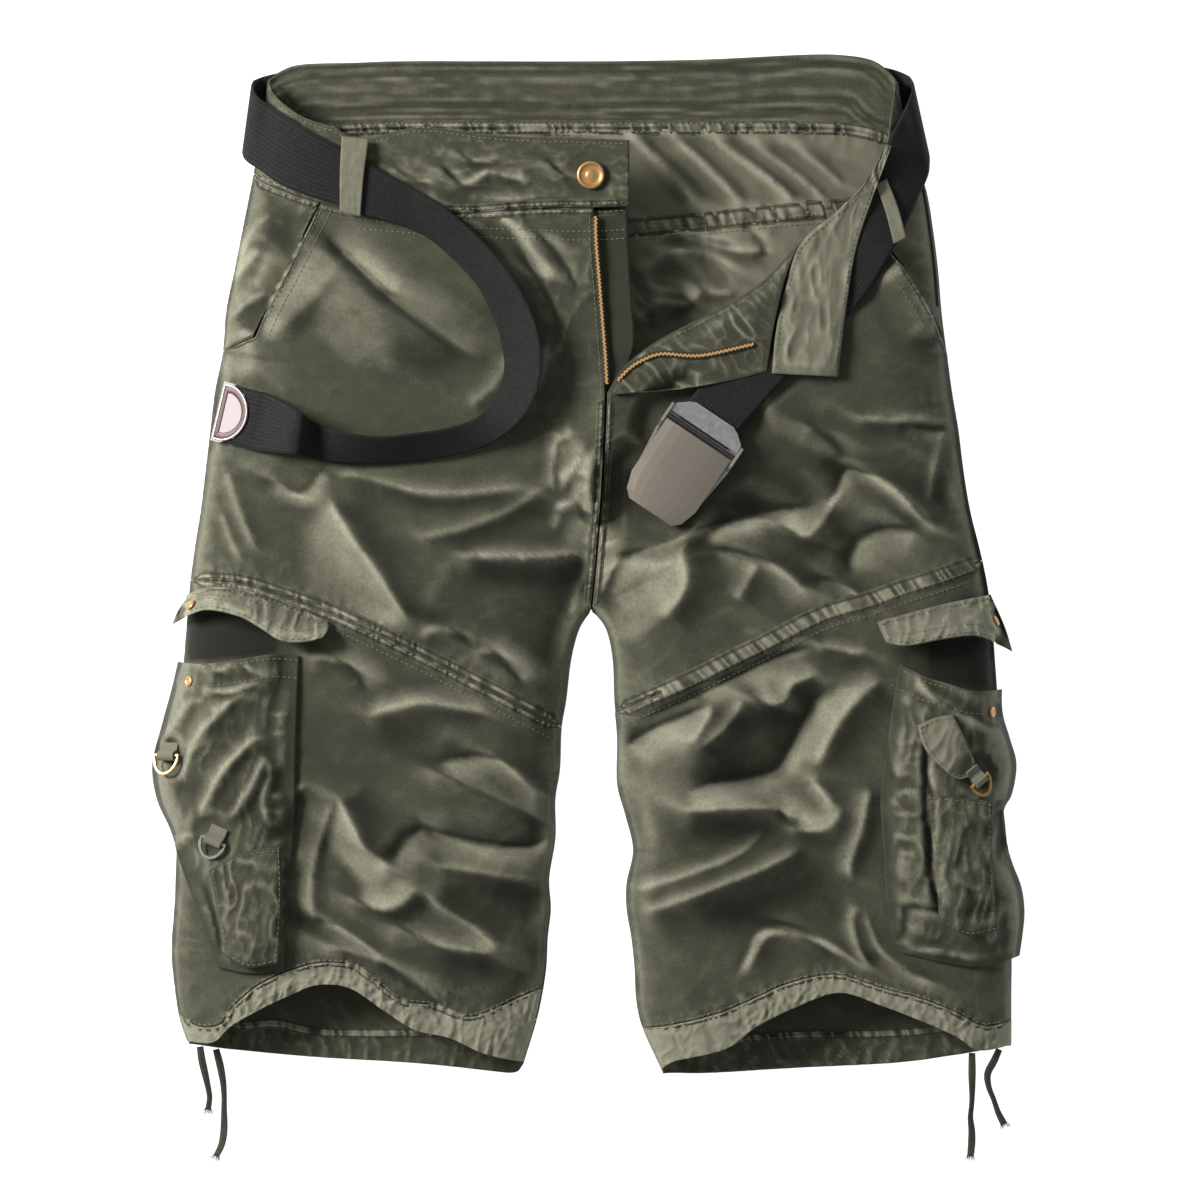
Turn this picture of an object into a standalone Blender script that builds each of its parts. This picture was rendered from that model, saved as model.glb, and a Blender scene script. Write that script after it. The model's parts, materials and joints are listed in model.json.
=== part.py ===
"""Belted cargo shorts laid flat on their back, front up, waist towards +Y.

Units are metres in Blender. The tables below are in millimetres, measured from the middle of
the garment's outline: x to the viewer's right (the wearer's left), y towards the waist.
The surface that the shorts lie on is z = 0.
"""

import math

import bmesh
import bpy
import numpy as np
from mathutils import Matrix, Vector
from mathutils.bvhtree import BVHTree

MM = 0.001

# Driving dimensions, in millimetres.
CLOTH = 1.6                # wall of the washed cotton twill
BAND_CLOTH = 2.2           # waistband: two layers and its stiffening
SEAM_GAP = 0.3             # between two pieces that are sewn together
REST_GAP = 0.6             # below a piece that lies on a panel
SLOPE_LIMIT = 1.5          # most that a steep wall is thickened upright
BACK_CURL_HEIGHT = 7.0     # how far the back turns up at the side seams
BACK_CURL_WIDTH = 12.0
CLOSING_HEIGHT = BACK_CURL_HEIGHT + SLOPE_LIMIT * CLOTH + SEAM_GAP   # front starts here
DOME_WIDTH = 46.0          # from a side seam to the level top of the puffed front
WAIST_RISE = 27.0          # puff of the front above its side seams, at the waist
THIGH_RISE = 29.0
HEM_RISE = 21.0
FOLD_EASE = 16.0           # folds fade out this close to a side seam
BELT_WIDTH = 36.0
BELT_THICK = 2.0
STRAP_LIFT = 1.6            # middle of the strap above the cloth it lies on
STRAP_SAG = 3.0             # most that an edge over an opening hangs below the other edge
BAND_LIFT = BELT_THICK + 1.8         # back waistband above the belt and its loops
BAND_CURL = CLOSING_HEIGHT - SEAM_GAP - SLOPE_LIMIT * BAND_CLOTH - BAND_LIFT
HIP_TUCK = 5.0              # hip panel under the front at a slanted pocket mouth
HIP_CLEAR = 1.3             # and clear of it where the mouth ends
HIP_FOOT = 8.0              # front meets the side seam this far below the mouth
POCKET_BULGE = 9.0
POCKET_MOUTH_RISE = 11.0
FLAP_RISE = 13.0
SHIELD_DROP = 2.3           # fly shield below the front it is sewn under
SHIELD_TUCK = 2.5
STRING_WIDTH = 4.0
CHAIN_WIDTH = 3.2
BUTTON_RADIUS = 8.7
SNAP_RADIUS = 3.4
RING_WIRE = 1.2
HINGE_CLEARANCE = 0.4
ORIGIN_SHIFT = (-0.52, 0.18)  # puts the middle of the outline on the origin

# Outlines, waist to hem. "right" and "left" are the wearer's.
SIDE_RIGHT = ((-199, 301), (-201, 284), (-204, 263), (-207, 247), (-210, 232), (-215, 207), (-220, 182),
    (-225, 157), (-227, 132),
    (-232, 108), (-235, 83), (-238, 58), (-241, 33), (-245, 8), (-248, -16), (-250, -41), (-252, -66),
    (-254, -91), (-255, -116),
    (-255, -147),(-256, -178),(-257, -209),(-259, -240),(-257, -264),(-254, -283),(-249, -299))
SIDE_LEFT = ((193, 301), (196, 284), (201, 263), (206, 247), (211, 232), (215, 207), (218, 182),
    (220, 157), (223, 132),
    (226, 108), (230, 83), (233, 58), (237, 33), (243, 8), (248, -16), (251, -41), (253, -66),
    (255, -91), (257, -116),
    (258, -147),(261, -178),(263, -209),(264, -240),(264, -264),(264, -283),(264, -300))
INSEAM_RIGHT = ((2, -30), (-5, -41), (-10, -60), (-13, -85), (-16, -103), (-17, -128), (-20, -147),
    (-20, -171), (-24, -196),
    (-23, -215),(-25, -233),(-26, -252),(-29, -271),(-33, -288),(-40, -312))
INSEAM_LEFT = ((3, -30), (11, -41), (15, -60), (16, -85), (18, -109), (18, -137), (23, -156), (28, -178),
    (24, -199),
    (24, -215),(27, -233),(29, -252),(30, -271),(34, -289),(47, -318))
CENTRE_SEAM = ((11, 105),(10, 77),(8, 39),(5, 2),(1.9, -30.1))
FLY_EDGE = ((4, 220),(4, 201),(6, 176),(8, 151),(10, 126),(11, 105))
WAIST_SEAM_RIGHT = ((-208, 243), (-202, 237), (-184, 229), (-165, 223), (-150, 219), (-134, 217),
    (-104, 217), (-73, 217),
    (-42, 219),(-17, 220),(4, 220),(26, 221))
WAIST_TOP_RIGHT = ((-199, 301), (-195, 292), (-187, 284), (-175, 276), (-157, 270), (-146, 264),
    (-134, 263), (-116, 268), (-98, 270),
    (-67, 266),(-42, 264),(-5, 263),(26, 262))
SLANT_RIGHT = ((-165, 223),(-173, 208),(-184, 184),(-196, 162),(-206, 140))
SLANT_LEFT = ((181, 201),(191, 188),(202, 172),(212, 156),(220, 140))
THIGH_SEAM_RIGHT = ((-247, -10), (-215, -12), (-188, -20), (-160, -30), (-129, -44), (-98, -59),
    (-67, -75), (-42, -88), (-16, -102))
THIGH_SEAM_LEFT = ((17, -93), (39, -83), (64, -72), (88, -60), (107, -51), (132, -38), (150, -30),
    (175, -23), (194, -16),
    (219, -8),(247, 2))
HEM_TOP_RIGHT = ((-255, -279), (-243, -287), (-228, -286), (-218, -273), (-202, -260), (-181, -251),
    (-164, -247), (-145, -249),
    (-131, -259),(-115, -271),(-96, -274),(-75, -281),(-59, -277),(-44, -270),(-29, -264))
HEM_LOW_RIGHT = ((-249, -297), (-232, -297), (-221, -287), (-202, -276), (-183, -267), (-167, -261),
    (-147, -263), (-126, -277),
    (-107, -289),(-86, -294),(-67, -303),(-54, -307),(-40, -310))
HEM_TOP_LEFT = ((34, -289), (53, -286), (86, -277), (122, -261), (147, -255), (161, -256), (182, -263),
    (208, -270),
    (228, -278),(246, -287),(264, -284))
HEM_LOW_LEFT = ((46, -315), (55, -309), (86, -301), (105, -287), (129, -275), (156, -266), (182, -274),
    (208, -284),
    (228, -293),(243, -302),(264, -299))
BACK_HEM_RIGHT = ((-248, -300),(-227, -303),(-173, -308),(-107, -312),(-67, -316),(-46, -318),(-40, -312))
BACK_HEM_TOP_RIGHT = ((-254, -283), (-218, -288), (-194, -287), (-170, -292), (-141, -293), (-91, -293),
    (-60, -295), (-31, -284))
BACK_HEM_LEFT = ((47, -318),(77, -318),(129, -315),(191, -312),(230, -307),(264, -301))
BACK_HEM_TOP_LEFT = ((36, -293),(77, -297),(129, -294),(191, -293),(230, -289),(264, -283))
BACK_WAIST_TOP = ((-199, 302), (-191, 308), (-178, 312), (-147, 313), (-116, 314), (-54, 314), (8, 314),
    (70, 315), (132, 318), (157, 318),
    (176, 315),(187, 308),(192, 302))
BACK_WAIST_SEAM = ((-205, 258), (-178, 269), (-147, 271), (-116, 272), (-54, 272), (8, 272), (70, 272),
    (132, 272), (169, 270),
    (202, 259))
YOKE_SEAM = ((-211, 222), (-160, 217), (-104, 212), (-42, 209), (3, 208), (57, 212), (107, 217),
    (163, 222), (214, 224))
BACK_THIGH_RIGHT = ((-247, -10),(-191, -29),(-116, -60),(-16, -102))
BACK_THIGH_LEFT = ((17, -93),(107, -57),(181, -26),(247, 2))
BACK_CENTRE = ((3, 208),(3, 151),(2, 89),(2, 27),(1.9, -30.1))

# The turned-out corner of the wearer's left front.
FOLD_LINE = ((13, 106),(23, 122),(42, 137),(64, 149),(91, 163),(112, 178),(130, 198))
FOLD_LINE_UPPER = ((130, 198),(152, 215),(169, 231),(179, 240))
CORNER_LOWER = ((16, 104),(42, 106),(70, 109),(95, 114),(111, 118))
BAND_END_SEAM = ((130, 198),(122, 176),(115, 145),(111, 118))
BAND_END_LEFT = ((184, 259),(171, 235),(153, 217),(132, 199),(123, 176),(116, 145),(113, 117))
BAND_END_TOP = ((188, 258),(177, 228),(166, 194),(160, 157),(155, 115))
WAISTBAND_LEFT_IN = ((192, 300),(189, 285),(187, 270),(184, 255),(179, 240))
WAISTBAND_LEFT_OUT = ((193, 300),(196, 283),(201, 263),(206, 247),(211, 231))

# Folds of the front, largest first. Columns: height in mm (below zero for a trough), width to
# the left and to the right of the line in mm, then the line itself.
FOLDS = (
    ("thigh diagonal", 8.0, 14, 28, ((-167, 59),(-150, 30),(-134, 2),(-121, -23),(-110, -45))),
    ("shoulder", 4.0, 14, 20, ((-202, 53),(-178, 44),(-162, 57))),
    ("under belt", -5.0, 14, 18, ((-147, 60),(-116, 53),(-91, 47),(-29, 46))),
    ("crotch bar", 5.0, 14, 16, ((-85, 11),(-42, 8),(0, 12))),
    ("crotch hollow", -6.0, 26, 26, ((-85, -15),(-54, -29),(-23, -54))),
    ("hip soft", 3.0, 20, 24, ((-178, 194),(-141, 151),(-116, 101))),
    ("fly soft", 5.0, 16, 14, ((-67, 218),(-42, 203),(-26, 176),(-13, 141))),
    ("right seam roll", 5.0, 14, 22, ((-138, -96),(-116, -88),(-91, -87),(-59, -96))),
    ("right middle roll", 6.0, 20, 14, ((-96, -127),(-67, -140),(-42, -150),(-21, -165))),
    ("right peak", 8.0, 14, 24, ((-155, -140),(-146, -159),(-134, -178),(-126, -188))),
    ("right gully", -6.0, 14, 14, ((-165, -147),(-171, -178),(-173, -209),(-167, -236))),
    ("right bar", 6.0, 15, 18, ((-101, -175),(-67, -185),(-42, -191),(-23, -189))),
    ("right lower roll", 5.0, 14, 16, ((-121, -217),(-91, -222),(-67, -231),(-51, -240))),
    ("right hem roll", 5.0, 14, 14, ((-166, -220),(-150, -230),(-116, -243),(-96, -258))),
    ("left crest", 9.0, 14, 28, ((28, 8),(58, 18),(95, 28),(126, 27),(147, 32),(158, 51),(165, 59),
        (184, 52),(206, 32),(225, 17))),
    ("left under crest", 5.0, 14, 18, ((79, 5),(107, 0),(129, -10),(144, -5))),
    ("left knuckle", 5.0, 14, 14, ((174, -9),(173, 11),(185, 23),(201, 21))),
    ("left seam roll", 6.0, 14, 22, ((21, -116),(51, -98),(80, -88))),
    ("left s upper", 7.0, 16, 18, ((181, -75),(163, -88),(149, -113),(139, -138),(124, -156))),
    ("left s middle", 5.0, 14, 16, ((59, -147),(95, -138),(132, -140))),
    ("left long roll", 7.0, 14, 24, ((26, -209),(57, -196),(95, -181),(117, -165))),
    ("left valley", -6.0, 18, 20, ((39, -222),(107, -204),(163, -210))),
    ("left hem crest", 5.0, 14, 14, ((85, -269),(96, -246),(108, -227),(132, -227),(163, -240))),
    ("left pocket gully", -5.0, 14, 14, ((181, -122),(174, -159),(165, -202))),
    ("left low roll", 5.0, 14, 14, ((164, -214),(176, -237),(196, -250),(221, -262))),
    ("crotch valley", -6.0, 16, 16, ((10, 89),(8, 39),(5, 2),(2, -30))),
)
# Creases of the back's inner face, in the same columns.
BACK_FOLDS = (
    ("gather one", 2.2, 10, 12, ((26, 269),(57, 247),(79, 222))),
    ("gather two", 2.2, 10, 12, ((64, 269),(88, 250),(113, 222))),
    ("gather three", 1.8, 10, 12, ((107, 266),(132, 247),(157, 225))),
    ("seat one", 2.5, 12, 14, ((39, 145),(64, 170),(82, 163))),
    ("seat two", 2.5, 12, 14, ((33, 194),(70, 197),(107, 187))),
    ("seat three", 2.2, 12, 14, ((-42, 145),(-91, 163),(-129, 145))),
    ("right calf", 2.0, 12, 14, ((-203, -209),(-160, -233),(-104, -227))),
    ("left calf", 2.0, 12, 14, ((88, -227),(144, -209),(194, -240))),
)
# Raised edges of the two slanted pocket mouths, in the same columns.
POCKET_EDGE_LIFTS = (
    ("right slant", 8.5, 28, 2, ((-171, 211),(-184, 184),(-206, 140))),
    ("left slant", 11.0, 2, 28, ((188, 192),(202, 172),(220, 140))),
)
# Puff of the front above its closing height. Columns: y, rise.
FRONT_RISE = ((-318, HEM_RISE), (-122, THIGH_RISE), (90, THIGH_RISE), (312, WAIST_RISE))

# Stations of the belt's strap. Columns: far edge x, y, height; near edge x, y, height; and 1
# where the heights are above whatever lies below, 0 where they are above the ground.
BELT_BEHIND = ((-160, 310, 2.5, -160, 274, 2.5, 0), (-73, 310, 2.5, -73, 274, 2.5, 0),
    (8, 310, 2.5, 8, 274, 2.5, 0),
    (88, 311, 2.5, 88, 275, 2.5, 0), (163, 312, 2.5, 163, 276, 2.5, 0))
BELT_TIP_RUN = ((-162, 310, 2.5, -162, 274, 2.5, 0), (-183, 308, 2.5, -186, 271, 2.5, 0),
    (-199, 305, 2.6, -206, 263, 3.4, 0),
    (-206, 302, 8.0, -212, 259, 8.0, 0), (-208, 299, 18.0, -214, 255, 16.0, 0),
    (-206, 291, 28.0, -212, 250, 25.0, 0),
    (-197, 284, 1.6, -202, 243, 1.6, 1), (-184, 275, 1.6, -191, 235, 1.6, 1),
    (-169, 266, 1.6, -175, 228, 1.6, 1),
    (-153, 257, 1.6, -156, 222, 1.6, 1), (-134, 246, 1.6, -139, 215, 1.6, 1),
    (-113, 235, 2.6, -119, 210, 1.8, 1),
    (-91, 222, 5.0, -100, 202, 2.0, 1), (-70, 204, 9.0, -82, 187, 2.0, 1),
    (-51, 183, 13.0, -67, 170, 2.0, 1),
    (-37, 160, 17.0, -57, 150, 2.0, 1), (-29, 134, 19.0, -52, 131, 2.0, 1),
    (-30, 109, 19.0, -52, 114, 2.4, 1),
    (-39, 90, 15.0, -59, 99, 5.0, 1), (-54, 77, 9.0, -70, 89, 9.0, 1), (-74, 69, 4.0, -88, 83, 13.0, 1),
    (-98, 64, 2.0, -108, 80, 16.0, 1), (-122, 62, 2.0, -129, 78, 17.0, 1),
    (-150, 62, 2.0, -152, 81, 16.0, 1),
    (-171, 65, 2.0, -170, 88, 12.0, 1), (-186, 68, 2.6, -180, 96, 6.0, 1))
BELT_BUCKLE_RUN = ((165, 312, 2.5, 165, 276, 2.5, 0), (184, 310, 2.5, 186, 274, 2.5, 0),
    (195, 307, 2.6, 202, 265, 3.4, 0),
    (201, 303, 8.0, 210, 260, 8.0, 0), (202, 297, 18.0, 212, 253, 16.0, 0),
    (200, 289, 28.0, 212, 244, 24.0, 0),
    (194, 277, 2.4, 209, 235, 1.8, 1), (186, 261, 3.4, 204, 225, 2.2, 1), (176, 243, 3.4, 197, 209, 2.2, 1),
    (163, 222, 1.6, 186, 189, 1.6, 1), (145, 199, 1.6, 173, 167, 1.6, 1), (126, 175, 1.6, 155, 146, 1.6, 1),
    (103, 152, 1.6, 135, 126, 1.6, 1), (85, 131, 1.6, 118, 111, 1.6, 1))

# Turned-out corner, fly, loops and pockets. A pocket lists its left, right, top and bottom.
SHIELD_EDGE = ((25, 219),(26, 188),(28, 157),(29, 135),(21, 113))
CHAIN_LEFT = ((19, 113),(26, 120),(34, 125),(46, 129),(70, 128),(102, 135))
LOOP_RIGHT_NEAR = ((-152, 264),(-153, 241),(-153, 217))
LOOP_RIGHT_FAR = ((-135, 262),(-138, 239),(-140, 214))
LOOP_LEFT_NEAR = ((178, 234),(184, 217),(189, 197))
LOOP_LEFT_FAR = ((185, 238),(192, 220),(197, 201))
POCKET_RIGHT = (((-255, -61), (-259, -78), (-265, -100), (-271, -125), (-268, -147), (-260, -165),
    (-253, -185), (-243, -212), (-235, -233), (-229, -250)),
    ((-178, -57),(-179, -85),(-180, -122),(-181, -159),(-184, -196),(-186, -227),(-188, -252)),
    ((-255, -61),(-237, -62),(-215, -59),(-194, -56),(-178, -57)), ((-229, -250),(-209, -254),(-188, -252)))
POCKET_LEFT = (((193, -62), (189, -85), (184, -122), (181, -147), (183, -178), (185, -209), (189, -230),
    (194, -241)),
    ((258, -78), (258, -92), (263, -109), (267, -125), (264, -144), (258, -154), (259, -168),
    (264, -185), (270, -201),
    (272, -216),(271, -230),(269, -244)),
    ((193, -62), (209, -70), (225, -75), (240, -79), (258, -78)), ((194, -241), (219, -247), (243, -250),
    (269, -244)))
FLAP_RIGHT = (((-248, -19),(-254, -28),(-258, -38)), ((-160, -36),(-160, -41),(-163, -46)),
    ((-248, -19),(-237, -15),(-219, -15),(-191, -22),(-160, -36)),
    ((-258, -38),(-246, -32),(-234, -29),(-215, -33),(-202, -40),(-189, -48),(-175, -49),(-163, -46)))
FLAP_LEFT = (((179, -36),(181, -42),(184, -49)), ((251, -19),(259, -38),(264, -55)),
    ((179, -36),(197, -31),(225, -24),(251, -19)),
    ((184, -49),(197, -51),(219, -47),(240, -45),(256, -51),(264, -55)))
SMALL_POCKET_RIGHT = (((-233, -189),(-229, -212),(-224, -243)), ((-189, -175),(-188, -209),(-191, -247)),
    ((-233, -189),(-212, -178),(-189, -175)), ((-224, -243),(-209, -250),(-191, -247)))
SMALL_POCKET_LEFT = (((209, -142),(213, -178),(217, -221)), ((250, -147),(250, -184),(253, -227)),
    ((209, -142),(228, -144),(250, -147)), ((217, -221),(234, -230),(253, -227)))
SMALL_FLAP_LEFT = (((203, -100),(207, -113),(215, -123)), ((225, -93),(235, -113),(241, -129)),
    ((203, -100),(214, -95),(225, -93)), ((215, -123),(228, -133),(241, -129)))

# Hardware: places in plan, then sizes.
WAIST_BUTTON = (2, 240)
SNAPS = (("snap_pocket_right", (-246, -73)), ("snap_flap_right", (-245, -26)),
    ("snap_pocket_left", (250, -92)), ("snap_flap_left", (253, -36)))
# Rings: place of the bar, heading of the ring's fall in degrees, half the bar, the ring's drop.
RING_RIGHT = ((-259, -120), 262, 8.0, 12.0)
D_RING_RIGHT = ((-230, -171), 248, 8.0, 11.0)
RING_LEFT = ((240, -133), 300, 7.0, 11.0)
RING_TAB = 9.0
TAB_NARROWER = 2.6
TUNNEL_OUTER = 3.2
BUCKLE_PIN = (70, 78)
BUCKLE_HEADING = 236
BUCKLE_LENGTH = 58.0
BUCKLE_HALF_WIDTH = 26.5
LUG_THICK = 1.8
LUG_HEIGHT = 7.5
PLATE = 1.4
COVER_LENGTH = 56.0
COVER_HALF_WIDTH = 23.6
COVER_CROWN = 2.6
BELT_TIP = (-215, 91)
BELT_TIP_HEADING = 165
TIP_HALF_WIDTH = 19.0
TIP_FOLD = 14.0             # folded edge ahead of the tip's middle
TIP_SIDE = 2.5
TIP_ROUND = 19.0
TIP_METAL = 0.9
POCKET_FOOT = 6.0
POCKET_DOME = 34.0
BACK_LOOPS = (("belt_loop_back_right", -120), ("belt_loop_back_middle", 0), ("belt_loop_back_left", 120))
LOOP_WIDTH = 12.0
LOOP_TOP = 309.0
LOOP_LOW = 275.5
LOOP_CLOTH = 1.2
STRING_STEP = 8.0

# Drawstrings: name, then the route's points x, y, height from the hem to the free end.
DRAWSTRINGS = (
    ("drawstring_right_outer", ((-242, -301.5, 2.2), (-241, -309, 2.2), (-239, -318, 2.2),
        (-237, -327, 2.2), (-236, -334, 2.2), (-237, -341, 2.2))),
    ("drawstring_right_inner", ((-232, -303.2, 2.2), (-230, -311, 2.2), (-228, -321, 2.2),
        (-227, -330, 2.2), (-227, -339, 2.2), (-227, -350, 2.2), (-228, -361, 2.2), (-232, -370, 2.2))),
    ("drawstring_left_inner", ((240, -305.5, 2.2), (240, -315, 2.2), (240, -325, 2.2),
        (240, -335, 2.2), (239, -346, 2.2), (240, -357, 2.2), (239, -370, 2.2))),
    ("drawstring_left_outer", ((257, -303.2, 2.2), (254, -310, 2.2), (250, -317, 2.2),
        (250, -325, 2.2), (253, -333, 2.2), (256, -342, 2.2), (260, -350, 2.2))),
)

# Colours, as linear values.
OLIVE = (0.165, 0.165, 0.115)
OLIVE_PALE = (0.27, 0.27, 0.20)
OLIVE_DARK = (0.075, 0.077, 0.055)
BLACK_WEB = (0.012, 0.012, 0.013)
STRING_GREEN = (0.07, 0.072, 0.055)
BRASS = (0.50, 0.30, 0.12)
SILVER = (0.72, 0.71, 0.69)
GUNMETAL = (0.30, 0.275, 0.245)
DARK_STEEL = (0.05, 0.05, 0.05)


def remove_scene_objects():
    for item in list(bpy.data.objects):
        bpy.data.objects.remove(item, do_unlink=True)


def principled(name, colour, roughness, metallic=0.0):
    material = bpy.data.materials.new(name)
    material.use_nodes = True
    shader = material.node_tree.nodes["Principled BSDF"]
    shader.inputs["Base Color"].default_value = (*colour, 1.0)
    shader.inputs["Roughness"].default_value = roughness
    shader.inputs["Metallic"].default_value = metallic
    return material


# Plane curves: arrays of points with one row each.

def smooth_curve(points, per_span=6):
    """A Catmull-Rom curve through the points."""
    knots = np.array(points, dtype=float)
    ends = np.vstack([2 * knots[0] - knots[1], knots, 2 * knots[-1] - knots[-2]])
    steps = np.arange(per_span) / per_span
    spans = []
    for k in range(1, len(knots)):
        before, start, stop, after = ends[k - 1], ends[k], ends[k + 1], ends[k + 2]
        t = steps[:, None]
        spans.append(0.5 * (2 * start + (stop - before) * t
                            + (2 * before - 5 * start + 4 * stop - after) * t ** 2
                            + (3 * start - before - 3 * stop + after) * t ** 3))
    spans.append(knots[-1:])
    return np.vstack(spans)


def lengths_along(curve):
    steps = np.linalg.norm(np.diff(curve, axis=0), axis=1)
    return np.concatenate([[0.0], np.cumsum(steps)])


def at_shares(curve, shares):
    """Points of the curve at shares of its length."""
    along = lengths_along(curve)
    wanted = np.asarray(shares) * along[-1]
    return np.stack([np.interp(wanted, along, curve[:, k]) for k in range(curve.shape[1])], axis=1)


def between_heights(curve, high, low):
    """The part of a downward curve from y = high to y = low."""
    shares = np.interp([-high, -low], -curve[:, 1], lengths_along(curve))
    inside = (lengths_along(curve) > shares[0] + 1e-6) & (lengths_along(curve) < shares[1] - 1e-6)
    ends = at_shares(curve, shares / lengths_along(curve)[-1])
    return np.vstack([ends[:1], curve[inside], ends[1:]])


def join(*curves):
    return np.vstack([np.asarray(curve, dtype=float) for curve in curves])


def spacing(count, near_start=0.0, near_end=0.0):
    """Shares from 0 to 1, closer together near an end by the given weight."""
    fine = np.linspace(0.0, 1.0, 401)
    density = 1.0 + near_start * np.exp(-fine / 0.1) + near_end * np.exp(-(1.0 - fine) / 0.1)
    total = np.concatenate([[0.0], np.cumsum((density[1:] + density[:-1]) / 2)])
    return np.interp(np.linspace(0.0, total[-1], count + 1), total, fine)


def snapped(shares, *corners):
    """The shares with the nearest one moved onto each corner's share."""
    shares = shares.copy()
    for corner in corners:
        shares[int(np.argmin(np.abs(shares - corner)))] = corner
    return shares


def patch(left, right, top, bottom, across, down, inset=SEAM_GAP / 2):
    """Plan points of a panel between four curves, as rows of x and y.

    left and right run from the waist down, top and bottom from left to right. The panel is
    inset from each curve, so that neighbours are a seam gap apart.
    """
    width = (lengths_along(top)[-1] + lengths_along(bottom)[-1]) / 2
    height = (lengths_along(left)[-1] + lengths_along(right)[-1]) / 2
    u = inset / width + (1 - 2 * inset / width) * across
    v = inset / height + (1 - 2 * inset / height) * down
    left_points = at_shares(left, v)[:, None, :]
    right_points = at_shares(right, v)[:, None, :]
    top_points = at_shares(top, u)[None, :, :]
    bottom_points = at_shares(bottom, u)[None, :, :]
    u = u[None, :, None]
    v = v[:, None, None]
    corners = ((1 - u) * (1 - v) * (left[0] + top[0]) / 2 + u * (1 - v) * (right[0] + top[-1]) / 2
               + (1 - u) * v * (left[-1] + bottom[0]) / 2 + u * v * (right[-1] + bottom[-1]) / 2)
    grid = ((1 - u) * left_points + u * right_points + (1 - v) * top_points + v * bottom_points - corners)
    return grid[..., 0], grid[..., 1]


def fade(share):
    share = np.clip(share, 0.0, 1.0)
    return share * share * (3 - 2 * share)


def nearest_on(curve, x, y):
    """Distance to a curve, the side it is on (+1 left of travel) and the share of its length."""
    points = np.stack([x, y], axis=-1)
    best = np.full(x.shape, np.inf)
    side = np.ones(x.shape)
    share = np.zeros(x.shape)
    along = lengths_along(curve)
    for k in range(len(curve) - 1):
        run = curve[k + 1] - curve[k]
        reach = points - curve[k]
        t = np.clip((reach @ run) / (run @ run), 0.0, 1.0)
        off = reach - t[..., None] * run
        distance = np.linalg.norm(off, axis=-1)
        closer = distance < best
        best = np.where(closer, distance, best)
        side = np.where(closer, np.sign(run[0] * off[..., 1] - run[1] * off[..., 0]), side)
        share = np.where(closer, (along[k] + t * (along[k + 1] - along[k])) / along[-1], share)
    return best, side, share


def folds_at(table, x, y):
    """Height of the folds of a table at points of the plan."""
    height = np.zeros(x.shape)
    for _, rise, left_width, right_width, line in table:
        distance, side, share = nearest_on(smooth_curve(line, 4), x, y)
        width = np.where(side > 0, left_width, right_width)
        across = np.clip(distance / width, 0.0, 1.0)
        ends = fade(share / 0.25) * fade((1 - share) / 0.25)
        height += rise * ends * (0.5 + 0.5 * np.cos(math.pi * across))
    return height


def from_closing(x, y):
    """Distance from the lines where front and back meet: side seams and inseams."""
    lines = [smooth_curve(line, 3) for line in (SIDE_RIGHT, SIDE_LEFT, INSEAM_RIGHT, INSEAM_LEFT)]
    return np.min([nearest_on(line, x, y)[0] for line in lines], axis=0)


def round_up(share):
    """A quarter circle, upright at 0 and level at 1."""
    share = np.clip(share, 0.0, 1.0)
    return np.sqrt(1 - (1 - share) ** 2)


def front_floor(x, y, lifts=()):
    """Inner face of the puffed front."""
    closing = from_closing(x, y)
    heights, rises = zip(*FRONT_RISE)
    rise = np.interp(y, heights, rises)
    relief = folds_at(FOLDS, x, y) * fade(closing / FOLD_EASE)
    return CLOSING_HEIGHT + rise * round_up(closing / DOME_WIDTH) + relief + folds_at(lifts, x, y)


def cut_front_floor(x, y):
    return front_floor(x, y, POCKET_EDGE_LIFTS)


def shield_floor(x, y):
    return front_floor(x, y) - SHIELD_DROP


def back_floor(x, y):
    """Underside of the back, flat on the ground and turned up at the side seams."""
    closing = from_closing(x, y)
    curl = BACK_CURL_HEIGHT * (1 - round_up(closing / BACK_CURL_WIDTH))
    return curl + folds_at(BACK_FOLDS, x, y) * fade((closing - 8) / FOLD_EASE)


def back_band_floor(x, y):
    curl = BAND_CURL * (1 - round_up(from_closing(x, y) / BACK_CURL_WIDTH))
    return BAND_LIFT + curl


def upright_wall(floor, x, y, thickness):
    """Upright measure of a wall of the given thickness, more where the floor is steep."""
    along_x = (floor(x + 1, y) - floor(x - 1, y)) / 2
    along_y = (floor(x, y + 1) - floor(x, y - 1)) / 2
    return thickness * np.minimum(np.sqrt(1 + along_x ** 2 + along_y ** 2), SLOPE_LIMIT)


# Solids.

SUPPORTS = []


def add_mesh(name, points, faces, material, supports=True, frame=None, parent=None):
    """Adds a closed mesh. points are millimetres, in the given frame or the garment's own."""
    points = np.asarray(points, dtype=float)
    if frame is not None and parent is None:
        points = points @ frame[0].T + frame[1]
    points = points + (np.array([*ORIGIN_SHIFT, 0.0]) if parent is None else 0.0)
    mesh = bpy.data.meshes.new(name)
    mesh.from_pydata([tuple(p) for p in points * MM], [], faces)
    work = bmesh.new()
    work.from_mesh(mesh)
    bmesh.ops.recalc_face_normals(work, faces=work.faces)
    bmesh.ops.triangulate(work, faces=work.faces)
    if supports:
        SUPPORTS.append(BVHTree.FromBMesh(work))
    work.to_mesh(mesh)
    work.free()
    mesh.materials.append(material)
    mesh.shade_smooth()
    mesh.set_sharp_from_angle(angle=math.radians(40))
    item = bpy.data.objects.new(name, mesh)
    bpy.context.scene.collection.objects.link(item)
    if parent is not None:
        item.parent = parent
    return item


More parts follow.
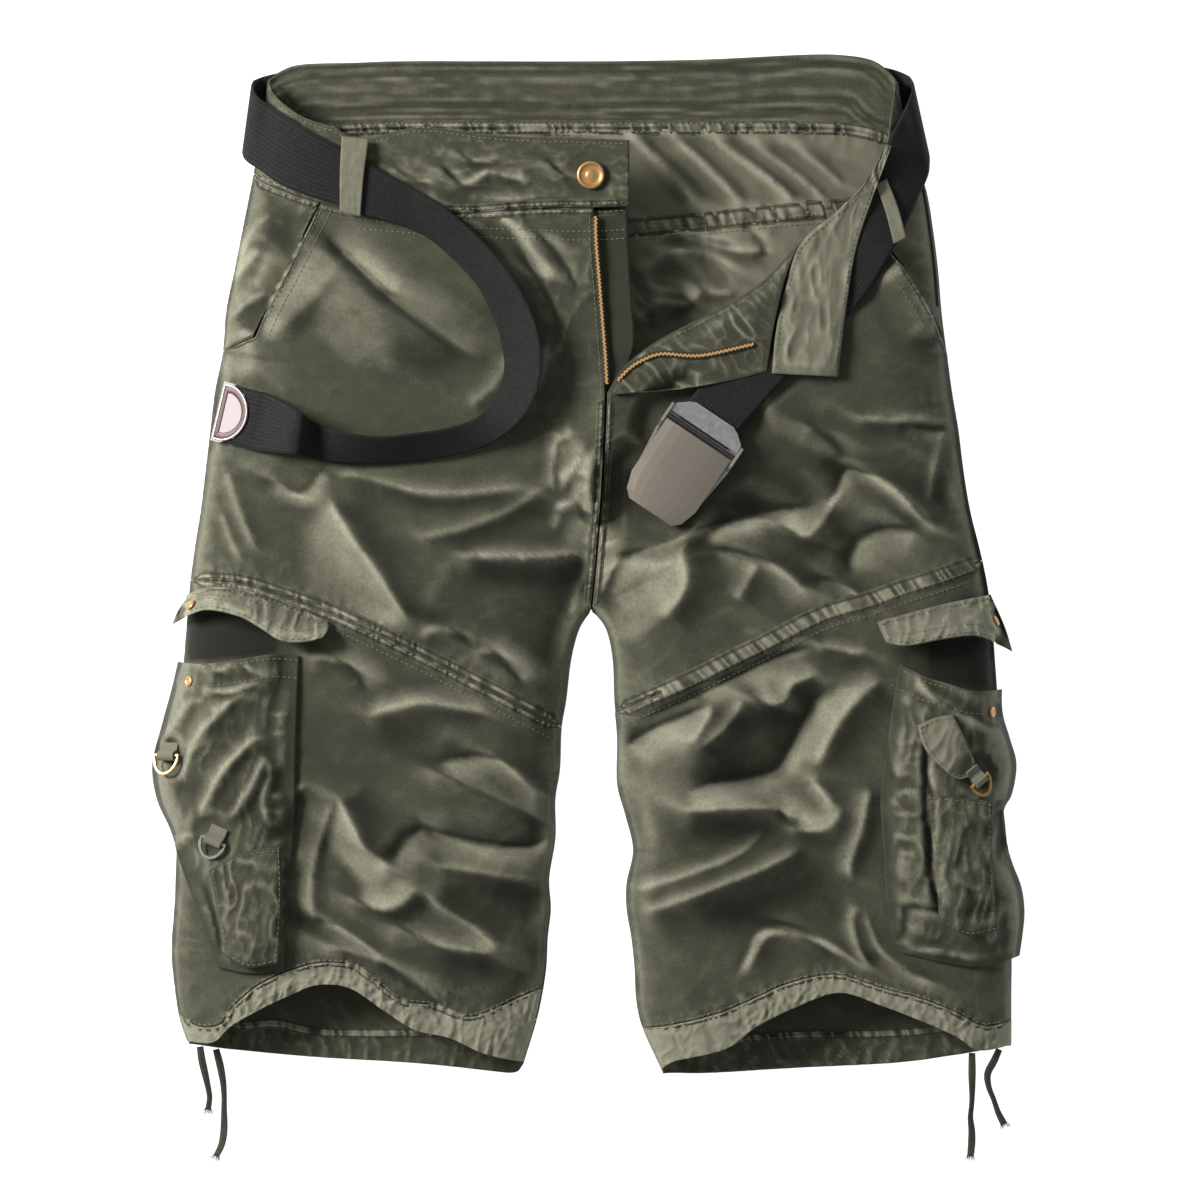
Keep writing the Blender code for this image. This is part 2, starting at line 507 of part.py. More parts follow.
def wall(name, x, y, floor, ceiling, material, frame=None, parent=None):
    """A closed wall between two height grids over the same plan points."""
    rows, columns = x.shape
    lower = np.stack([x, y, floor], axis=-1).reshape(-1, 3)
    upper = np.stack([x, y, ceiling], axis=-1).reshape(-1, 3)
    count = rows * columns
    index = np.arange(count).reshape(rows, columns)
    faces = []
    for i in range(rows - 1):
        for j in range(columns - 1):
            quad = [index[i, j], index[i, j + 1], index[i + 1, j + 1], index[i + 1, j]]
            faces.append([int(k) + count for k in quad])
            faces.append([int(k) for k in reversed(quad)])
    rim = list(index[0, :]) + list(index[1:, -1]) + list(index[-1, -2::-1]) + list(index[-2:0:-1, 0])
    for k, here in enumerate(rim):
        after = rim[(k + 1) % len(rim)]
        faces.append([int(here), int(after), int(after) + count, int(here) + count])
    return add_mesh(name, np.vstack([lower, upper]), faces, material, frame=frame, parent=parent)


def panel(name, sides, floor, thickness, material, across, down):
    """A panel of cloth over the plan between four curves, its inner face on the floor."""
    x, y = patch(*sides, across, down)
    bottom = floor(x, y)
    return wall(name, x, y, bottom, bottom + upright_wall(floor, x, y, thickness), material)


def highest_below(x, y, reach=3.0):
    """Highest point of the solids made so far, within reach of each plan point."""
    offsets = [(0.0, 0.0)]
    offsets += [(reach * math.cos(k * math.pi / 4), reach * math.sin(k * math.pi / 4)) for k in range(8)]
    found = np.full(x.shape, -1.0)
    for place in np.ndindex(x.shape):
        for shift_x, shift_y in offsets:
            start = Vector(((x[place] + shift_x + ORIGIN_SHIFT[0]) * MM,
                            (y[place] + shift_y + ORIGIN_SHIFT[1]) * MM, 0.3))
            for tree in SUPPORTS:
                hit = tree.ray_cast(start, Vector((0, 0, -1)))[0]
                if hit is not None:
                    found[place] = max(found[place], hit.z / MM)
    return np.maximum(found, 0.0)


def overlay(name, sides, thickness, material, across, down, rise=None, reach=3.0):
    """A piece that lies on what is below its plan, raised by rise(u, v) where that is given."""
    x, y = patch(*sides, across, down)
    bottom = highest_below(x, y, reach) + REST_GAP
    if rise is not None:
        bottom = bottom + rise(across[None, :], down[:, None])
    return wall(name, x, y, bottom, bottom + thickness, material)


def loft(name, loops, material, closed=False, supports=True, frame=None, parent=None):
    """A solid through loops of equal point counts, capped unless its loops close on themselves."""
    loops = [np.asarray(loop, dtype=float) for loop in loops]
    sides = len(loops[0])
    faces = []
    for k in range(len(loops) if closed else len(loops) - 1):
        this, after = k * sides, (k + 1) % len(loops) * sides
        for s in range(sides):
            turn = (s + 1) % sides
            faces.append([this + s, this + turn, after + turn, after + s])
    if not closed:
        faces.append(list(range(sides))[::-1])
        faces.append([(len(loops) - 1) * sides + s for s in range(sides)])
    return add_mesh(name, np.vstack(loops), faces, material, supports, frame, parent)


def strap(name, stations, thickness, material, per_span=2, extra=None):
    """A flat strap between a far and a near edge."""
    table = np.array([row[:6] for row in stations], dtype=float)
    over = np.array([row[6] for row in stations], dtype=float)
    below = [highest_below(table[:, column], table[:, column + 1], 4.0) for column in (0, 3)]
    level = np.maximum(*below) - STRAP_SAG
    table[:, 2] += over * np.maximum(below[0], level)
    table[:, 5] += over * np.maximum(below[1], level)
    table = smooth_curve(table, per_span)
    over = np.interp(np.arange(len(table)) / per_span, np.arange(len(stations)), over)
    far, near = table[:, :3].copy(), table[:, 3:].copy()
    short = np.zeros(len(far))
    for share in (0.0, 0.25, 0.5, 0.75, 1.0):
        between = far + (near - far) * share
        below = highest_below(between[:, 0], between[:, 1], 4.0)
        short = np.maximum(short, below + STRAP_LIFT - between[:, 2])
    for edge in (far, near):
        edge[:, 2] += np.where(over >= 0.5, short, 0.0)
    if extra is not None:
        far = np.vstack([far, extra[0]])
        near = np.vstack([near, extra[1]])
    middle = (far + near) / 2
    run = np.gradient(middle, axis=0)
    up = np.cross(near - far, run)
    up /= np.linalg.norm(up, axis=1)[:, None]
    half = up * thickness / 2
    loops = [np.array([f + h, n + h, n - h, f - h]) for f, n, h in zip(far, near, half)]
    return loft(name, loops, material)


def turned(name, profile, sides, material, frame):
    """A closed turned piece. profile lists radius and height, from the axis back to the axis."""
    points = [(0.0, 0.0, profile[0][1])]
    rings = profile[1:-1]
    for radius, height in rings:
        for k in range(sides):
            angle = 2 * math.pi * k / sides
            points.append((radius * math.cos(angle), radius * math.sin(angle), height))
    points.append((0.0, 0.0, profile[-1][1]))
    faces = []
    for s in range(sides):
        turn = (s + 1) % sides
        faces.append([0, 1 + turn, 1 + s])
        for k in range(len(rings) - 1):
            low, high = 1 + k * sides, 1 + (k + 1) * sides
            faces.append([low + s, low + turn, high + turn, high + s])
        top = 1 + (len(rings) - 1) * sides
        faces.append([top + s, top + turn, len(points) - 1])
    return add_mesh(name, points, faces, material, frame=frame)


def resting_frame(x, y, heading, half_length, half_width, clearance=REST_GAP, offset=0.0, reach=1.0):
    """Axes and origin of a stiff piece resting on the cloth, its first axis along heading.

    The piece covers half_length either way along heading from the offset, and half_width across.
    """
    ahead = np.array([math.cos(heading), math.sin(heading)])
    beside = np.array([-ahead[1], ahead[0]])
    grid_s, grid_w = np.meshgrid(np.linspace(-1, 1, 7), np.linspace(-1, 1, 7))
    plan = (np.array([x, y]) + ahead * (offset + grid_s.reshape(-1, 1) * half_length)
            + beside * grid_w.reshape(-1, 1) * half_width)
    heights = highest_below(plan[:, 0], plan[:, 1], reach)
    sums = np.column_stack([plan, np.ones(len(plan))])
    slope_x, slope_y, _ = np.linalg.lstsq(sums, heights, rcond=None)[0]
    up = np.array([-slope_x, -slope_y, 1.0])
    up /= np.linalg.norm(up)
    first = np.array([ahead[0], ahead[1], slope_x * ahead[0] + slope_y * ahead[1]])
    first /= np.linalg.norm(first)
    axes = np.column_stack([first, np.cross(up, first), up])
    over = (heights - sums @ np.array([slope_x, slope_y, 0.0])).max()
    origin = np.array([x, y, slope_x * x + slope_y * y + over]) + up * clearance
    return axes, origin


def pivot(name, frame, at):
    """An empty on a joint's axis, at a point of a resting frame."""
    axes, origin = frame
    empty = bpy.data.objects.new(name, None)
    place = origin + axes @ np.array(at, dtype=float) + np.array([*ORIGIN_SHIFT, 0.0])
    matrix = Matrix([list(row) for row in axes]).to_4x4()
    matrix.translation = Vector(place * MM)
    empty.matrix_world = matrix
    bpy.context.scene.collection.objects.link(empty)
    return empty


# The garment's pieces.

def side(curve, high, low):
    return between_heights(smooth_curve(curve), high, low)


def make_backs(olive):
    """Back panels, yoke and hem casings: what rests on the ground."""
    right, left = smooth_curve(SIDE_RIGHT), smooth_curve(SIDE_LEFT)
    thigh_right, thigh_left = smooth_curve(BACK_THIGH_RIGHT), smooth_curve(BACK_THIGH_LEFT)
    yoke_seam, waist = smooth_curve(YOKE_SEAM), smooth_curve(BACK_WAIST_SEAM)
    centre = smooth_curve(BACK_CENTRE)
    split = int(np.argmin(np.abs(yoke_seam[:, 0] - BACK_CENTRE[0][0])))
    inner_right, inner_left = smooth_curve(INSEAM_RIGHT), smooth_curve(INSEAM_LEFT)
    hem_right, hem_left = smooth_curve(BACK_HEM_TOP_RIGHT), smooth_curve(BACK_HEM_TOP_LEFT)
    low_right, low_left = smooth_curve(BACK_HEM_RIGHT), smooth_curve(BACK_HEM_LEFT)

    def run(curve, start, stop):
        return between_heights(curve, start[1], stop[1])

    panel("back_yoke", (run(right, waist[0], yoke_seam[0]), run(left, waist[-1], yoke_seam[-1]),
                        waist, yoke_seam),
          back_floor, CLOTH, olive, spacing(20, 2, 2), spacing(5))
    panel("back_upper_right",
          (run(right, yoke_seam[0], thigh_right[0]),
           join(centre, run(inner_right, centre[-1], thigh_right[-1])[1:]),
           yoke_seam[:split + 1], thigh_right),
          back_floor, CLOTH, olive, spacing(10, 3, 0), spacing(8))
    panel("back_upper_left",
          (join(centre, run(inner_left, centre[-1], thigh_left[0])[1:]) + (2 * SEAM_GAP, 0),
           run(left, yoke_seam[-1], thigh_left[-1]), yoke_seam[split:], thigh_left),
          back_floor, CLOTH, olive, spacing(10, 0, 3), spacing(8))
    panel("back_lower_right",
          (run(right, thigh_right[0], hem_right[0]), run(inner_right, thigh_right[-1], hem_right[-1]),
           thigh_right, hem_right),
          back_floor, CLOTH, olive, spacing(12, 3, 3), spacing(9))
    panel("back_lower_left",
          (run(inner_left, thigh_left[0], hem_left[0]), run(left, thigh_left[-1], hem_left[-1]),
           thigh_left, hem_left),
          back_floor, CLOTH, olive, spacing(12, 3, 3), spacing(9))
    panel("hem_back_right",
          (run(right, hem_right[0], low_right[0]), run(inner_right, hem_right[-1], low_right[-1]),
           hem_right, low_right),
          back_floor, CLOTH, olive, spacing(12, 3, 3), spacing(2))
    panel("hem_back_left",
          (run(inner_left, hem_left[0], low_left[0]), run(left, hem_left[-1], low_left[-1]),
           hem_left, low_left),
          back_floor, CLOTH, olive, spacing(12, 3, 3), spacing(2))


def make_waistband_back(olive):
    top, seam = smooth_curve(BACK_WAIST_TOP), smooth_curve(BACK_WAIST_SEAM)
    right = side(SIDE_RIGHT, top[0][1], seam[0][1])
    left = side(SIDE_LEFT, top[-1][1], seam[-1][1])
    panel("waistband_back", (right, left, top, seam), back_band_floor, BAND_CLOTH, olive,
          spacing(20, 3, 3), spacing(3))


def tucked(slant):
    """How far the hip panel reaches under the front along the slanted mouth."""
    share = lengths_along(slant) / lengths_along(slant)[-1]
    reach = (HIP_TUCK + HIP_CLEAR) * fade((share - 0.2) / 0.3) * fade((0.9 - share) / 0.3) - HIP_CLEAR
    return np.column_stack([reach, np.zeros(len(share))])


def make_hip_panels(olive):
    """Panels behind the slanted pocket mouths, tucked under the front's raised edges."""
    slant, seam = smooth_curve(SLANT_RIGHT), smooth_curve(WAIST_SEAM_RIGHT)
    stop = int(np.argmin(np.linalg.norm(seam - slant[0], axis=1)))
    seam = seam[:stop + 1]
    inner = slant + tucked(slant)
    outer = side(SIDE_RIGHT, seam[0][1], slant[-1][1] - HIP_FOOT)
    bottom = join(outer[-1:], inner[-1:])
    panel("hip_panel_right", (outer, inner, seam, bottom), front_floor, CLOTH, olive,
          spacing(5, 2, 0), spacing(8))
    slant = smooth_curve(SLANT_LEFT)
    inner = join([WAISTBAND_LEFT_IN[-1]], slant - tucked(slant))
    outer = side(SIDE_LEFT, WAISTBAND_LEFT_OUT[-1][1], slant[-1][1] - HIP_FOOT)
    top = join([WAISTBAND_LEFT_IN[-1]], [WAISTBAND_LEFT_OUT[-1]])
    bottom = join(inner[-1:], outer[-1:])
    panel("hip_panel_left", (inner, outer, top, bottom), front_floor, CLOTH, olive,
          spacing(5, 0, 2), spacing(8))


def make_fronts(olive):
    right, left = smooth_curve(SIDE_RIGHT), smooth_curve(SIDE_LEFT)
    thigh_right, thigh_left = smooth_curve(THIGH_SEAM_RIGHT), smooth_curve(THIGH_SEAM_LEFT)
    hem_right, hem_left = smooth_curve(HEM_TOP_RIGHT), smooth_curve(HEM_TOP_LEFT)
    low_right, low_left = smooth_curve(HEM_LOW_RIGHT), smooth_curve(HEM_LOW_LEFT)
    inner_right, inner_left = smooth_curve(INSEAM_RIGHT), smooth_curve(INSEAM_LEFT)
    slant_right, slant_left = smooth_curve(SLANT_RIGHT), smooth_curve(SLANT_LEFT)
    centre, fly = smooth_curve(CENTRE_SEAM), smooth_curve(FLY_EDGE)
    fold, fold_upper = smooth_curve(FOLD_LINE), smooth_curve(FOLD_LINE_UPPER)
    seam = smooth_curve(WAIST_SEAM_RIGHT)
    start = int(np.argmin(np.linalg.norm(seam - slant_right[0], axis=1)))
    stop = int(np.argmin(np.linalg.norm(seam - fly[0], axis=1)))
    thigh_columns, leg_columns = spacing(18, 2, 1), spacing(20, 3, 2)

    def run(curve, start, stop):
        return between_heights(curve, start[1], stop[1])

    edge = join(slant_right, run(right, slant_right[-1] - (0, HIP_FOOT), thigh_right[0]))
    along = lengths_along(edge)
    corner = along[len(slant_right) - 1] / along[-1]
    panel("front_upper_right",
          (edge, join(fly, centre[1:], run(inner_right, centre[-1], thigh_right[-1])[1:]),
           seam[start:stop + 1], thigh_right),
          cut_front_floor, CLOTH, olive, thigh_columns, snapped(spacing(18), corner))
    edge = join(fold_upper[-1:], slant_left, run(left, slant_left[-1] - (0, HIP_FOOT), thigh_left[-1]))
    along = lengths_along(edge)
    corners = along[[1, len(slant_left)]] / along[-1]
    panel("front_upper_left",
          (join(centre, run(inner_left, centre[-1], thigh_left[0])[1:]) + (2 * SEAM_GAP, 0), edge,
           join(fold, fold_upper[1:]), thigh_left),
          cut_front_floor, CLOTH, olive, spacing(18, 1, 2), snapped(spacing(18), *corners))
    panel("front_lower_right",
          (run(right, thigh_right[0], hem_right[0]), run(inner_right, thigh_right[-1], hem_right[-1]),
           thigh_right, hem_right),
          front_floor, CLOTH, olive, leg_columns, spacing(18))
    panel("front_lower_left",
          (run(inner_left, thigh_left[0], hem_left[0]), run(left, thigh_left[-1], hem_left[-1]),
           thigh_left, hem_left),
          front_floor, CLOTH, olive, spacing(20, 2, 3), spacing(18))
    panel("hem_front_right",
          (run(right, hem_right[0], low_right[0]), run(inner_right, hem_right[-1], low_right[-1]),
           hem_right, low_right),
          front_floor, BAND_CLOTH, olive, leg_columns, spacing(2))
    panel("hem_front_left",
          (run(inner_left, hem_left[0], low_left[0]), run(left, hem_left[-1], low_left[-1]),
           hem_left, low_left),
          front_floor, BAND_CLOTH, olive, spacing(20, 2, 3), spacing(2))


def make_front_waistbands(olive):
    top, seam = smooth_curve(WAIST_TOP_RIGHT), smooth_curve(WAIST_SEAM_RIGHT)
    outer = side(SIDE_RIGHT, top[0][1], seam[0][1])
    end = join(top[-1:], seam[-1:])
    panel("waistband_right", (outer, end, top, seam), front_floor, BAND_CLOTH, olive,
          spacing(22, 3, 0), spacing(4))
    inner, outer = smooth_curve(WAISTBAND_LEFT_IN), smooth_curve(WAISTBAND_LEFT_OUT)
    panel("waistband_left", (inner, outer, join(inner[:1], outer[:1]), join(inner[-1:], outer[-1:])),
          front_floor, BAND_CLOTH, olive, spacing(4, 0, 2), spacing(8))


def make_chain(name, line, brass):
    """A row of zip teeth as one narrow bar along a line."""
    points = at_shares(line, np.linspace(0, 1, 15))
    run = np.gradient(points, axis=0)
    beside = np.column_stack([-run[:, 1], run[:, 0]]) / np.linalg.norm(run, axis=1)[:, None]
    heights = np.max([highest_below(*(points + beside * shift).T, 2.0) for shift in (-1.5, 0.0, 1.5)],
                     axis=0)
    profile = ((-0.5, 0.3), (0.5, 0.3), (0.5, 1.7), (-0.5, 1.7))
    loops = []
    for point, across, height in zip(points, beside, heights):
        loops.append([(*(point + across * w * CHAIN_WIDTH), height + h) for w, h in profile])
    loft(name, loops, brass)


def make_fly(olive_dark, brass):
    """Shield behind the open zip, and the chain on the button side."""
    fly = smooth_curve(FLY_EDGE)
    inner = between_heights(fly, fly[0][1] - 1.5, fly[-1][1] + 4) - (SHIELD_TUCK, 0)
    outer = smooth_curve(SHIELD_EDGE)
    panel("fly_shield", (inner, outer, join(inner[:1], outer[:1]), join(inner[-1:], outer[-1:])),
          shield_floor, CLOTH, olive_dark, spacing(3), spacing(12))
    make_chain("zip_chain_right", between_heights(fly, fly[0][1] - 6, fly[-1][1] + 6) + (1.2, 0), brass)


def make_turned_corner(olive_pale, brass):
    """The wearer's left front corner, folded outwards over its own front."""
    fold, lower = smooth_curve(FOLD_LINE), smooth_curve(CORNER_LOWER)
    end_seam = smooth_curve(BAND_END_SEAM)
    clear = (1.0, -1.0)
    fold = fold + clear
    end_seam = end_seam + (-0.4, 0)

    def billow(u, v):
        return 2.5 * np.sin(math.pi * u) * np.sin(math.pi * v)

    overlay("turned_corner_left", (join(fold[:1], lower[:1]), end_seam, fold, lower), CLOTH, olive_pale,
            spacing(13), spacing(6), billow, 7.0)
    inner, outer = smooth_curve(BAND_END_LEFT), smooth_curve(BAND_END_TOP)
    overlay("waistband_left_end",
            (inner + (0.4, 0), outer, join(inner[:1] + (0.4, 0), outer[:1]), join(inner[-1:] + (0.4, 0),
            outer[-1:])),
            BAND_CLOTH, olive_pale, spacing(5), spacing(17), reach=8.0)
    make_chain("zip_chain_left", smooth_curve(CHAIN_LEFT), brass)


def make_belt_loops(olive_pale):
    """Belt loops: one on each front, three behind the waist."""
    for name, near, far in (("belt_loop_right", LOOP_RIGHT_NEAR, LOOP_RIGHT_FAR),
                            ("belt_loop_left", LOOP_LEFT_NEAR, LOOP_LEFT_FAR)):
        near, far = smooth_curve(near), smooth_curve(far)
        overlay(name, (near, far, join(near[:1], far[:1]), join(near[-1:], far[-1:])),
                CLOTH, olive_pale, spacing(2), spacing(7), reach=5.0)


def make_back_loops(olive_pale):
    for name, centre_x in BACK_LOOPS:
        x, y = np.meshgrid(np.linspace(-0.5, 0.5, 3) * LOOP_WIDTH + centre_x,
                           np.linspace(LOOP_TOP, LOOP_LOW, 4))
        wall(name, x, y, np.zeros(x.shape), np.full(x.shape, LOOP_CLOTH), olive_pale)


def make_cargo_pocket(name, outline, silhouette, cloth):
    """A bellows pocket sewn to the leg on three sides, its mouth standing open at the top."""
    left, right, top, bottom = (smooth_curve(line) for line in outline)
    across, down = spacing(10, *((2, 0) if silhouette == "left" else (0, 2))), spacing(12)
    x, y = patch(left, right, top, bottom, across, down)
    u, v = np.meshgrid(across, down)
    outside = left if silhouette == "left" else right
    from_side = nearest_on(outside, x, y)[0]
    inner_edge = (1 - u) if silhouette == "left" else u
    bulge = POCKET_BULGE * fade(inner_edge / 0.3) * fade((1 - v) / 0.25)
    mouth = (POCKET_MOUTH_RISE - POCKET_BULGE) * fade(1 - v / 0.25) * fade(inner_edge / 0.3)
    below = highest_below(x, y, 4.0)
    level = CLOSING_HEIGHT + THIGH_RISE + CLOTH
    inflated = POCKET_FOOT + (level + bulge + mouth - POCKET_FOOT) * round_up(from_side / POCKET_DOME)
    seated = below + REST_GAP
    lifted = below + REST_GAP + bulge + mouth
    bottom_face = np.where(below > 0, np.maximum(seated, np.minimum(lifted, inflated)), inflated)
    return wall(name, x, y, bottom_face, bottom_face + CLOTH, cloth)


def make_pockets(olive, olive_pale):
    make_cargo_pocket("cargo_pocket_right", POCKET_RIGHT, "left", olive)
    make_cargo_pocket("cargo_pocket_left", POCKET_LEFT, "right", olive)

    def flare(u, v):
        return FLAP_RISE * fade(v) + 0 * u

    for name, outline in (("cargo_flap_right", FLAP_RIGHT), ("cargo_flap_left", FLAP_LEFT)):
        sides = [smooth_curve(line) for line in outline]
        overlay(name, sides, CLOTH, olive_pale, spacing(10), spacing(3), flare, 4.0)

    def cushion(u, v):
        return 2.0 * np.sin(math.pi * u) * np.sin(math.pi * v)

    for name, outline, cloth in (("small_pocket_right", SMALL_POCKET_RIGHT, olive),
                                 ("small_pocket_left", SMALL_POCKET_LEFT, olive),
                                 ("small_flap_left", SMALL_FLAP_LEFT, olive_pale)):
        sides = [smooth_curve(line) for line in outline]
        overlay(name, sides, CLOTH, cloth, spacing(6), spacing(7), cushion, 3.0)


def make_button_and_snaps(brass):
    x, y = WAIST_BUTTON
    r = BUTTON_RADIUS
    frame = resting_frame(x, y, 0.0, r, r, SEAM_GAP)
    turned("waist_button",
           ((0, 0), (0.5 * r, 0), (0.5 * r, 1.2), (0.94 * r, 1.2), (r, 2.2), (0.96 * r, 3.4),
           (0.84 * r, 3.9),
            (0.7 * r, 3.5), (0.62 * r, 2.8), (0.3 * r, 2.8), (0.22 * r, 3.3), (0, 3.3)), 16, brass, frame)
    r = SNAP_RADIUS
    for name, (x, y) in SNAPS:
        frame = resting_frame(x, y, 0.0, 0.7 * r, 0.7 * r, SEAM_GAP, reach=0.0)
        turned(name, ((0, 0), (r, 0), (r, 1.0), (0.8 * r, 1.6), (0.45 * r, 1.6), (0.35 * r, 1.2), (0, 1.2)),
               10, brass, frame)


def make_ring(name, place, heading, half_bar, drop, tab_cloth, metal):
    """A D ring whose bar turns in the tunnel of a cloth tab. The pivot is on the bar's axis."""
    x, y = place
    half_tab = half_bar - TAB_NARROWER
    frame = resting_frame(x, y, heading, RING_TAB / 2, half_tab, SEAM_GAP, -RING_TAB / 2, 0.0)
    bar_height = TUNNEL_OUTER
    outer = [(-RING_TAB, 0.0), (-0.5 * RING_TAB, 0.0)]
    outer += [(TUNNEL_OUTER * math.sin(a), bar_height - TUNNEL_OUTER * math.cos(a))
              for a in np.linspace(0, math.radians(200), 9)]
    outer += [(-0.5 * RING_TAB, CLOTH), (-RING_TAB, CLOTH)]
    hole = TUNNEL_OUTER - CLOTH
    angles = [math.radians(a) for a in (-95, -60)] + list(np.linspace(0, math.radians(200), 9))
    angles += [math.radians(225)]
    inner = [(hole * math.sin(a), bar_height - hole * math.cos(a)) for a in angles]
    count, hole_count = len(outer), len(inner)
    one_side = count + hole_count
    points = []
    for w in (-half_tab, half_tab):
        points += [(s, w, z) for s, z in outer + inner]
    faces = [[k, one_side + k, one_side + (k + 1) % count, (k + 1) % count] for k in range(count)]
    for k in range(hole_count):
        this, after = count + k, count + (k + 1) % hole_count
        faces.append([this, after, one_side + after, one_side + this])
    last = hole_count - 1
    flat_part = [0, 1, last, last + 1]
    neck = [last, 1, count + 1, count, count + last]
    around = [[k, k + 1, count + k + 1, count + k] for k in range(1, last)]
    for face in [flat_part, neck, *around]:
        faces.append(face)
        faces.append([one_side + k for k in reversed(face)])
    add_mesh(name + "_tab", points, faces, tab_cloth, frame=frame)
    empty = pivot(name + "_pivot", frame, (0.0, 0.0, bar_height))
    path = [(0.0, w) for w in np.linspace(-half_bar, half_bar, 3)]
    path += [(drop * math.sin(a), half_bar * math.cos(a)) for a in np.linspace(0, math.pi, 11)[1:-1]]
    path = np.array(path)
    after, before = np.roll(path, -1, axis=0), np.roll(path, 1, axis=0)
    run = after - before
    run /= np.linalg.norm(run, axis=1)[:, None]
    loops = []
    for (s, w), (run_s, run_w) in zip(path, run):
        loop = []
        for k in range(6):
            angle = math.pi * k / 3
            out = RING_WIRE * math.cos(angle)
            loop.append((s + out * run_w, w - out * run_s, RING_WIRE * math.sin(angle)))
        loops.append(loop)
    loft(name, loops, metal, closed=True, parent=empty, supports=False)


def make_buckle(silver, gunmetal, dark_steel):
    """Clamp buckle on the strap's end, with a cover that flips up on its pin."""
    x, y = BUCKLE_PIN
    heading = math.radians(BUCKLE_HEADING)
    frame = resting_frame(x, y, heading, BUCKLE_LENGTH / 2 + 4, BUCKLE_HALF_WIDTH, REST_GAP,
                          BUCKLE_LENGTH / 2 - 4)
    half = BUCKLE_HALF_WIDTH
    lug = half - LUG_THICK
    loops = []
    for s, width, height in ((-8, half, LUG_HEIGHT), (5, half, LUG_HEIGHT), (9, half, 2.8),
        (44, half - 4, 2.8)):
        inside = width - LUG_THICK
        loops.append([(s, -width, 0), (s, width, 0), (s, width, height), (s, inside, height),
                      (s, inside, PLATE), (s, -inside, PLATE), (s, -inside, height), (s, -width, height)])
    loft("buckle_base", loops, silver, frame=frame)
    strap_low = PLATE + SEAM_GAP
    clamp_low = strap_low + BELT_THICK + SEAM_GAP
    loops = []
    for s, width in ((-16, 0.55 * lug), (-14, 0.72 * lug), (-9, 0.97 * lug), (-3.6, lug - HINGE_CLEARANCE)):
        loops.append([(s, -width, clamp_low), (s, width, clamp_low), (s, width, clamp_low + 2.2),
                      (s, -width, clamp_low + 2.2)])
    loft("buckle_clamp", loops, silver, frame=frame)
    pin_height = clamp_low + 1.6
    ring = [(1.4 * math.cos(k * math.pi / 5),
        1.4 * math.sin(k * math.pi / 5) + pin_height) for k in range(10)]
    loops = [[(s, w, z) for s, z in ring] for w in (-lug + SEAM_GAP, lug - SEAM_GAP)]
    loft("buckle_pin", loops, dark_steel, frame=frame)
    empty = pivot("buckle_cover_pivot", frame, (0.0, 0.0, pin_height))
    across = np.linspace(-1, 1, 9)
    down = np.array([0, 0.15, 0.35, 0.55, 0.72, 0.84, 0.92, 0.97, 1.0])
    s_grid = 2.2 + down[:, None] * (COVER_LENGTH - 2.2) + 0 * across[None, :]
    narrow = np.interp(down, (0, 0.72, 0.92, 1.0), (1.0, 1.0, 0.86, 0.66))
    w_grid = across[None, :] * narrow[:, None] * COVER_HALF_WIDTH
    crown = COVER_CROWN * (1 - np.abs(across[None, :]) ** 2.5) * np.ones((len(down), 1))
    droop = -3.6 * np.clip((down[:, None] - 0.45) / 0.55, 0, 1) ** 2
    floor = -0.4 + 0.6 * crown + droop
    wall("buckle_cover", s_grid, w_grid, floor, floor + 1.8, gunmetal, parent=empty)
    return frame_strap_ends(frame, (-22.0, -14.0, -2.5), strap_low + BELT_THICK / 2, 1)


def make_belt_tip(silver):
    """Folded metal end on the strap's free tip, half-round towards the strap."""
    x, y = BELT_TIP
    frame = resting_frame(x, y, math.radians(BELT_TIP_HEADING), 13, TIP_HALF_WIDTH, REST_GAP)
    slot_low = TIP_METAL
    slot_high = TIP_METAL + BELT_THICK + 2 * SEAM_GAP
    loops = []
    for share in np.linspace(-0.98, 0.98, 9):
        w = share * TIP_HALF_WIDTH
        back = TIP_FOLD - TIP_SIDE - TIP_ROUND * math.sqrt(1 - share * share)
        outline = ((TIP_FOLD, 0), (TIP_FOLD, slot_high + TIP_METAL), (back, slot_high + TIP_METAL),
                   (back, slot_high), (TIP_FOLD - 1, slot_high), (TIP_FOLD - 1, slot_low),
                   (back, slot_low), (back, 0))
        loops.append([(s, w, z) for s, z in outline])
    loft("belt_tip", loops, silver, frame=frame)
    return frame_strap_ends(frame, (-18.0, -10.0, TIP_FOLD - 2), (slot_low + slot_high) / 2, -1)


def frame_strap_ends(frame, places, height, far_side):
    """Far and near edges of a strap where it runs into a stiff piece, in the garment's frame."""
    axes, origin = frame
    ends = []
    for w in (-far_side * BELT_WIDTH / 2, far_side * BELT_WIDTH / 2):
        local = np.array([(s, w, height) for s in places])
        ends.append(local @ axes.T + origin)
    return ends


def make_drawstrings(string_cloth):
    for name, route in DRAWSTRINGS:
        line = smooth_curve(route, 8)
        count = round(lengths_along(line)[-1] / STRING_STEP) + 1
        points = at_shares(line, np.linspace(0, 1, count))
        curve = bpy.data.curves.new(name, "CURVE")
        curve.dimensions = "3D"
        curve.bevel_depth = STRING_WIDTH / 2 * MM
        curve.bevel_resolution = 2
        curve.use_fill_caps = True
        spline = curve.splines.new("POLY")
        spline.points.add(len(points) - 1)
        for knot, point in zip(spline.points, points):
            place = (point + (*ORIGIN_SHIFT, 0.0)) * MM
            knot.co = (*place, 1.0)
        curve.materials.append(string_cloth)
        item = bpy.data.objects.new(name, curve)
        bpy.context.scene.collection.objects.link(item)


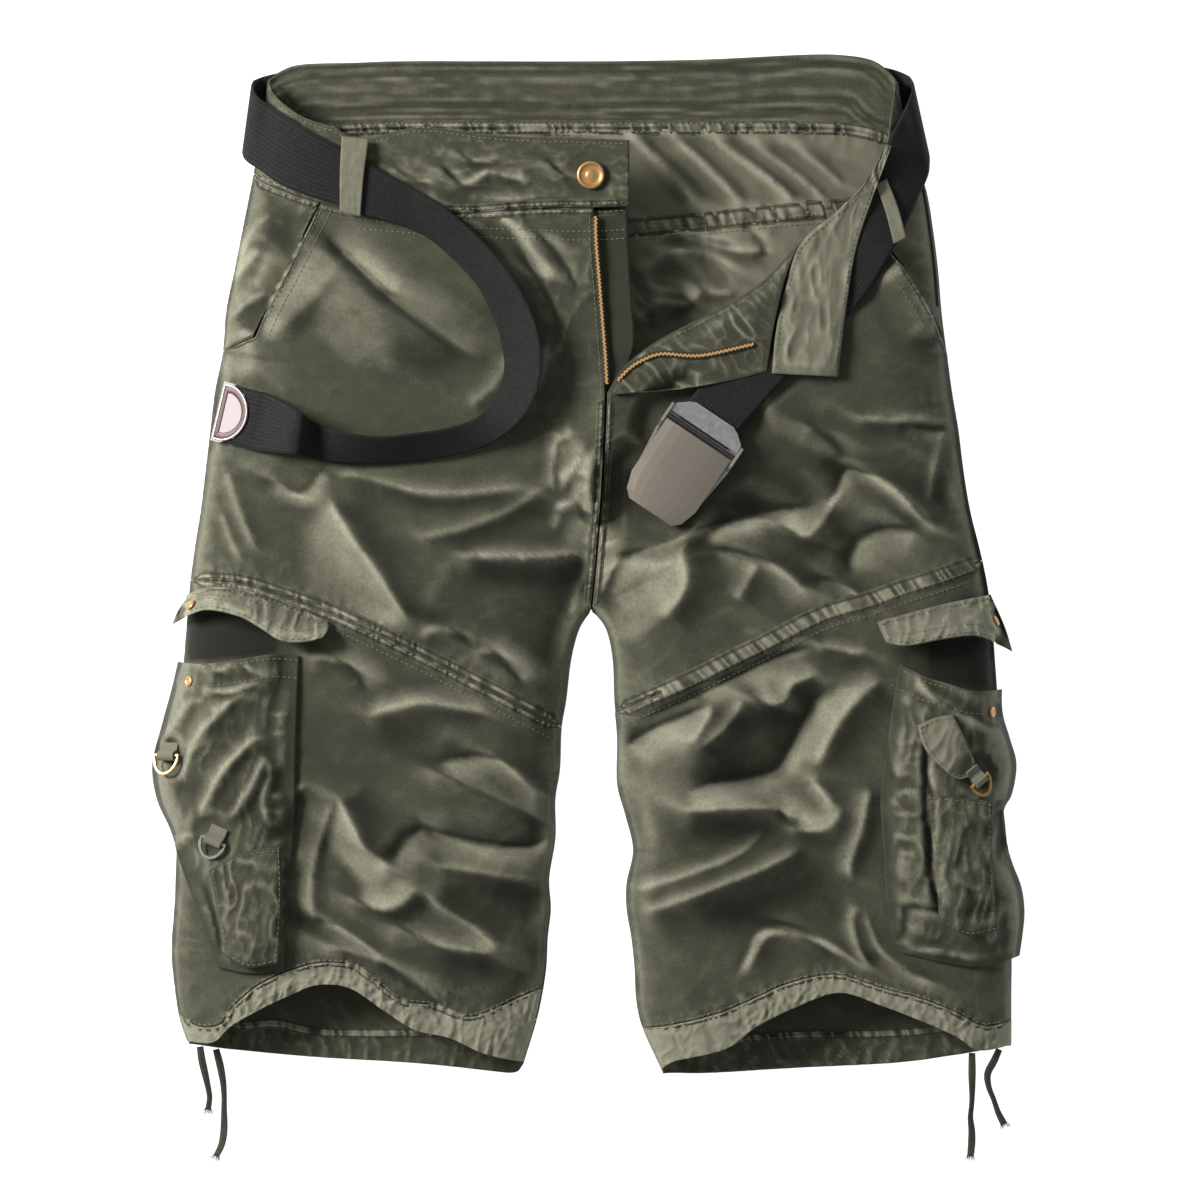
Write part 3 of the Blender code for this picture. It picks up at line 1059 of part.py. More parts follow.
def main():
    remove_scene_objects()
    olive = principled("olive_cotton", OLIVE, 0.9)
    olive_pale = principled("worn_olive_cotton", OLIVE_PALE, 0.9)
    olive_dark = principled("shaded_olive_cotton", OLIVE_DARK, 0.92)
    web = principled("black_webbing", BLACK_WEB, 0.8)
    string_cloth = principled("drawstring_tape", STRING_GREEN, 0.9)
    brass = principled("aged_brass", BRASS, 0.35, 1.0)
    silver = principled("bright_steel", SILVER, 0.25, 1.0)
    gunmetal = principled("brushed_gunmetal", GUNMETAL, 0.35, 1.0)
    dark_steel = principled("dark_steel", DARK_STEEL, 0.4, 1.0)
    make_back_loops(olive_pale)
    strap("belt_behind_waist", BELT_BEHIND, BELT_THICK, web, 1)
    make_backs(olive)
    make_waistband_back(olive)
    make_hip_panels(olive)
    make_fronts(olive)
    make_front_waistbands(olive)
    make_fly(olive_dark, brass)
    tip_ends = make_belt_tip(silver)
    strap("belt_tip_run", BELT_TIP_RUN, BELT_THICK, web, extra=tip_ends)
    buckle_ends = make_buckle(silver, gunmetal, dark_steel)
    strap("belt_buckle_run", BELT_BUCKLE_RUN, BELT_THICK, web, extra=buckle_ends)
    make_belt_loops(olive_pale)
    make_turned_corner(olive_pale, brass)
    make_pockets(olive, olive_pale)
    make_button_and_snaps(brass)
    for name, place, heading, half_bar, drop, metal in (
            ("pocket_ring_right", *RING_RIGHT, brass), ("d_ring_right", *D_RING_RIGHT, silver),
            ("pocket_ring_left", *RING_LEFT, brass)):
        make_ring(name, place, math.radians(heading), half_bar, drop, olive_pale, metal)
    make_drawstrings(string_cloth)


main()
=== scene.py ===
"""Dressing of belted cargo shorts laid flat on their back, front up, waist towards +Y.

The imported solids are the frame. Tables are in millimetres, measured from the middle of the
garment's outline: x to the viewer's right (the wearer's left), y towards the waist. The surface
that the shorts lie on is z = 0. "right" and "left" are the wearer's.
"""

import json
import math

import bpy
import numpy as np
from bpy.props import FloatProperty, FloatVectorProperty, PointerProperty
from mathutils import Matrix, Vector
from mathutils.bvhtree import BVHTree

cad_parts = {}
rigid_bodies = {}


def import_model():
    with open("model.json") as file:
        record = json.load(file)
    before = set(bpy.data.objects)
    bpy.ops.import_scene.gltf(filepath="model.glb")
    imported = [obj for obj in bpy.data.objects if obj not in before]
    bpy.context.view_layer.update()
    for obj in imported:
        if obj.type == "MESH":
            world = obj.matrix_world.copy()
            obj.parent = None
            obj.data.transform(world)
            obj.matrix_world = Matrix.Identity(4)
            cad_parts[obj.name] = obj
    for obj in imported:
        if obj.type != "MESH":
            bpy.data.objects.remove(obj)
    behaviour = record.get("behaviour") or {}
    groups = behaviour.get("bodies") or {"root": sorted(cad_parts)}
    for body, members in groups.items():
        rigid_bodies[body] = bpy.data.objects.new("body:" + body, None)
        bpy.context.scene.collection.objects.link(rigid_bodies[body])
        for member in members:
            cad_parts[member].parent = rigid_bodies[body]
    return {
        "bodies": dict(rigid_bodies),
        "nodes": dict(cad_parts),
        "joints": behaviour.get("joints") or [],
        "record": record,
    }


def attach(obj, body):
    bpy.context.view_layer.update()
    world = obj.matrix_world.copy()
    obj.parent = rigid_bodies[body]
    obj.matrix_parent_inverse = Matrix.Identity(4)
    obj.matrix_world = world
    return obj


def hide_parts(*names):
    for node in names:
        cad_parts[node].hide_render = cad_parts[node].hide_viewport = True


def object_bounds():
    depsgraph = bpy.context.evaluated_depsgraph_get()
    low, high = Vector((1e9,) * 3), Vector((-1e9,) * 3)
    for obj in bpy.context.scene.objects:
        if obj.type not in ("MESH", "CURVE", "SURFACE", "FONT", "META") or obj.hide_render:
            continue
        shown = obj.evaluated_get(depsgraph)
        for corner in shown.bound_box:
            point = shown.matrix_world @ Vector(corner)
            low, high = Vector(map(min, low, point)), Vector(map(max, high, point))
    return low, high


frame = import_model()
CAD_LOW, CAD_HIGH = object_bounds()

bl_info = {
    "name": "Cargo Shorts Dressing",
    "version": (1, 0, 0),
    "blender": (4, 5, 0),
    "location": "3D View > Sidebar > Shorts",
    "description": "Cloth, belt, metal, camera and light for a pair of laid cargo shorts",
    "category": "Object",
}

MM = 0.001

# Sizes that the solids are built to, in mm.
CLOTH = 1.6
BAND_CLOTH = 2.2
SEAM_GAP = 0.3
REST_GAP = 0.6
SLOPE_LIMIT = 1.5
BACK_CURL_HEIGHT = 7.0
BACK_CURL_WIDTH = 12.0
CLOSING_HEIGHT = BACK_CURL_HEIGHT + SLOPE_LIMIT * CLOTH + SEAM_GAP
DOME_WIDTH = 46.0
WAIST_RISE = 27.0
THIGH_RISE = 29.0
HEM_RISE = 21.0
FOLD_EASE = 16.0
BELT_WIDTH = 36.0
BELT_THICK = 2.0
STRAP_LIFT = 1.6
STRAP_SAG = 3.0
BAND_LIFT = BELT_THICK + 1.8
BAND_CURL = CLOSING_HEIGHT - SEAM_GAP - SLOPE_LIMIT * BAND_CLOTH - BAND_LIFT
HIP_TUCK = 5.0
HIP_CLEAR = 1.3
HIP_FOOT = 8.0
POCKET_BULGE = 9.0
POCKET_MOUTH_RISE = 11.0
FLAP_RISE = 13.0
SHIELD_DROP = 2.3
SHIELD_TUCK = 2.5
ORIGIN_SHIFT = (-0.52, 0.18)  # the tables' origin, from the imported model's

# Outlines, waist to hem. "right" and "left" are the wearer's.
SIDE_RIGHT = ((-199, 301), (-201, 284), (-204, 263), (-207, 247), (-210, 232), (-215, 207), (-220, 182),
    (-225, 157), (-227, 132), (-232, 108), (-235, 83), (-238, 58), (-241, 33), (-245, 8), (-248, -16),
    (-250, -41), (-252, -66), (-254, -91), (-255, -116), (-255, -147), (-256, -178), (-257, -209),
    (-259, -240), (-257, -264), (-254, -283), (-249, -299))
SIDE_LEFT = ((193, 301), (196, 284), (201, 263), (206, 247), (211, 232), (215, 207), (218, 182),
    (220, 157), (223, 132), (226, 108), (230, 83), (233, 58), (237, 33), (243, 8), (248, -16), (251, -41),
    (253, -66), (255, -91), (257, -116), (258, -147), (261, -178), (263, -209), (264, -240), (264, -264),
    (264, -283), (264, -300))
INSEAM_RIGHT = ((2, -30), (-5, -41), (-10, -60), (-13, -85), (-16, -103), (-17, -128), (-20, -147),
    (-20, -171), (-24, -196), (-23, -215), (-25, -233), (-26, -252), (-29, -271), (-33, -288),
    (-40, -312))
INSEAM_LEFT = ((3, -30), (11, -41), (15, -60), (16, -85), (18, -109), (18, -137), (23, -156), (28, -178),
    (24, -199), (24, -215), (27, -233), (29, -252), (30, -271), (34, -289), (47, -318))
CENTRE_SEAM = ((11, 105), (10, 77), (8, 39), (5, 2), (1.9, -30.1))
FLY_EDGE = ((4, 220), (4, 201), (6, 176), (8, 151), (10, 126), (11, 105))
WAIST_SEAM_RIGHT = ((-208, 243), (-202, 237), (-184, 229), (-165, 223), (-150, 219), (-134, 217),
    (-104, 217), (-73, 217), (-42, 219), (-17, 220), (4, 220), (26, 221))
WAIST_TOP_RIGHT = ((-199, 301), (-195, 292), (-187, 284), (-175, 276), (-157, 270), (-146, 264),
    (-134, 263), (-116, 268), (-98, 270), (-67, 266), (-42, 264), (-5, 263), (26, 262))
SLANT_RIGHT = ((-165, 223), (-173, 208), (-184, 184), (-196, 162), (-206, 140))
SLANT_LEFT = ((181, 201), (191, 188), (202, 172), (212, 156), (220, 140))
THIGH_SEAM_RIGHT = ((-247, -10), (-215, -12), (-188, -20), (-160, -30), (-129, -44), (-98, -59),
    (-67, -75), (-42, -88), (-16, -102))
THIGH_SEAM_LEFT = ((17, -93), (39, -83), (64, -72), (88, -60), (107, -51), (132, -38), (150, -30),
    (175, -23), (194, -16), (219, -8), (247, 2))
HEM_TOP_RIGHT = ((-255, -279), (-243, -287), (-228, -286), (-218, -273), (-202, -260), (-181, -251),
    (-164, -247), (-145, -249), (-131, -259), (-115, -271), (-96, -274), (-75, -281), (-59, -277),
    (-44, -270), (-29, -264))
HEM_LOW_RIGHT = ((-249, -297), (-232, -297), (-221, -287), (-202, -276), (-183, -267), (-167, -261),
    (-147, -263), (-126, -277), (-107, -289), (-86, -294), (-67, -303), (-54, -307), (-40, -310))
HEM_TOP_LEFT = ((34, -289), (53, -286), (86, -277), (122, -261), (147, -255), (161, -256), (182, -263),
    (208, -270), (228, -278), (246, -287), (264, -284))
HEM_LOW_LEFT = ((46, -315), (55, -309), (86, -301), (105, -287), (129, -275), (156, -266), (182, -274),
    (208, -284), (228, -293), (243, -302), (264, -299))
BACK_HEM_RIGHT = ((-248, -300), (-227, -303), (-173, -308), (-107, -312), (-67, -316), (-46, -318),
    (-40, -312))
BACK_HEM_TOP_RIGHT = ((-254, -283), (-218, -288), (-194, -287), (-170, -292), (-141, -293), (-91, -293),
    (-60, -295), (-31, -284))
BACK_HEM_LEFT = ((47, -318), (77, -318), (129, -315), (191, -312), (230, -307), (264, -301))
BACK_HEM_TOP_LEFT = ((36, -293), (77, -297), (129, -294), (191, -293), (230, -289), (264, -283))
BACK_WAIST_TOP = ((-199, 302), (-191, 308), (-178, 312), (-147, 313), (-116, 314), (-54, 314), (8, 314),
    (70, 315), (132, 318), (157, 318), (176, 315), (187, 308), (192, 302))
BACK_WAIST_SEAM = ((-205, 258), (-178, 269), (-147, 271), (-116, 272), (-54, 272), (8, 272), (70, 272),
    (132, 272), (169, 270), (202, 259))
YOKE_SEAM = ((-211, 222), (-160, 217), (-104, 212), (-42, 209), (3, 208), (57, 212), (107, 217),
    (163, 222), (214, 224))
BACK_THIGH_RIGHT = ((-247, -10), (-191, -29), (-116, -60), (-16, -102))
BACK_THIGH_LEFT = ((17, -93), (107, -57), (181, -26), (247, 2))
BACK_CENTRE = ((3, 208), (3, 151), (2, 89), (2, 27), (1.9, -30.1))

# The turned-out corner of the wearer's left front.
FOLD_LINE = ((13, 106), (23, 122), (42, 137), (64, 149), (91, 163), (112, 178), (130, 198))
FOLD_LINE_UPPER = ((130, 198), (152, 215), (169, 231), (179, 240))
CORNER_LOWER = ((16, 104), (42, 106), (70, 109), (95, 114), (111, 118))
BAND_END_SEAM = ((130, 198), (122, 176), (115, 145), (111, 118))
BAND_END_LEFT = ((184, 259), (171, 235), (153, 217), (132, 199), (123, 176), (116, 145), (113, 117))
BAND_END_TOP = ((188, 258), (177, 228), (166, 194), (160, 157), (155, 115))
WAISTBAND_LEFT_IN = ((192, 300), (189, 285), (187, 270), (184, 255), (179, 240))
WAISTBAND_LEFT_OUT = ((193, 300), (196, 283), (201, 263), (206, 247), (211, 231))

# Raised edges of the two slanted pocket mouths. Columns: name, height, width to the left and to
# the right of the line, then the line.
POCKET_EDGE_LIFTS = (
    ("right slant", 8.5, 28, 2, ((-171, 211), (-184, 184), (-206, 140))),
    ("left slant", 11.0, 2, 28, ((188, 192), (202, 172), (220, 140))),
)
# Puff of the front above its closing height. Columns: y, rise.
FRONT_RISE = ((-318, HEM_RISE), (-122, THIGH_RISE), (90, THIGH_RISE), (312, WAIST_RISE))

# Stations of the belt's strap. Columns: far edge x, y, height; near edge x, y, height; and 1
# where the heights are above whatever lies below, 0 where they are above the ground.
BELT_BEHIND = ((-160, 310, 2.5, -160, 274, 2.5, 0), (-73, 310, 2.5, -73, 274, 2.5, 0),
    (8, 310, 2.5, 8, 274, 2.5, 0), (88, 311, 2.5, 88, 275, 2.5, 0), (163, 312, 2.5, 163, 276, 2.5, 0))
BELT_TIP_RUN = ((-162, 310, 2.5, -162, 274, 2.5, 0), (-183, 308, 2.5, -186, 271, 2.5, 0),
    (-199, 305, 2.6, -206, 263, 3.4, 0), (-206, 302, 8.0, -212, 259, 8.0, 0),
    (-208, 299, 18.0, -214, 255, 16.0, 0), (-206, 291, 28.0, -212, 250, 25.0, 0),
    (-197, 284, 1.6, -202, 243, 1.6, 1), (-184, 275, 1.6, -191, 235, 1.6, 1),
    (-169, 266, 1.6, -175, 228, 1.6, 1), (-153, 257, 1.6, -156, 222, 1.6, 1),
    (-134, 246, 1.6, -139, 215, 1.6, 1), (-113, 235, 2.6, -119, 210, 1.8, 1),
    (-91, 222, 5.0, -100, 202, 2.0, 1), (-70, 204, 9.0, -82, 187, 2.0, 1),
    (-51, 183, 13.0, -67, 170, 2.0, 1), (-37, 160, 17.0, -57, 150, 2.0, 1),
    (-29, 134, 19.0, -52, 131, 2.0, 1), (-30, 109, 19.0, -52, 114, 2.4, 1),
    (-39, 90, 15.0, -59, 99, 5.0, 1), (-54, 77, 9.0, -70, 89, 9.0, 1), (-74, 69, 4.0, -88, 83, 13.0, 1),
    (-98, 64, 2.0, -108, 80, 16.0, 1), (-122, 62, 2.0, -129, 78, 17.0, 1),
    (-150, 62, 2.0, -152, 81, 16.0, 1), (-171, 65, 2.0, -170, 88, 12.0, 1),
    (-186, 68, 2.6, -180, 96, 6.0, 1))
BELT_BUCKLE_RUN = ((165, 312, 2.5, 165, 276, 2.5, 0), (184, 310, 2.5, 186, 274, 2.5, 0),
    (195, 307, 2.6, 202, 265, 3.4, 0), (201, 303, 8.0, 210, 260, 8.0, 0),
    (202, 297, 18.0, 212, 253, 16.0, 0), (200, 289, 28.0, 212, 244, 24.0, 0),
    (194, 277, 2.4, 209, 235, 1.8, 1), (186, 261, 3.4, 204, 225, 2.2, 1),
    (176, 243, 3.4, 197, 209, 2.2, 1), (163, 222, 1.6, 186, 189, 1.6, 1),
    (145, 199, 1.6, 173, 167, 1.6, 1), (126, 175, 1.6, 155, 146, 1.6, 1),
    (103, 152, 1.6, 135, 126, 1.6, 1), (85, 131, 1.6, 118, 111, 1.6, 1))
# Turned-out corner, fly, loops and pockets. A pocket lists its left, right, top and bottom.
SHIELD_EDGE = ((25, 219), (26, 188), (28, 157), (29, 135), (21, 113))
CHAIN_LEFT = ((19, 113), (26, 120), (34, 125), (46, 129), (70, 128), (102, 135))
LOOP_RIGHT_NEAR = ((-152, 264), (-153, 241), (-153, 217))
LOOP_RIGHT_FAR = ((-135, 262), (-138, 239), (-140, 214))
LOOP_LEFT_NEAR = ((178, 234), (184, 217), (189, 197))
LOOP_LEFT_FAR = ((185, 238), (192, 220), (197, 201))
POCKET_RIGHT = (
    ((-255, -61), (-259, -78), (-265, -100), (-271, -125), (-268, -147), (-260, -165), (-253, -185),
        (-243, -212), (-235, -233), (-229, -250)),
    ((-178, -57), (-179, -85), (-180, -122), (-181, -159), (-184, -196), (-186, -227), (-188, -252)),
    ((-255, -61), (-237, -62), (-215, -59), (-194, -56), (-178, -57)),
    ((-229, -250), (-209, -254), (-188, -252)),
)
POCKET_LEFT = (
    ((193, -62), (189, -85), (184, -122), (181, -147), (183, -178), (185, -209), (189, -230),
        (194, -241)),
    ((258, -78), (258, -92), (263, -109), (267, -125), (264, -144), (258, -154), (259, -168), (264, -185),
        (270, -201), (272, -216), (271, -230), (269, -244)),
    ((193, -62), (209, -70), (225, -75), (240, -79), (258, -78)),
    ((194, -241), (219, -247), (243, -250), (269, -244)),
)
FLAP_RIGHT = (
    ((-248, -19), (-254, -28), (-258, -38)),
    ((-160, -36), (-160, -41), (-163, -46)),
    ((-248, -19), (-237, -15), (-219, -15), (-191, -22), (-160, -36)),
    ((-258, -38), (-246, -32), (-234, -29), (-215, -33), (-202, -40), (-189, -48), (-175, -49),
        (-163, -46)),
)
FLAP_LEFT = (
    ((179, -36), (181, -42), (184, -49)),
    ((251, -19), (259, -38), (264, -55)),
    ((179, -36), (197, -31), (225, -24), (251, -19)),
    ((184, -49), (197, -51), (219, -47), (240, -45), (256, -51), (264, -55)),
)
SMALL_POCKET_RIGHT = (
    ((-233, -189), (-229, -212), (-224, -243)),
    ((-189, -175), (-188, -209), (-191, -247)),
    ((-233, -189), (-212, -178), (-189, -175)),
    ((-224, -243), (-209, -250), (-191, -247)),
)
SMALL_POCKET_LEFT = (
    ((209, -142), (213, -178), (217, -221)),
    ((250, -147), (250, -184), (253, -227)),
    ((209, -142), (228, -144), (250, -147)),
    ((217, -221), (234, -230), (253, -227)),
)
SMALL_FLAP_LEFT = (
    ((203, -100), (207, -113), (215, -123)),
    ((225, -93), (235, -113), (241, -129)),
    ((203, -100), (214, -95), (225, -93)),
    ((215, -123), (228, -133), (241, -129)),
)

# Hardware: places in plan, then sizes.
WAIST_BUTTON = (2, 240)
SNAPS = (
    ("snap_pocket_right", (-246, -73)),
    ("snap_flap_right", (-245, -26)),
    ("snap_pocket_left", (250, -92)),
    ("snap_flap_left", (253, -36)),
)
PLATE = 1.4
CHAIN_WIDTH = 3.2
POCKET_FOOT = 6.0
POCKET_DOME = 34.0
BUCKLE_PIN = (70, 78)
BUCKLE_HEADING = 236
BUCKLE_LENGTH = 58.0
BUCKLE_HALF_WIDTH = 26.5
BELT_TIP = (-215, 91)
BELT_TIP_HEADING = 165
TIP_HALF_WIDTH = 19.0
TIP_FOLD = 14.0
TIP_METAL = 0.9
BACK_LOOPS = (("belt_loop_back_right", -120), ("belt_loop_back_middle", 0), ("belt_loop_back_left", 120))
LOOP_WIDTH = 12.0
LOOP_TOP = 309.0
LOOP_LOW = 275.5
LOOP_CLOTH = 1.2
# Turned profiles: shares of the radius, and heights.
BUTTON_RADIUS = 8.7
BUTTON_PROFILE = ((0.5, 0.1), (0.5, 1.2), (0.93, 1.2), (0.99, 1.7), (1.0, 2.3), (0.985, 2.9), (0.94, 3.4),
    (0.88, 3.65), (0.82, 3.65), (0.77, 3.4), (0.74, 2.9), (0.7, 2.65), (0.5, 2.62), (0.33, 2.7), (0.27, 3.0),
    (0.2, 3.15), (0.1, 3.2))
SNAP_RADIUS = 3.4
SNAP_PROFILE = ((0.9, 0.05), (1.0, 0.35), (1.0, 0.7), (0.94, 1.05), (0.8, 1.4), (0.68, 1.5), (0.56, 1.4),
    (0.47, 1.15), (0.35, 1.1))
LATHE_CORE = 0.02  # radius left open in the middle of a turned form
# Cloth keeps the solids' heights at stiff pieces: button, belt tip, the buckle's hinge and its far
# end, rings, snaps. Columns: x, y, full reach, faded reach.
HARDWARE = [(*WAIST_BUTTON, 9, 9), (*BELT_TIP, 20, 12), (*BUCKLE_PIN, 34, 14), (42, 42, 30, 14),
    (-261, -120, 8, 8), (-232, -168, 8, 8), (240, -129, 8, 8)]
HARDWARE += [(x, y, 6, 8) for _, (x, y) in SNAPS]
# Solids that the belt's tip and buckle rest on.
CLOTH_BELOW_BELT = ("waistband_back", "hip_panel_right", "hip_panel_left", "front_upper_right",
    "front_upper_left", "front_lower_right", "front_lower_left", "waistband_right", "waistband_left",
    "fly_shield", "zip_chain_right", "back_upper_right", "back_upper_left", "back_yoke")

# How the cloth is laid again over its solids, in mm.
LIGHT_SIDE = math.radians(156)  # where the key light stands, from +X
FOLD_TILT = 0.74  # slope of a face with a tilt of 1
FOLD_SPREAD = 55.0  # folds wider than this flatten out
FOLD_END = 0.15  # share of a fold's line that fades out at each end
TILT_LIMIT = 1.4
LIFT_END = 0.22  # the same for a raised edge
LINE_SPANS = 5  # points of a fold's curve for each one listed
BACK_HOLLOW = 1.2  # deepest hollow of the back's inner face
BAND_ROWS = (4.0, 8.0, 28.5, 33.0, 37.0)  # sewn rows of the back waistband, from its top
FINE_FORM = 4.0  # wear and shade follow forms narrower than these two
BROAD_FORM = 11.0
SEATED_CLOTH = 1.12  # wall under a stiff piece, in thicknesses
BELT_COLUMNS = 25
LEAST_FLAT = 0.0101  # smallest side of a flat size, in metres
TOOTH_STEP = 1.25
TAPE_HALF_WIDTH = 2.2
TAPE_THICK = 0.5
STRING_SIDES = 16
FRAY_THREADS = 26
STITCH_GAP = 0.9
STITCH_SHARES = (0.0, 0.2, 0.8, 1.0)  # places along one stitch, then how high and thick it is there
STITCH_HEIGHTS = (-0.2, 0.2, 0.2, -0.2)
STITCH_RADII = (0.12, 0.32, 0.32, 0.12)
STITCH_SIDES = 5
STEEPEST_STITCH = 2.5  # a stitch whose cloth rises more is left out
SEAM_STEP = 0.9
SEAM_COLUMNS = 17
SEAM_SINK = 0.25  # how far a seam's edges sink into the cloth
SEAM_SKEW = 0.3  # slant of its puckers
CLOSED_TO = 160  # y at which the strip up the left side ends

# Stage, in metres.
VIEW_MIDDLE = (0.0072, -0.0225)
FRONT_HEIGHT = 0.03  # height at which the view's width is measured
KEY_DISTANCE = 2.3
KEY_SIZE = 0.9
KEY_COLOUR = (1.0, 0.985, 0.96)
FILL_COLOUR = (0.97, 0.985, 1.0, 1.0)
FLOOR_REACH = 4.0
FLOOR_DROP = -0.0004

CLOTH_STEP = 1.95
# Drawstrings: name, then the route's points x, y, height from the hem to the free end.
DRAWSTRINGS = (
    ("drawstring_right_outer", ((-242, -301.5, 2.2), (-241, -309, 2.2), (-239, -318, 2.2),
        (-237, -327, 2.2), (-236, -334, 2.2), (-237, -341, 2.2))),
    ("drawstring_right_inner", ((-232, -303.2, 2.2), (-230, -311, 2.2), (-228, -321, 2.2),
        (-227, -330, 2.2), (-227, -339, 2.2), (-227, -350, 2.2), (-228, -361, 2.2), (-232, -370, 2.2))),
    ("drawstring_left_inner", ((240, -305.5, 2.2), (240, -315, 2.2), (240, -325, 2.2), (240, -335, 2.2),
        (239, -346, 2.2), (240, -357, 2.2), (239, -370, 2.2))),
    ("drawstring_left_outer", ((257, -303.2, 2.2), (254, -310, 2.2), (250, -317, 2.2), (250, -325, 2.2),
        (253, -333, 2.2), (256, -342, 2.2), (260, -350, 2.2))),
)

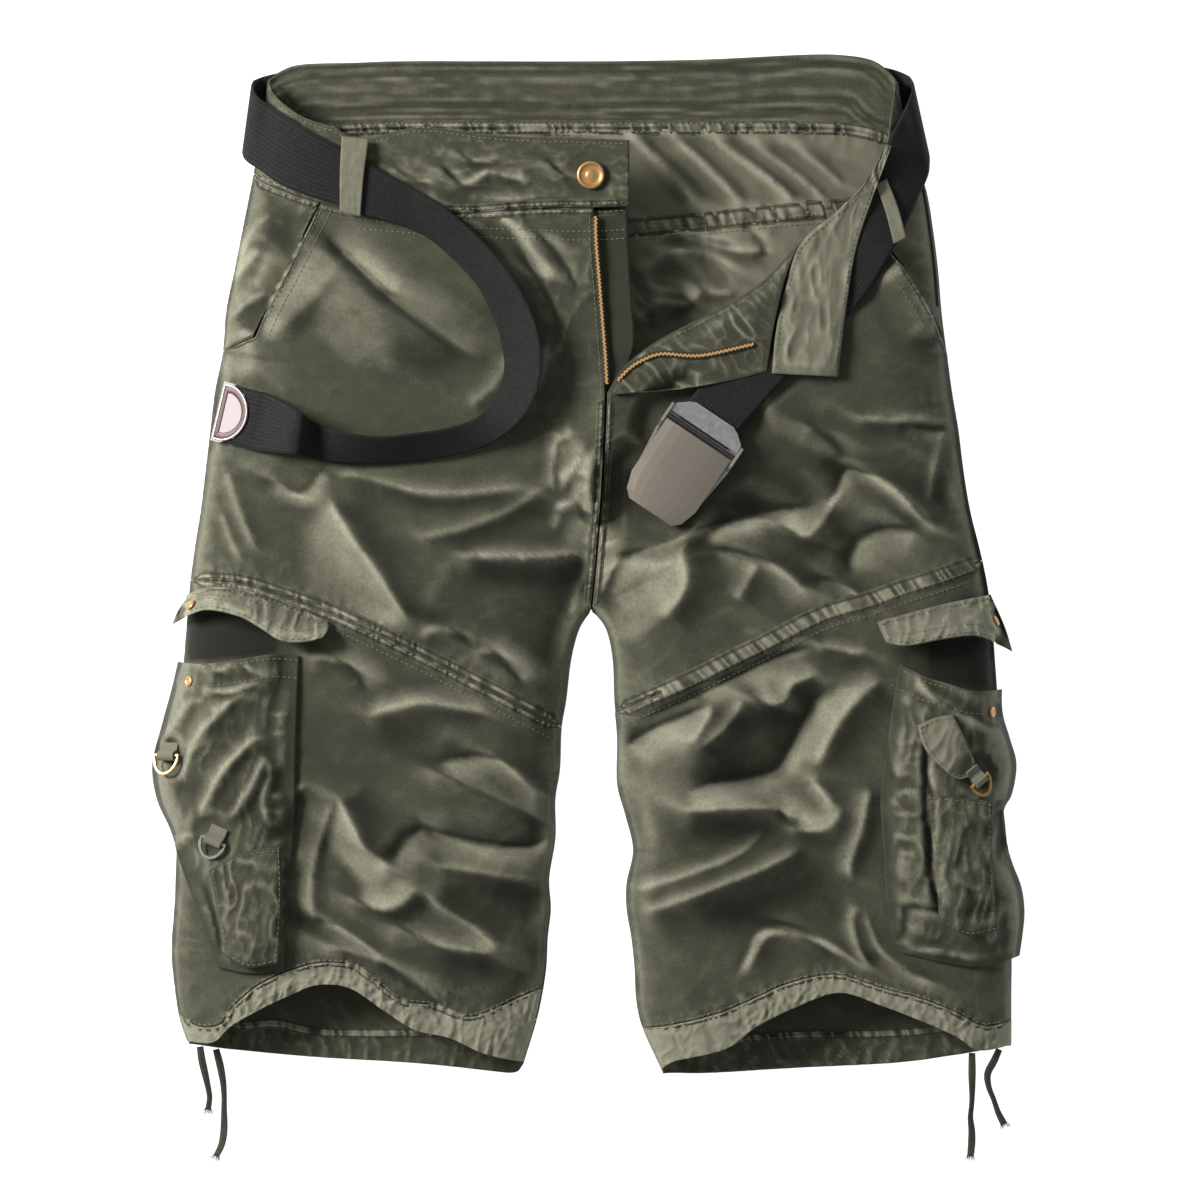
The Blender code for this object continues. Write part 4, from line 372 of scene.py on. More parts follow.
# Folds of the front, by how they meet the light from the left. Each line lists the tilt and the
# reach in mm of the face on its left, then of the face on its right. A tilt of 1 faces the light.
FOLD_LINES = (
    # Right thigh.
    (1.1, 24, -0.9, 26, ((-108, -39), (-115, -28), (-123, -15), (-131, -2), (-139, 8), (-147, 20),
        (-154, 31), (-161, 43))),
    (0.6, 12, -0.9, 10, ((-158, 54), (-139, 54), (-118, 47), (-100, 43), (-72, 43), (-35, 48))),
    (0.4, 14, -0.9, 14, ((-107, 15), (-86, 19), (-64, 26), (-43, 36), (-22, 50))),
    (0.9, 12, -1.2, 16, ((-80, 5), (-58, 3.5), (-38, 3), (-19, 4), (0, 7))),
    (-0.3, 8, 1.0, 9, ((-198, 53), (-189, 48), (-180, 44), (-172, 46), (-166, 55), (-160, 58))),
    (0.5, 9, -0.6, 9, ((-204, 6), (-212, 24), (-220, 46), (-224, 60))),
    (0.5, 6, -0.5, 6, ((-214, 0), (-222, 18), (-228, 34))),
    (0.8, 10, -0.7, 10, ((-104, -46), (-92, -41), (-78, -44), (-70, -54))),
    (0.9, 12, -0.9, 10, ((-70, -54), (-58, -55), (-48, -64), (-38, -76))),
    (0.7, 8, -0.7, 10, ((-22, 44), (-21, 62), (-18, 76), (-8, 77))),
    (0.6, 7, -0.7, 8, ((-22, 20), (-14, 34), (-4, 40))),
    (0.6, 6, -0.6, 7, ((-18, 50), (-10, 56), (0, 54))),
    # Right lower leg.
    (-0.7, 18, 1.0, 12, ((-97, -125), (-80, -121), (-60, -120), (-46, -128), (-35, -138), (-21, -146))),
    (0.5, 8, -0.8, 16, ((-97, -127), (-70, -140), (-45, -152), (-22, -163))),
    (1.0, 12, -0.9, 20, ((-138, -95), (-118, -90), (-100, -86), (-82, -89), (-60, -93))),
    (0.8, 14, -0.8, 12, ((-172, -58), (-155, -60), (-142, -68), (-136, -80))),
    (-1.0, 8, 0.5, 24, ((-155, -142), (-161, -158), (-168, -180), (-171, -205), (-166, -226))),
    (1.0, 18, -1.1, 22, ((-119, -187), (-127, -183), (-137, -176), (-145, -161), (-155, -143))),
    (-1.0, 10, 0.8, 14, ((-122, -186), (-112, -171), (-100, -163))),
    (-0.9, 16, 1.0, 14, ((-100, -163), (-80, -170), (-55, -175), (-35, -175), (-20, -168))),
    (0.4, 12, -0.9, 22, ((-96, -186), (-70, -190), (-45, -195), (-24, -196))),
    (0.9, 14, -0.8, 12, ((-146, -205), (-136, -212), (-124, -214), (-112, -208), (-104, -198))),
    (-0.7, 12, 0.9, 12, ((-100, -202), (-88, -214), (-70, -225), (-52, -239))),
    (0.7, 12, -0.9, 18, ((-120, -222), (-104, -231), (-84, -238), (-56, -241))),
    (-0.6, 8, 1.0, 10, ((-168, -219), (-156, -224), (-140, -234), (-124, -246))),
    (0.6, 8, -0.9, 16, ((-164, -236), (-146, -240), (-126, -248), (-106, -262), (-88, -276))),
    (0.5, 7, -0.8, 8, ((-190, -160), (-188, -146), (-180, -140), (-172, -136))),
    # Left thigh.
    (-1.2, 26, 1.1, 11, ((17, 1), (34, 8), (52, 14), (66, 20), (82, 25), (100, 29), (119, 33), (138, 35),
        (147, 36))),
    (-1.1, 20, 1.2, 8, ((145, 34), (154, 44), (160, 58), (173, 56), (189, 47), (200, 36), (210, 26),
        (221, 20))),
    (0.9, 12, -0.9, 14, ((100, 26), (118, 24), (134, 16), (144, 24), (152, 36), (160, 48))),
    (-0.8, 12, 0.9, 14, ((74, 9), (90, 7), (108, 2.5), (122, -5.5), (133, -15), (140, -17))),
    (-0.6, 8, 0.8, 8, ((140, -17), (145, -11), (153, -11), (164, -17), (172, -24))),
    (-0.9, 12, 0.8, 20, ((164, -10), (163, 4), (169, 15), (184, 21), (200, 21), (208, 17))),
    (0.9, 22, -0.8, 22, ((46, -36), (58, -20), (62, -6), (58, 6), (64, 16))),
    (0.6, 10, -0.7, 14, ((92, -24), (100, -10), (106, 0))),
    (0.4, 10, -0.9, 10, ((165, 90), (185, 88), (221, 87))),
    (-0.5, 6, 0.8, 7, ((194, 86), (210, 84), (224, 82))),
    (0.3, 10, -0.8, 14, ((136, 86), (150, 78), (160, 66))),
    (0.6, 6, -0.8, 10, ((212, 34), (214, 54), (218, 70), (222, 84))),
    # Left lower leg.
    (-1.1, 8, 0.8, 12, ((34, -97), (52, -88), (70, -80), (92, -70), (116, -58), (142, -50))),
    (0.9, 10, -0.9, 12, ((98, -80), (112, -87), (122, -85), (127, -75), (143, -68))),
    (0.8, 8, -0.7, 10, ((142, -50), (156, -53), (166, -56), (174, -53))),
    (-1.1, 16, 1.0, 18, ((21, -116), (30, -109), (43, -101), (61, -94), (77, -87))),
    (0.8, 8, -0.9, 7, ((64, -112), (72, -100), (78, -88))),
    (0.8, 7, -1.0, 16, ((68, -115), (80, -106), (90, -95), (97, -83))),
    (-0.9, 26, 1.0, 10, ((60, -142), (75, -137), (100, -133), (117, -128), (125, -116), (132, -103),
        (140, -86), (150, -76))),
    (1.0, 16, -0.9, 22, ((141, -128), (148, -113), (156, -98), (169, -82), (184, -70))),
    (0.9, 12, -1.0, 20, ((57, -152), (80, -152), (100, -151), (118, -153), (126, -163))),
    (0.9, 12, -0.7, 12, ((126, -163), (140, -166), (152, -161), (157, -150))),
    (-0.7, 7, 0.8, 8, ((138, -134), (146, -142), (152, -150))),
    (1.0, 10, -0.5, 7, ((24, -206), (43, -199), (67, -191), (88, -183), (103, -173), (112, -160))),
    (0.8, 8, -1.1, 26, ((30, -218), (54, -210), (88, -197), (119, -184), (137, -171))),
    (-0.4, 8, 0.8, 5, ((88, -262), (98, -244), (103, -231), (111, -226), (124, -226), (142, -232),
        (158, -241), (172, -252))),
    (0.8, 6, -0.8, 14, ((96, -258), (104, -242), (112, -231), (126, -230), (142, -236), (158, -246))),
    (0.9, 9, -0.9, 12, ((176, -252), (168, -238), (164, -220), (170, -212))),
    (-0.5, 8, 1.0, 8, ((171, -213), (176, -228), (182, -240), (195, -251), (216, -259))),
    (-1.1, 9, 0.9, 12, ((175, -137), (172, -152), (169, -166), (163, -184), (162, -198))),
    # Hips and fly.
    (0.7, 22, -0.7, 26, ((-166, 208), (-141, 180), (-116, 158), (-92, 140), (-70, 126))),
    (0.6, 10, -0.5, 12, ((-150, 192), (-134, 176), (-118, 166))),
    (0.9, 9, -0.9, 10, ((-72, 215), (-58, 214), (-48, 206), (-40, 194), (-34, 182), (-26, 173))),
    (0.6, 5, -0.7, 7, ((-30, 176), (-22, 160), (-16, 146))),
    (0.7, 7, -0.7, 9, ((-34, 206), (-22, 196), (-12, 182), (-6, 168))),
    (0.6, 12, -0.8, 18, ((-42, 90), (-30, 112), (-24, 136))),
    (0.5, 12, -0.6, 14, ((-74, 96), (-56, 112), (-46, 130))),
    (0.6, 10, -0.6, 12, ((-128, 238), (-110, 228), (-92, 221))),
    (0.8, 10, -0.7, 12, ((-216, 190), (-206, 206), (-196, 216))),
    (0.6, 8, -0.9, 12, ((-222, 150), (-212, 160), (-198, 168))),
    (0.7, 8, -0.7, 8, ((-226, 168), (-214, 182), (-202, 196))),
    # Right waistband and the crotch.
    (1.0, 6, -1.0, 6, ((-92, 249), (-84, 240), (-76, 234), (-66, 238), (-60, 242), (-49, 239),
        (-36, 235))),
    (0.8, 5, -0.9, 5, ((-80, 254), (-68, 248), (-54, 251))),
    (0.9, 5, -0.9, 6, ((-24, 250), (-14, 240), (2, 236))),
    (0.7, 5, -0.8, 5, ((-120, 246), (-108, 238), (-96, 234))),
    (0.7, 5, -0.8, 5, ((-64, 228), (-48, 224), (-30, 228))),
    (0.8, 6, -0.9, 5, ((-16, 44), (-10, 56), (-4, 66))),
    (0.7, 5, -0.9, 5, ((-22, 32), (-10, 36), (2, 30))),
    (0.9, 5, -0.6, 6, ((-10, -34), (-4, -14), (2, -2))),
    (0.7, 5, -0.8, 5, ((8, -20), (14, -6), (20, 4))),
)
# Broad faces of the front: tilt, how soft the outline is in mm, then the outline.
FOLD_FACES = (
    (-0.55, 8, ((-85, 0), (-5, 0), (-18, -30), (-25, -65), (-60, -48), (-90, -36), (-106, -38))),
    (0.35, 8, ((-168, 40), (-158, 30), (-134, -4), (-116, -36), (-150, -38), (-172, -24), (-178, 10))),
    (-0.35, 12, ((-190, -80), (-140, -98), (-100, -96), (-96, -122), (-140, -138), (-180, -130))),
    (0.7, 4, ((-155, -146), (-145, -162), (-137, -178), (-127, -190), (-112, -198), (-114, -206),
        (-127, -211), (-135, -208), (-145, -193), (-157, -180), (-164, -186), (-160, -162))),
    (-0.4, 8, ((-92, -196), (-30, -196), (-26, -222), (-60, -226), (-84, -214))),
    (-0.45, 8, ((-90, -240), (-34, -238), (-30, -268), (-70, -276), (-96, -262))),
    (0.7, 5, ((17, 3), (35, 9), (55, 13), (61, 2), (60, -18), (45, -35), (25, -48), (17, -46),
        (14, -20))),
    (-0.5, 8, ((90, 12), (112, 21), (134, 12), (150, 30), (161, 22), (162, -8), (150, -12), (136, -12),
        (120, 0))),
    (0.55, 5, ((92, -74), (106, -69), (124, -61), (142, -64), (142, -70), (127, -74), (121, -84),
        (111, -86))),
    (0.5, 6, ((24, -116), (45, -104), (72, -94), (62, -114), (66, -130), (96, -136), (118, -132),
        (116, -148), (80, -148), (58, -150), (40, -146), (24, -136))),
    (-0.55, 7, ((64, -119), (80, -103), (98, -92), (116, -87), (137, -82), (132, -103), (124, -116),
        (111, -126), (95, -131), (80, -132))),
    (0.55, 5, ((126, -118), (134, -102), (142, -86), (156, -76), (170, -76), (156, -92), (147, -110),
        (140, -128), (150, -146), (152, -158), (136, -163), (122, -154), (116, -140))),
    (-0.5, 9, ((44, -156), (112, -158), (108, -170), (84, -180), (58, -188), (34, -194))),
    (-0.6, 12, ((60, -214), (104, -200), (140, -184), (158, -200), (158, -224), (140, -226), (110, -220),
        (90, -236))),
    (0.3, 14, ((-176, 200), (-126, 186), (-120, 164), (-160, 160), (-186, 178))),
    (-0.4, 14, ((18, 92), (60, 40), (110, 42), (150, 60), (160, 92), (120, 104), (60, 104))),
    (-0.35, 14, ((-130, 122), (-70, 112), (-40, 140), (-60, 170), (-110, 150))),
    (0.85, 4, ((-20, 52), (-20, 76), (-10, 78), (2, 64), (5, 40), (6, 24), (20, 22), (30, 21), (26, 14),
        (18, 6), (14, -8), (6, -18), (-2, -18), (-4, 0), (0, 30), (-12, 46))),
    (0.6, 4, ((-20, 36), (-4, 30), (0, 16), (-10, 14), (-20, 22))),
    (-0.6, 8, ((10, 112), (12, 34), (34, 30), (60, 24), (60, 104), (30, 112))),
    (0.85, 4, ((-178, 186), (-169, 197), (-158, 191), (-155, 181), (-166, 167), (-180, 154), (-196, 138),
        (-204, 144))),
    (0.45, 6, ((-156, 175), (-140, 165), (-129, 152), (-119, 117), (-150, 126), (-172, 145))),
    (1.0, 3, ((-69, 217), (-60, 218), (-44, 207), (-33, 191), (-20, 181), (-25, 173), (-36, 186),
        (-49, 202))),
    (0.7, 4, ((-219, 202), (-196, 191), (-202, 175), (-220, 159))),
    (-0.6, 5, ((-207, 237), (-185, 218), (-183, 186), (-196, 197), (-212, 212))),
    (0.6, 4, ((-226, 156), (-212, 146), (-206, 128), (-210, 112), (-226, 120))),
)
# Folds of the cargo pockets, in the columns of FOLD_LINES.
POCKET_LINES = (
    (0.9, 9, -0.7, 8, ((-240, -158), (-226, -132), (-212, -115), (-199, -105))),
    (0.8, 5, -0.8, 7, ((-222, -160), (-212, -146), (-203, -130), (-198, -118))),
    (0.8, 12, -0.6, 10, ((-252, -140), (-242, -112), (-226, -92), (-206, -76))),
    (0.8, 4, -0.9, 4, ((-238, -61), (-228, -67), (-216, -63), (-206, -70))),
    (0.8, 4, -0.8, 4, ((-234, -78), (-222, -80), (-212, -77), (-202, -73))),
    (-0.9, 4, 0.5, 6, ((-226, -246), (-230, -220), (-236, -196))),
    (0.8, 4, -0.8, 5, ((-196, -162), (-200, -145), (-195, -130), (-198, -119))),
    (0.6, 5, -0.8, 6, ((-258, -176), (-248, -170), (-240, -168))),
    (0.6, 5, -0.6, 6, ((-262, -110), (-252, -96), (-246, -84))),
    (0.9, 5, -1.0, 6, ((248, -100), (230, -92), (214, -84), (202, -68))),
    (0.7, 5, -0.8, 5, ((236, -80), (218, -71), (204, -62))),
    (-1.0, 5, 0.9, 6, ((222, -218), (214, -200), (210, -170), (208, -140), (210, -112))),
    (-0.8, 4, 0.6, 5, ((190, -136), (186, -118), (184, -96))),
    (0.8, 4, -0.8, 5, ((222, -204), (220, -180), (224, -160))),
    (0.8, 4, -0.9, 5, ((238, -206), (234, -180), (228, -150))),
    (-0.9, 5, 0.7, 5, ((186, -237), (196, -229), (198, -214), (208, -213), (221, -216))),
    (0.8, 5, -0.9, 5, ((246, -186), (252, -172), (258, -156))),
    (0.7, 5, -0.8, 6, ((248, -236), (254, -216), (262, -206))),
    (0.6, 5, -0.7, 6, ((188, -246), (214, -240), (240, -248))),
    (0.9, 4, -1.3, 4, ((212, -96), (208, -124), (214, -150), (210, -186))),
    (0.8, 4, -1.2, 4, ((228, -148), (232, -170), (226, -196), (230, -222))),
    (0.9, 4, -1.2, 4, ((244, -142), (240, -166), (248, -190), (244, -214))),
    (0.8, 3, -1.2, 4, ((216, -206), (226, -196), (238, -202), (250, -196))),
)
# Puckers of the cargo pockets: height, distance between two, reach to the left and right, line.
POCKET_GATHERS = (
    (6.5, 7.5, 15, 13, ((197, -84), (194, -120), (198, -150), (196, -186))),
    (3.6, 6.0, 16, 12, ((206, -226), (232, -216), (252, -222))),
    (2.4, 6.0, 9, 9, ((-192, -60), (-190, -110), (-192, -160), (-188, -200), (-186, -236))),
    (1.6, 6.0, 12, 12, ((-252, -182), (-250, -214), (-246, -246))),
    (1.4, 7.0, 9, 9, ((-262, -80), (-266, -112), (-262, -150))),
    (1.6, 7.0, 10, 10, ((258, -100), (256, -150), (262, -210))),
)
# Folds inside the waist, in the columns of FOLD_LINES.
BACK_LINES = (
    (1.2, 9, -1.2, 9, ((72, 222), (58, 238), (42, 254), (26, 268))),
    (1.1, 9, -1.1, 9, ((100, 222), (84, 238), (66, 256), (50, 268))),
    (1.1, 9, -1.1, 10, ((132, 224), (112, 242), (94, 254), (76, 268))),
    (0.9, 7, -0.9, 8, ((150, 226), (134, 240), (118, 252), (102, 262))),
    (0.9, 7, -0.9, 8, ((160, 236), (146, 248), (130, 260))),
    (0.9, 8, -1.0, 10, ((40, 200), (60, 207), (92, 200))),
    (0.9, 8, -1.1, 12, ((34, 182), (52, 194), (74, 192), (88, 176))),
    (0.9, 7, -1.0, 10, ((30, 150), (44, 162), (62, 162), (74, 172))),
    (0.8, 6, -0.9, 8, ((66, 176), (80, 168), (96, 172))),
    (0.8, 6, -0.9, 8, ((-40, 272), (10, 266), (34, 262))),
    (1.0, 8, -1.2, 9, ((60, 196), (72, 192), (84, 184), (90, 172))),
    (0.9, 8, -0.9, 8, ((62, 206), (80, 198), (100, 194), (112, 196))),
    (1.0, 9, -1.0, 8, ((22, 190), (30, 178), (38, 164), (42, 152))),
    (0.8, 6, -0.8, 6, ((26, 168), (34, 160), (42, 148))),
    (0.9, 8, -1.2, 10, ((44, 172), (58, 168), (66, 160), (56, 152))),
    (0.9, 7, -0.9, 7, ((100, 208), (108, 202), (112, 192))),
)
# Places that no light reaches, inside the pockets' mouths: outline and how soft it is.
DARK_PLACES = (
    (((-258, -34), (-240, -28), (-222, -29), (-204, -38), (-190, -46), (-182, -56), (-200, -58),
        (-228, -60), (-258, -62)), 3),
    (((188, -52), (214, -46), (240, -44), (262, -54), (262, -78), (240, -78), (214, -72), (194, -62)), 3),
)

# Roughly crinkled patches. Columns: name, height, long and short size, heading, then the
# middle x, y and the half sizes along and across the heading.
CRINKLES = (
    ("waist right", 1.3, 17, 7.0, -22, -60, 240, 84, 24),
    ("waist by button", 1.6, 18, 6.0, -30, 14, 236, 30, 24),
    ("fly edge", 1.6, 16, 6.0, 70, -10, 165, 60, 14),
    ("centre seam", 2.4, 14, 8.0, 20, 0, 45, 22, 74),
    ("crotch left", 1.0, 18, 8.0, 40, 30, -5, 34, 30),
    ("hip right", 0.5, 22, 5.0, -20, -150, 160, 36, 22),
    ("hip left", 0.45, 24, 6.0, -8, 190, 110, 50, 60),
    ("hip side left", 0.7, 16, 4.0, -60, 222, 95, 22, 46),
    ("side right", 0.6, 16, 4.0, 80, -236, 40, 60, 12),
    ("thigh right", 0.5, 14, 4.0, 70, -180, -14, 30, 60),
    ("hem right", 1.5, 9, 4.0, 90, -140, -270, 22, 110),
    ("hem left", 1.5, 9, 4.0, 90, 150, -276, 22, 120),
)
# Puckers of the washed seams, in the columns of POCKET_GATHERS.
FRONT_GATHERS = (
    (2.6, 5.5, 16, 14, THIGH_SEAM_RIGHT), (2.6, 5.5, 16, 14, THIGH_SEAM_LEFT),
    (2.2, 5.5, 9, 26, HEM_TOP_RIGHT), (2.2, 5.5, 9, 26, HEM_TOP_LEFT),
    (2.0, 7.0, 12, 20, WAIST_SEAM_RIGHT), (1.4, 6.0, 16, 4, SLANT_RIGHT), (1.4, 6.0, 4, 16, SLANT_LEFT),
    (3.2, 8.0, 20, 14, CENTRE_SEAM), (2.4, 5.0, 14, 3, HEM_LOW_RIGHT), (2.4, 5.0, 14, 3, HEM_LOW_LEFT),
    (1.6, 8.0, 8, 22, FLY_EDGE), (2.0, 6.0, 22, 4, SIDE_RIGHT), (2.0, 6.0, 4, 22, SIDE_LEFT),
    (1.8, 7.0, 4, 16, INSEAM_RIGHT), (1.8, 7.0, 16, 4, INSEAM_LEFT),
)
BACK_GATHERS = (
    (2.4, 7.0, 6, 26, BACK_WAIST_SEAM), (3.4, 6.0, 14, 22, YOKE_SEAM), (2.4, 6.0, 30, 4, BACK_HEM_RIGHT),
    (2.4, 6.0, 30, 4, BACK_HEM_LEFT), (3.0, 7.0, 12, 12, ((43, 202), (42, 176), (44, 148))),
)

# Raised seams. Columns: name, line, half width, height, pucker.
BACK_SEAMS = (
    ("back_hem_right", BACK_HEM_TOP_RIGHT, 3.5, 0.6, 1.6),
    ("back_hem_left", BACK_HEM_TOP_LEFT, 3.5, 0.6, 1.6),
    ("back_thigh_right", BACK_THIGH_RIGHT, 4, 0.5, 0.8),
    ("back_thigh_left", BACK_THIGH_LEFT, 4, 0.5, 0.8),
    ("back_centre", BACK_CENTRE, 4, 0.5, 1.0),
    ("back_waist", BACK_WAIST_SEAM, 5, 0.3, 1.2),
    ("yoke", YOKE_SEAM, 7, 0.4, 1.3),
)
# Columns: name, share cut off at each end, half width, height, pucker, distance between puckers.
FRONT_SEAMS = (
    ("thigh_right", 0.01, 7, 0.8, 1.6, 3.4), ("thigh_left", 0.01, 7, 0.8, 1.6, 3.4),
    ("centre", 0.01, 6, 0.8, 1.8, 4.0), ("waist_right", 0.01, 6, 0.7, 1.7, 4.0),
    ("hem_right", 0.01, 3, 0.3, 1.2, 3.2), ("hem_left", 0.01, 3, 0.3, 1.2, 3.2),
    ("hip_right", 0.03, 2.5, 0.5, 0.9, 4.5), ("hip_left", 0.03, 2.5, 0.5, 0.9, 4.5),
)
# Rows of stitches: line, and how far to its left each row runs.
SEAM_STITCHES = (
    (THIGH_SEAM_RIGHT, (-3, -9)), (THIGH_SEAM_LEFT, (-3, -9)), (WAIST_SEAM_RIGHT, (-2.4, 2.4)),
    (SLANT_RIGHT, (2.4, 8.0)), (SLANT_LEFT, (-2.4, -8.0)), (WAIST_TOP_RIGHT, (-2.6,)),
    (FLY_EDGE, (-2.6,)), (CENTRE_SEAM, (-2.4, 3.2)),
)
BACK_STITCHES = ((BACK_WAIST_SEAM, (-2.6, 2.6)), (YOKE_SEAM, (-2.6, -8.0)))
HEM_STITCHES = ((HEM_TOP_RIGHT, (1.6,)), (HEM_TOP_LEFT, (1.6,)))
SMALL_STITCHES = ((0, (1.8,)), (1, (-1.8,)), (3, (1.8,)), (2, (-2.2,)))  # by side of the outline
CORNER_STITCHES = ((BAND_END_TOP, (-2.4,)), (BAND_END_LEFT, (2.6,)), (FOLD_LINE, (-3.4,)),
    (WAISTBAND_LEFT_OUT, (-2.2,)))


# Settings.

def colour_setting(name, description, default):
    """A colour that a user would change."""
    return FloatVectorProperty(name=name, description=description, subtype="COLOR", size=3, min=0, max=1,
                               default=default)


def size_setting(name, description, default, low, high):
    """A size in metres that a user would change."""
    return FloatProperty(name=name, description=description, subtype="DISTANCE", unit="LENGTH", min=low,
                         max=high, default=default)


class ClothFinish(bpy.types.PropertyGroup):
    """Colours and surface of the washed cotton."""
    colour: colour_setting("Cloth", "Unworn face of the twill", (0.052, 0.053, 0.034))
    # Worn cloth: rubbed crests, seams and hems, and also painted light on faces turned to the key light.
    worn: colour_setting("Worn cloth", "Rubbed crests, seams and hems", (0.315, 0.31, 0.225))
    # Deep cloth: painted shade in hollows, pocket mouths and faces turned from the key light, and the random
    # darker mottling.
    shade_and_mottle: colour_setting("Deep cloth", "Inside of pockets and hollows", (0.013, 0.0135, 0.009))
    tape: colour_setting("Drawstring", "Woven tape of the hem strings", (0.05, 0.052, 0.04))
    twill: size_setting("Twill pitch", "Distance between two diagonal ribs", 0.0009, 0.0003, 0.005)
    stitch: size_setting("Stitch", "Length of one stitch and its gap", 0.0034, 0.001, 0.01)


class MetalFinish(bpy.types.PropertyGroup):
    """Colours of the belt, chains, snaps, button and buckle."""
    webbing: colour_setting("Webbing", "Black belt webbing", (0.006, 0.006, 0.0065))
    webbing_light: colour_setting("Webbing rubbed", "Raised ribs of the webbing", (0.03, 0.029, 0.028))
    brass: colour_setting("Brass", "Zip chains, button, snaps and pocket rings", (0.78, 0.46, 0.19))
    steel: colour_setting("Steel", "Buckle base, clamp and leg ring", (0.56, 0.545, 0.54))
    gunmetal: colour_setting("Gunmetal", "Brushed cover of the buckle", (0.25, 0.218, 0.18))
    plate: colour_setting("Tip plate", "Rosy plate of the belt's tip", (0.30, 0.265, 0.27))
    enamel: colour_setting("Enamel", "Red-brown border of the belt's tip", (0.075, 0.022, 0.020))
    pin: colour_setting("Dark steel", "Pin of the buckle", (0.10, 0.10, 0.105))


class StudioSettings(bpy.types.PropertyGroup):
    """Camera and light."""
    frame_width: size_setting("View width", "Width of the view at the garment", 0.744, 0.1, 3)
    distance: size_setting("Camera height", "Height of the camera above the surface", 4.0, 0.5, 10)
    key_heading: FloatProperty(
        name="Key heading", description="Side that the key light stands on, from +X",
        subtype="ANGLE", unit="ROTATION", default=math.radians(156))
    key_height: FloatProperty(
        name="Key height", description="Key light above the horizon", subtype="ANGLE",
        unit="ROTATION", min=0, max=math.radians(90), default=math.radians(35))
    key_power: FloatProperty(
        name="Key power", description="Key light, in watts", subtype="POWER", unit="POWER",
        min=0, max=1000, default=78)
    fill: FloatProperty(
        name="Fill", description="Strength of the even light all round", min=0, max=5, default=0.36)
    floor_glow: FloatProperty(
        name="Floor glow", description="Light that the surface itself gives", min=0, max=2,
        default=1.0)


# Plane curves: arrays of points with one row each.

def smooth_curve(points, per_span=6):
    """A Catmull-Rom curve through the points."""
    knots = np.array(points, dtype=float)
    ends = np.vstack([2 * knots[0] - knots[1], knots, 2 * knots[-1] - knots[-2]])
    t = (np.arange(per_span) / per_span)[:, None]
    spans = []
    for before, start, stop, after in zip(ends[:-3], ends[1:-2], ends[2:-1], ends[3:]):
        spans.append(0.5 * (2 * start + (stop - before) * t
                            + (2 * before - 5 * start + 4 * stop - after) * t ** 2
                            + (3 * start - before - 3 * stop + after) * t ** 3))
    return np.vstack([*spans, knots[-1:]])


def smooth_curves(*lines):
    return [smooth_curve(line) for line in lines]


def lengths_along(curve):
    steps = np.linalg.norm(np.diff(curve, axis=0), axis=1)
    return np.concatenate([[0.0], np.cumsum(steps)])


def at_shares(curve, shares):
    """Points of the curve at shares of its length."""
    along = lengths_along(curve)
    wanted = np.asarray(shares) * along[-1]
    return np.stack([np.interp(wanted, along, curve[:, k]) for k in range(curve.shape[1])], axis=1)


def between_heights(curve, high, low):
    """The part of a downward curve from y = high to y = low."""
    along = lengths_along(curve)
    start, stop = np.interp([-high, -low], -curve[:, 1], along)
    inside = (along > start + 1e-6) & (along < stop - 1e-6)
    ends = at_shares(curve, np.array([start, stop]) / along[-1])
    return np.vstack([ends[:1], curve[inside], ends[1:]])


def run(curve, start, stop):
    """The part of a smooth downward curve between two points' heights."""
    return between_heights(curve, start[1], stop[1])


def edge(line, high, low):
    return between_heights(smooth_curve(line), high, low)


def join(*curves):
    return np.vstack([np.asarray(curve, dtype=float) for curve in curves])


def strip(near, far):
    """The four sides of a strip between two lines."""
    return near, far, join(near[:1], far[:1]), join(near[-1:], far[-1:])


def nearest_index(curve, point):
    return int(np.argmin(np.linalg.norm(curve - point, axis=1)))


def spaced(curve, step):
    """Points of the curve about a step apart."""
    count = max(2, int(round(lengths_along(curve)[-1] / step)) + 1)
    return at_shares(curve, np.linspace(0, 1, count))


def unit(vectors):
    return vectors / np.linalg.norm(vectors, axis=-1, keepdims=True)


def beside_of(points):
    """Unit vectors to the left of travel at each point of a plane curve."""
    ahead = unit(np.gradient(points[:, :2], axis=0))
    return np.column_stack([-ahead[:, 1], ahead[:, 0]])


def fade(share):
    share = np.clip(share, 0.0, 1.0)
    return share * share * (3 - 2 * share)


def round_up(share):
    """A quarter circle, upright at 0 and level at 1."""
    share = np.clip(share, 0.0, 1.0)
    return np.sqrt(1 - (1 - share) ** 2)


def nearest_on(curve, x, y):
    """Distance to a curve, the side it is on (+1 left of travel) and the share of its length."""
    best = np.full(x.shape, np.inf)
    side = np.ones(x.shape)
    share = np.zeros(x.shape)
    along = lengths_along(curve)
    for k in range(len(curve) - 1):
        step = curve[k + 1] - curve[k]
        off_x, off_y = x - curve[k, 0], y - curve[k, 1]
        t = np.clip((off_x * step[0] + off_y * step[1]) / (step @ step), 0.0, 1.0)
        off_x, off_y = off_x - t * step[0], off_y - t * step[1]
        distance = np.hypot(off_x, off_y)
        closer = distance < best
        best[closer] = distance[closer]
        side[closer] = np.sign(step[0] * off_y - step[1] * off_x)[closer]
        share[closer] = ((along[k] + t * (along[k + 1] - along[k])) / along[-1])[closer]
    return best, side, share


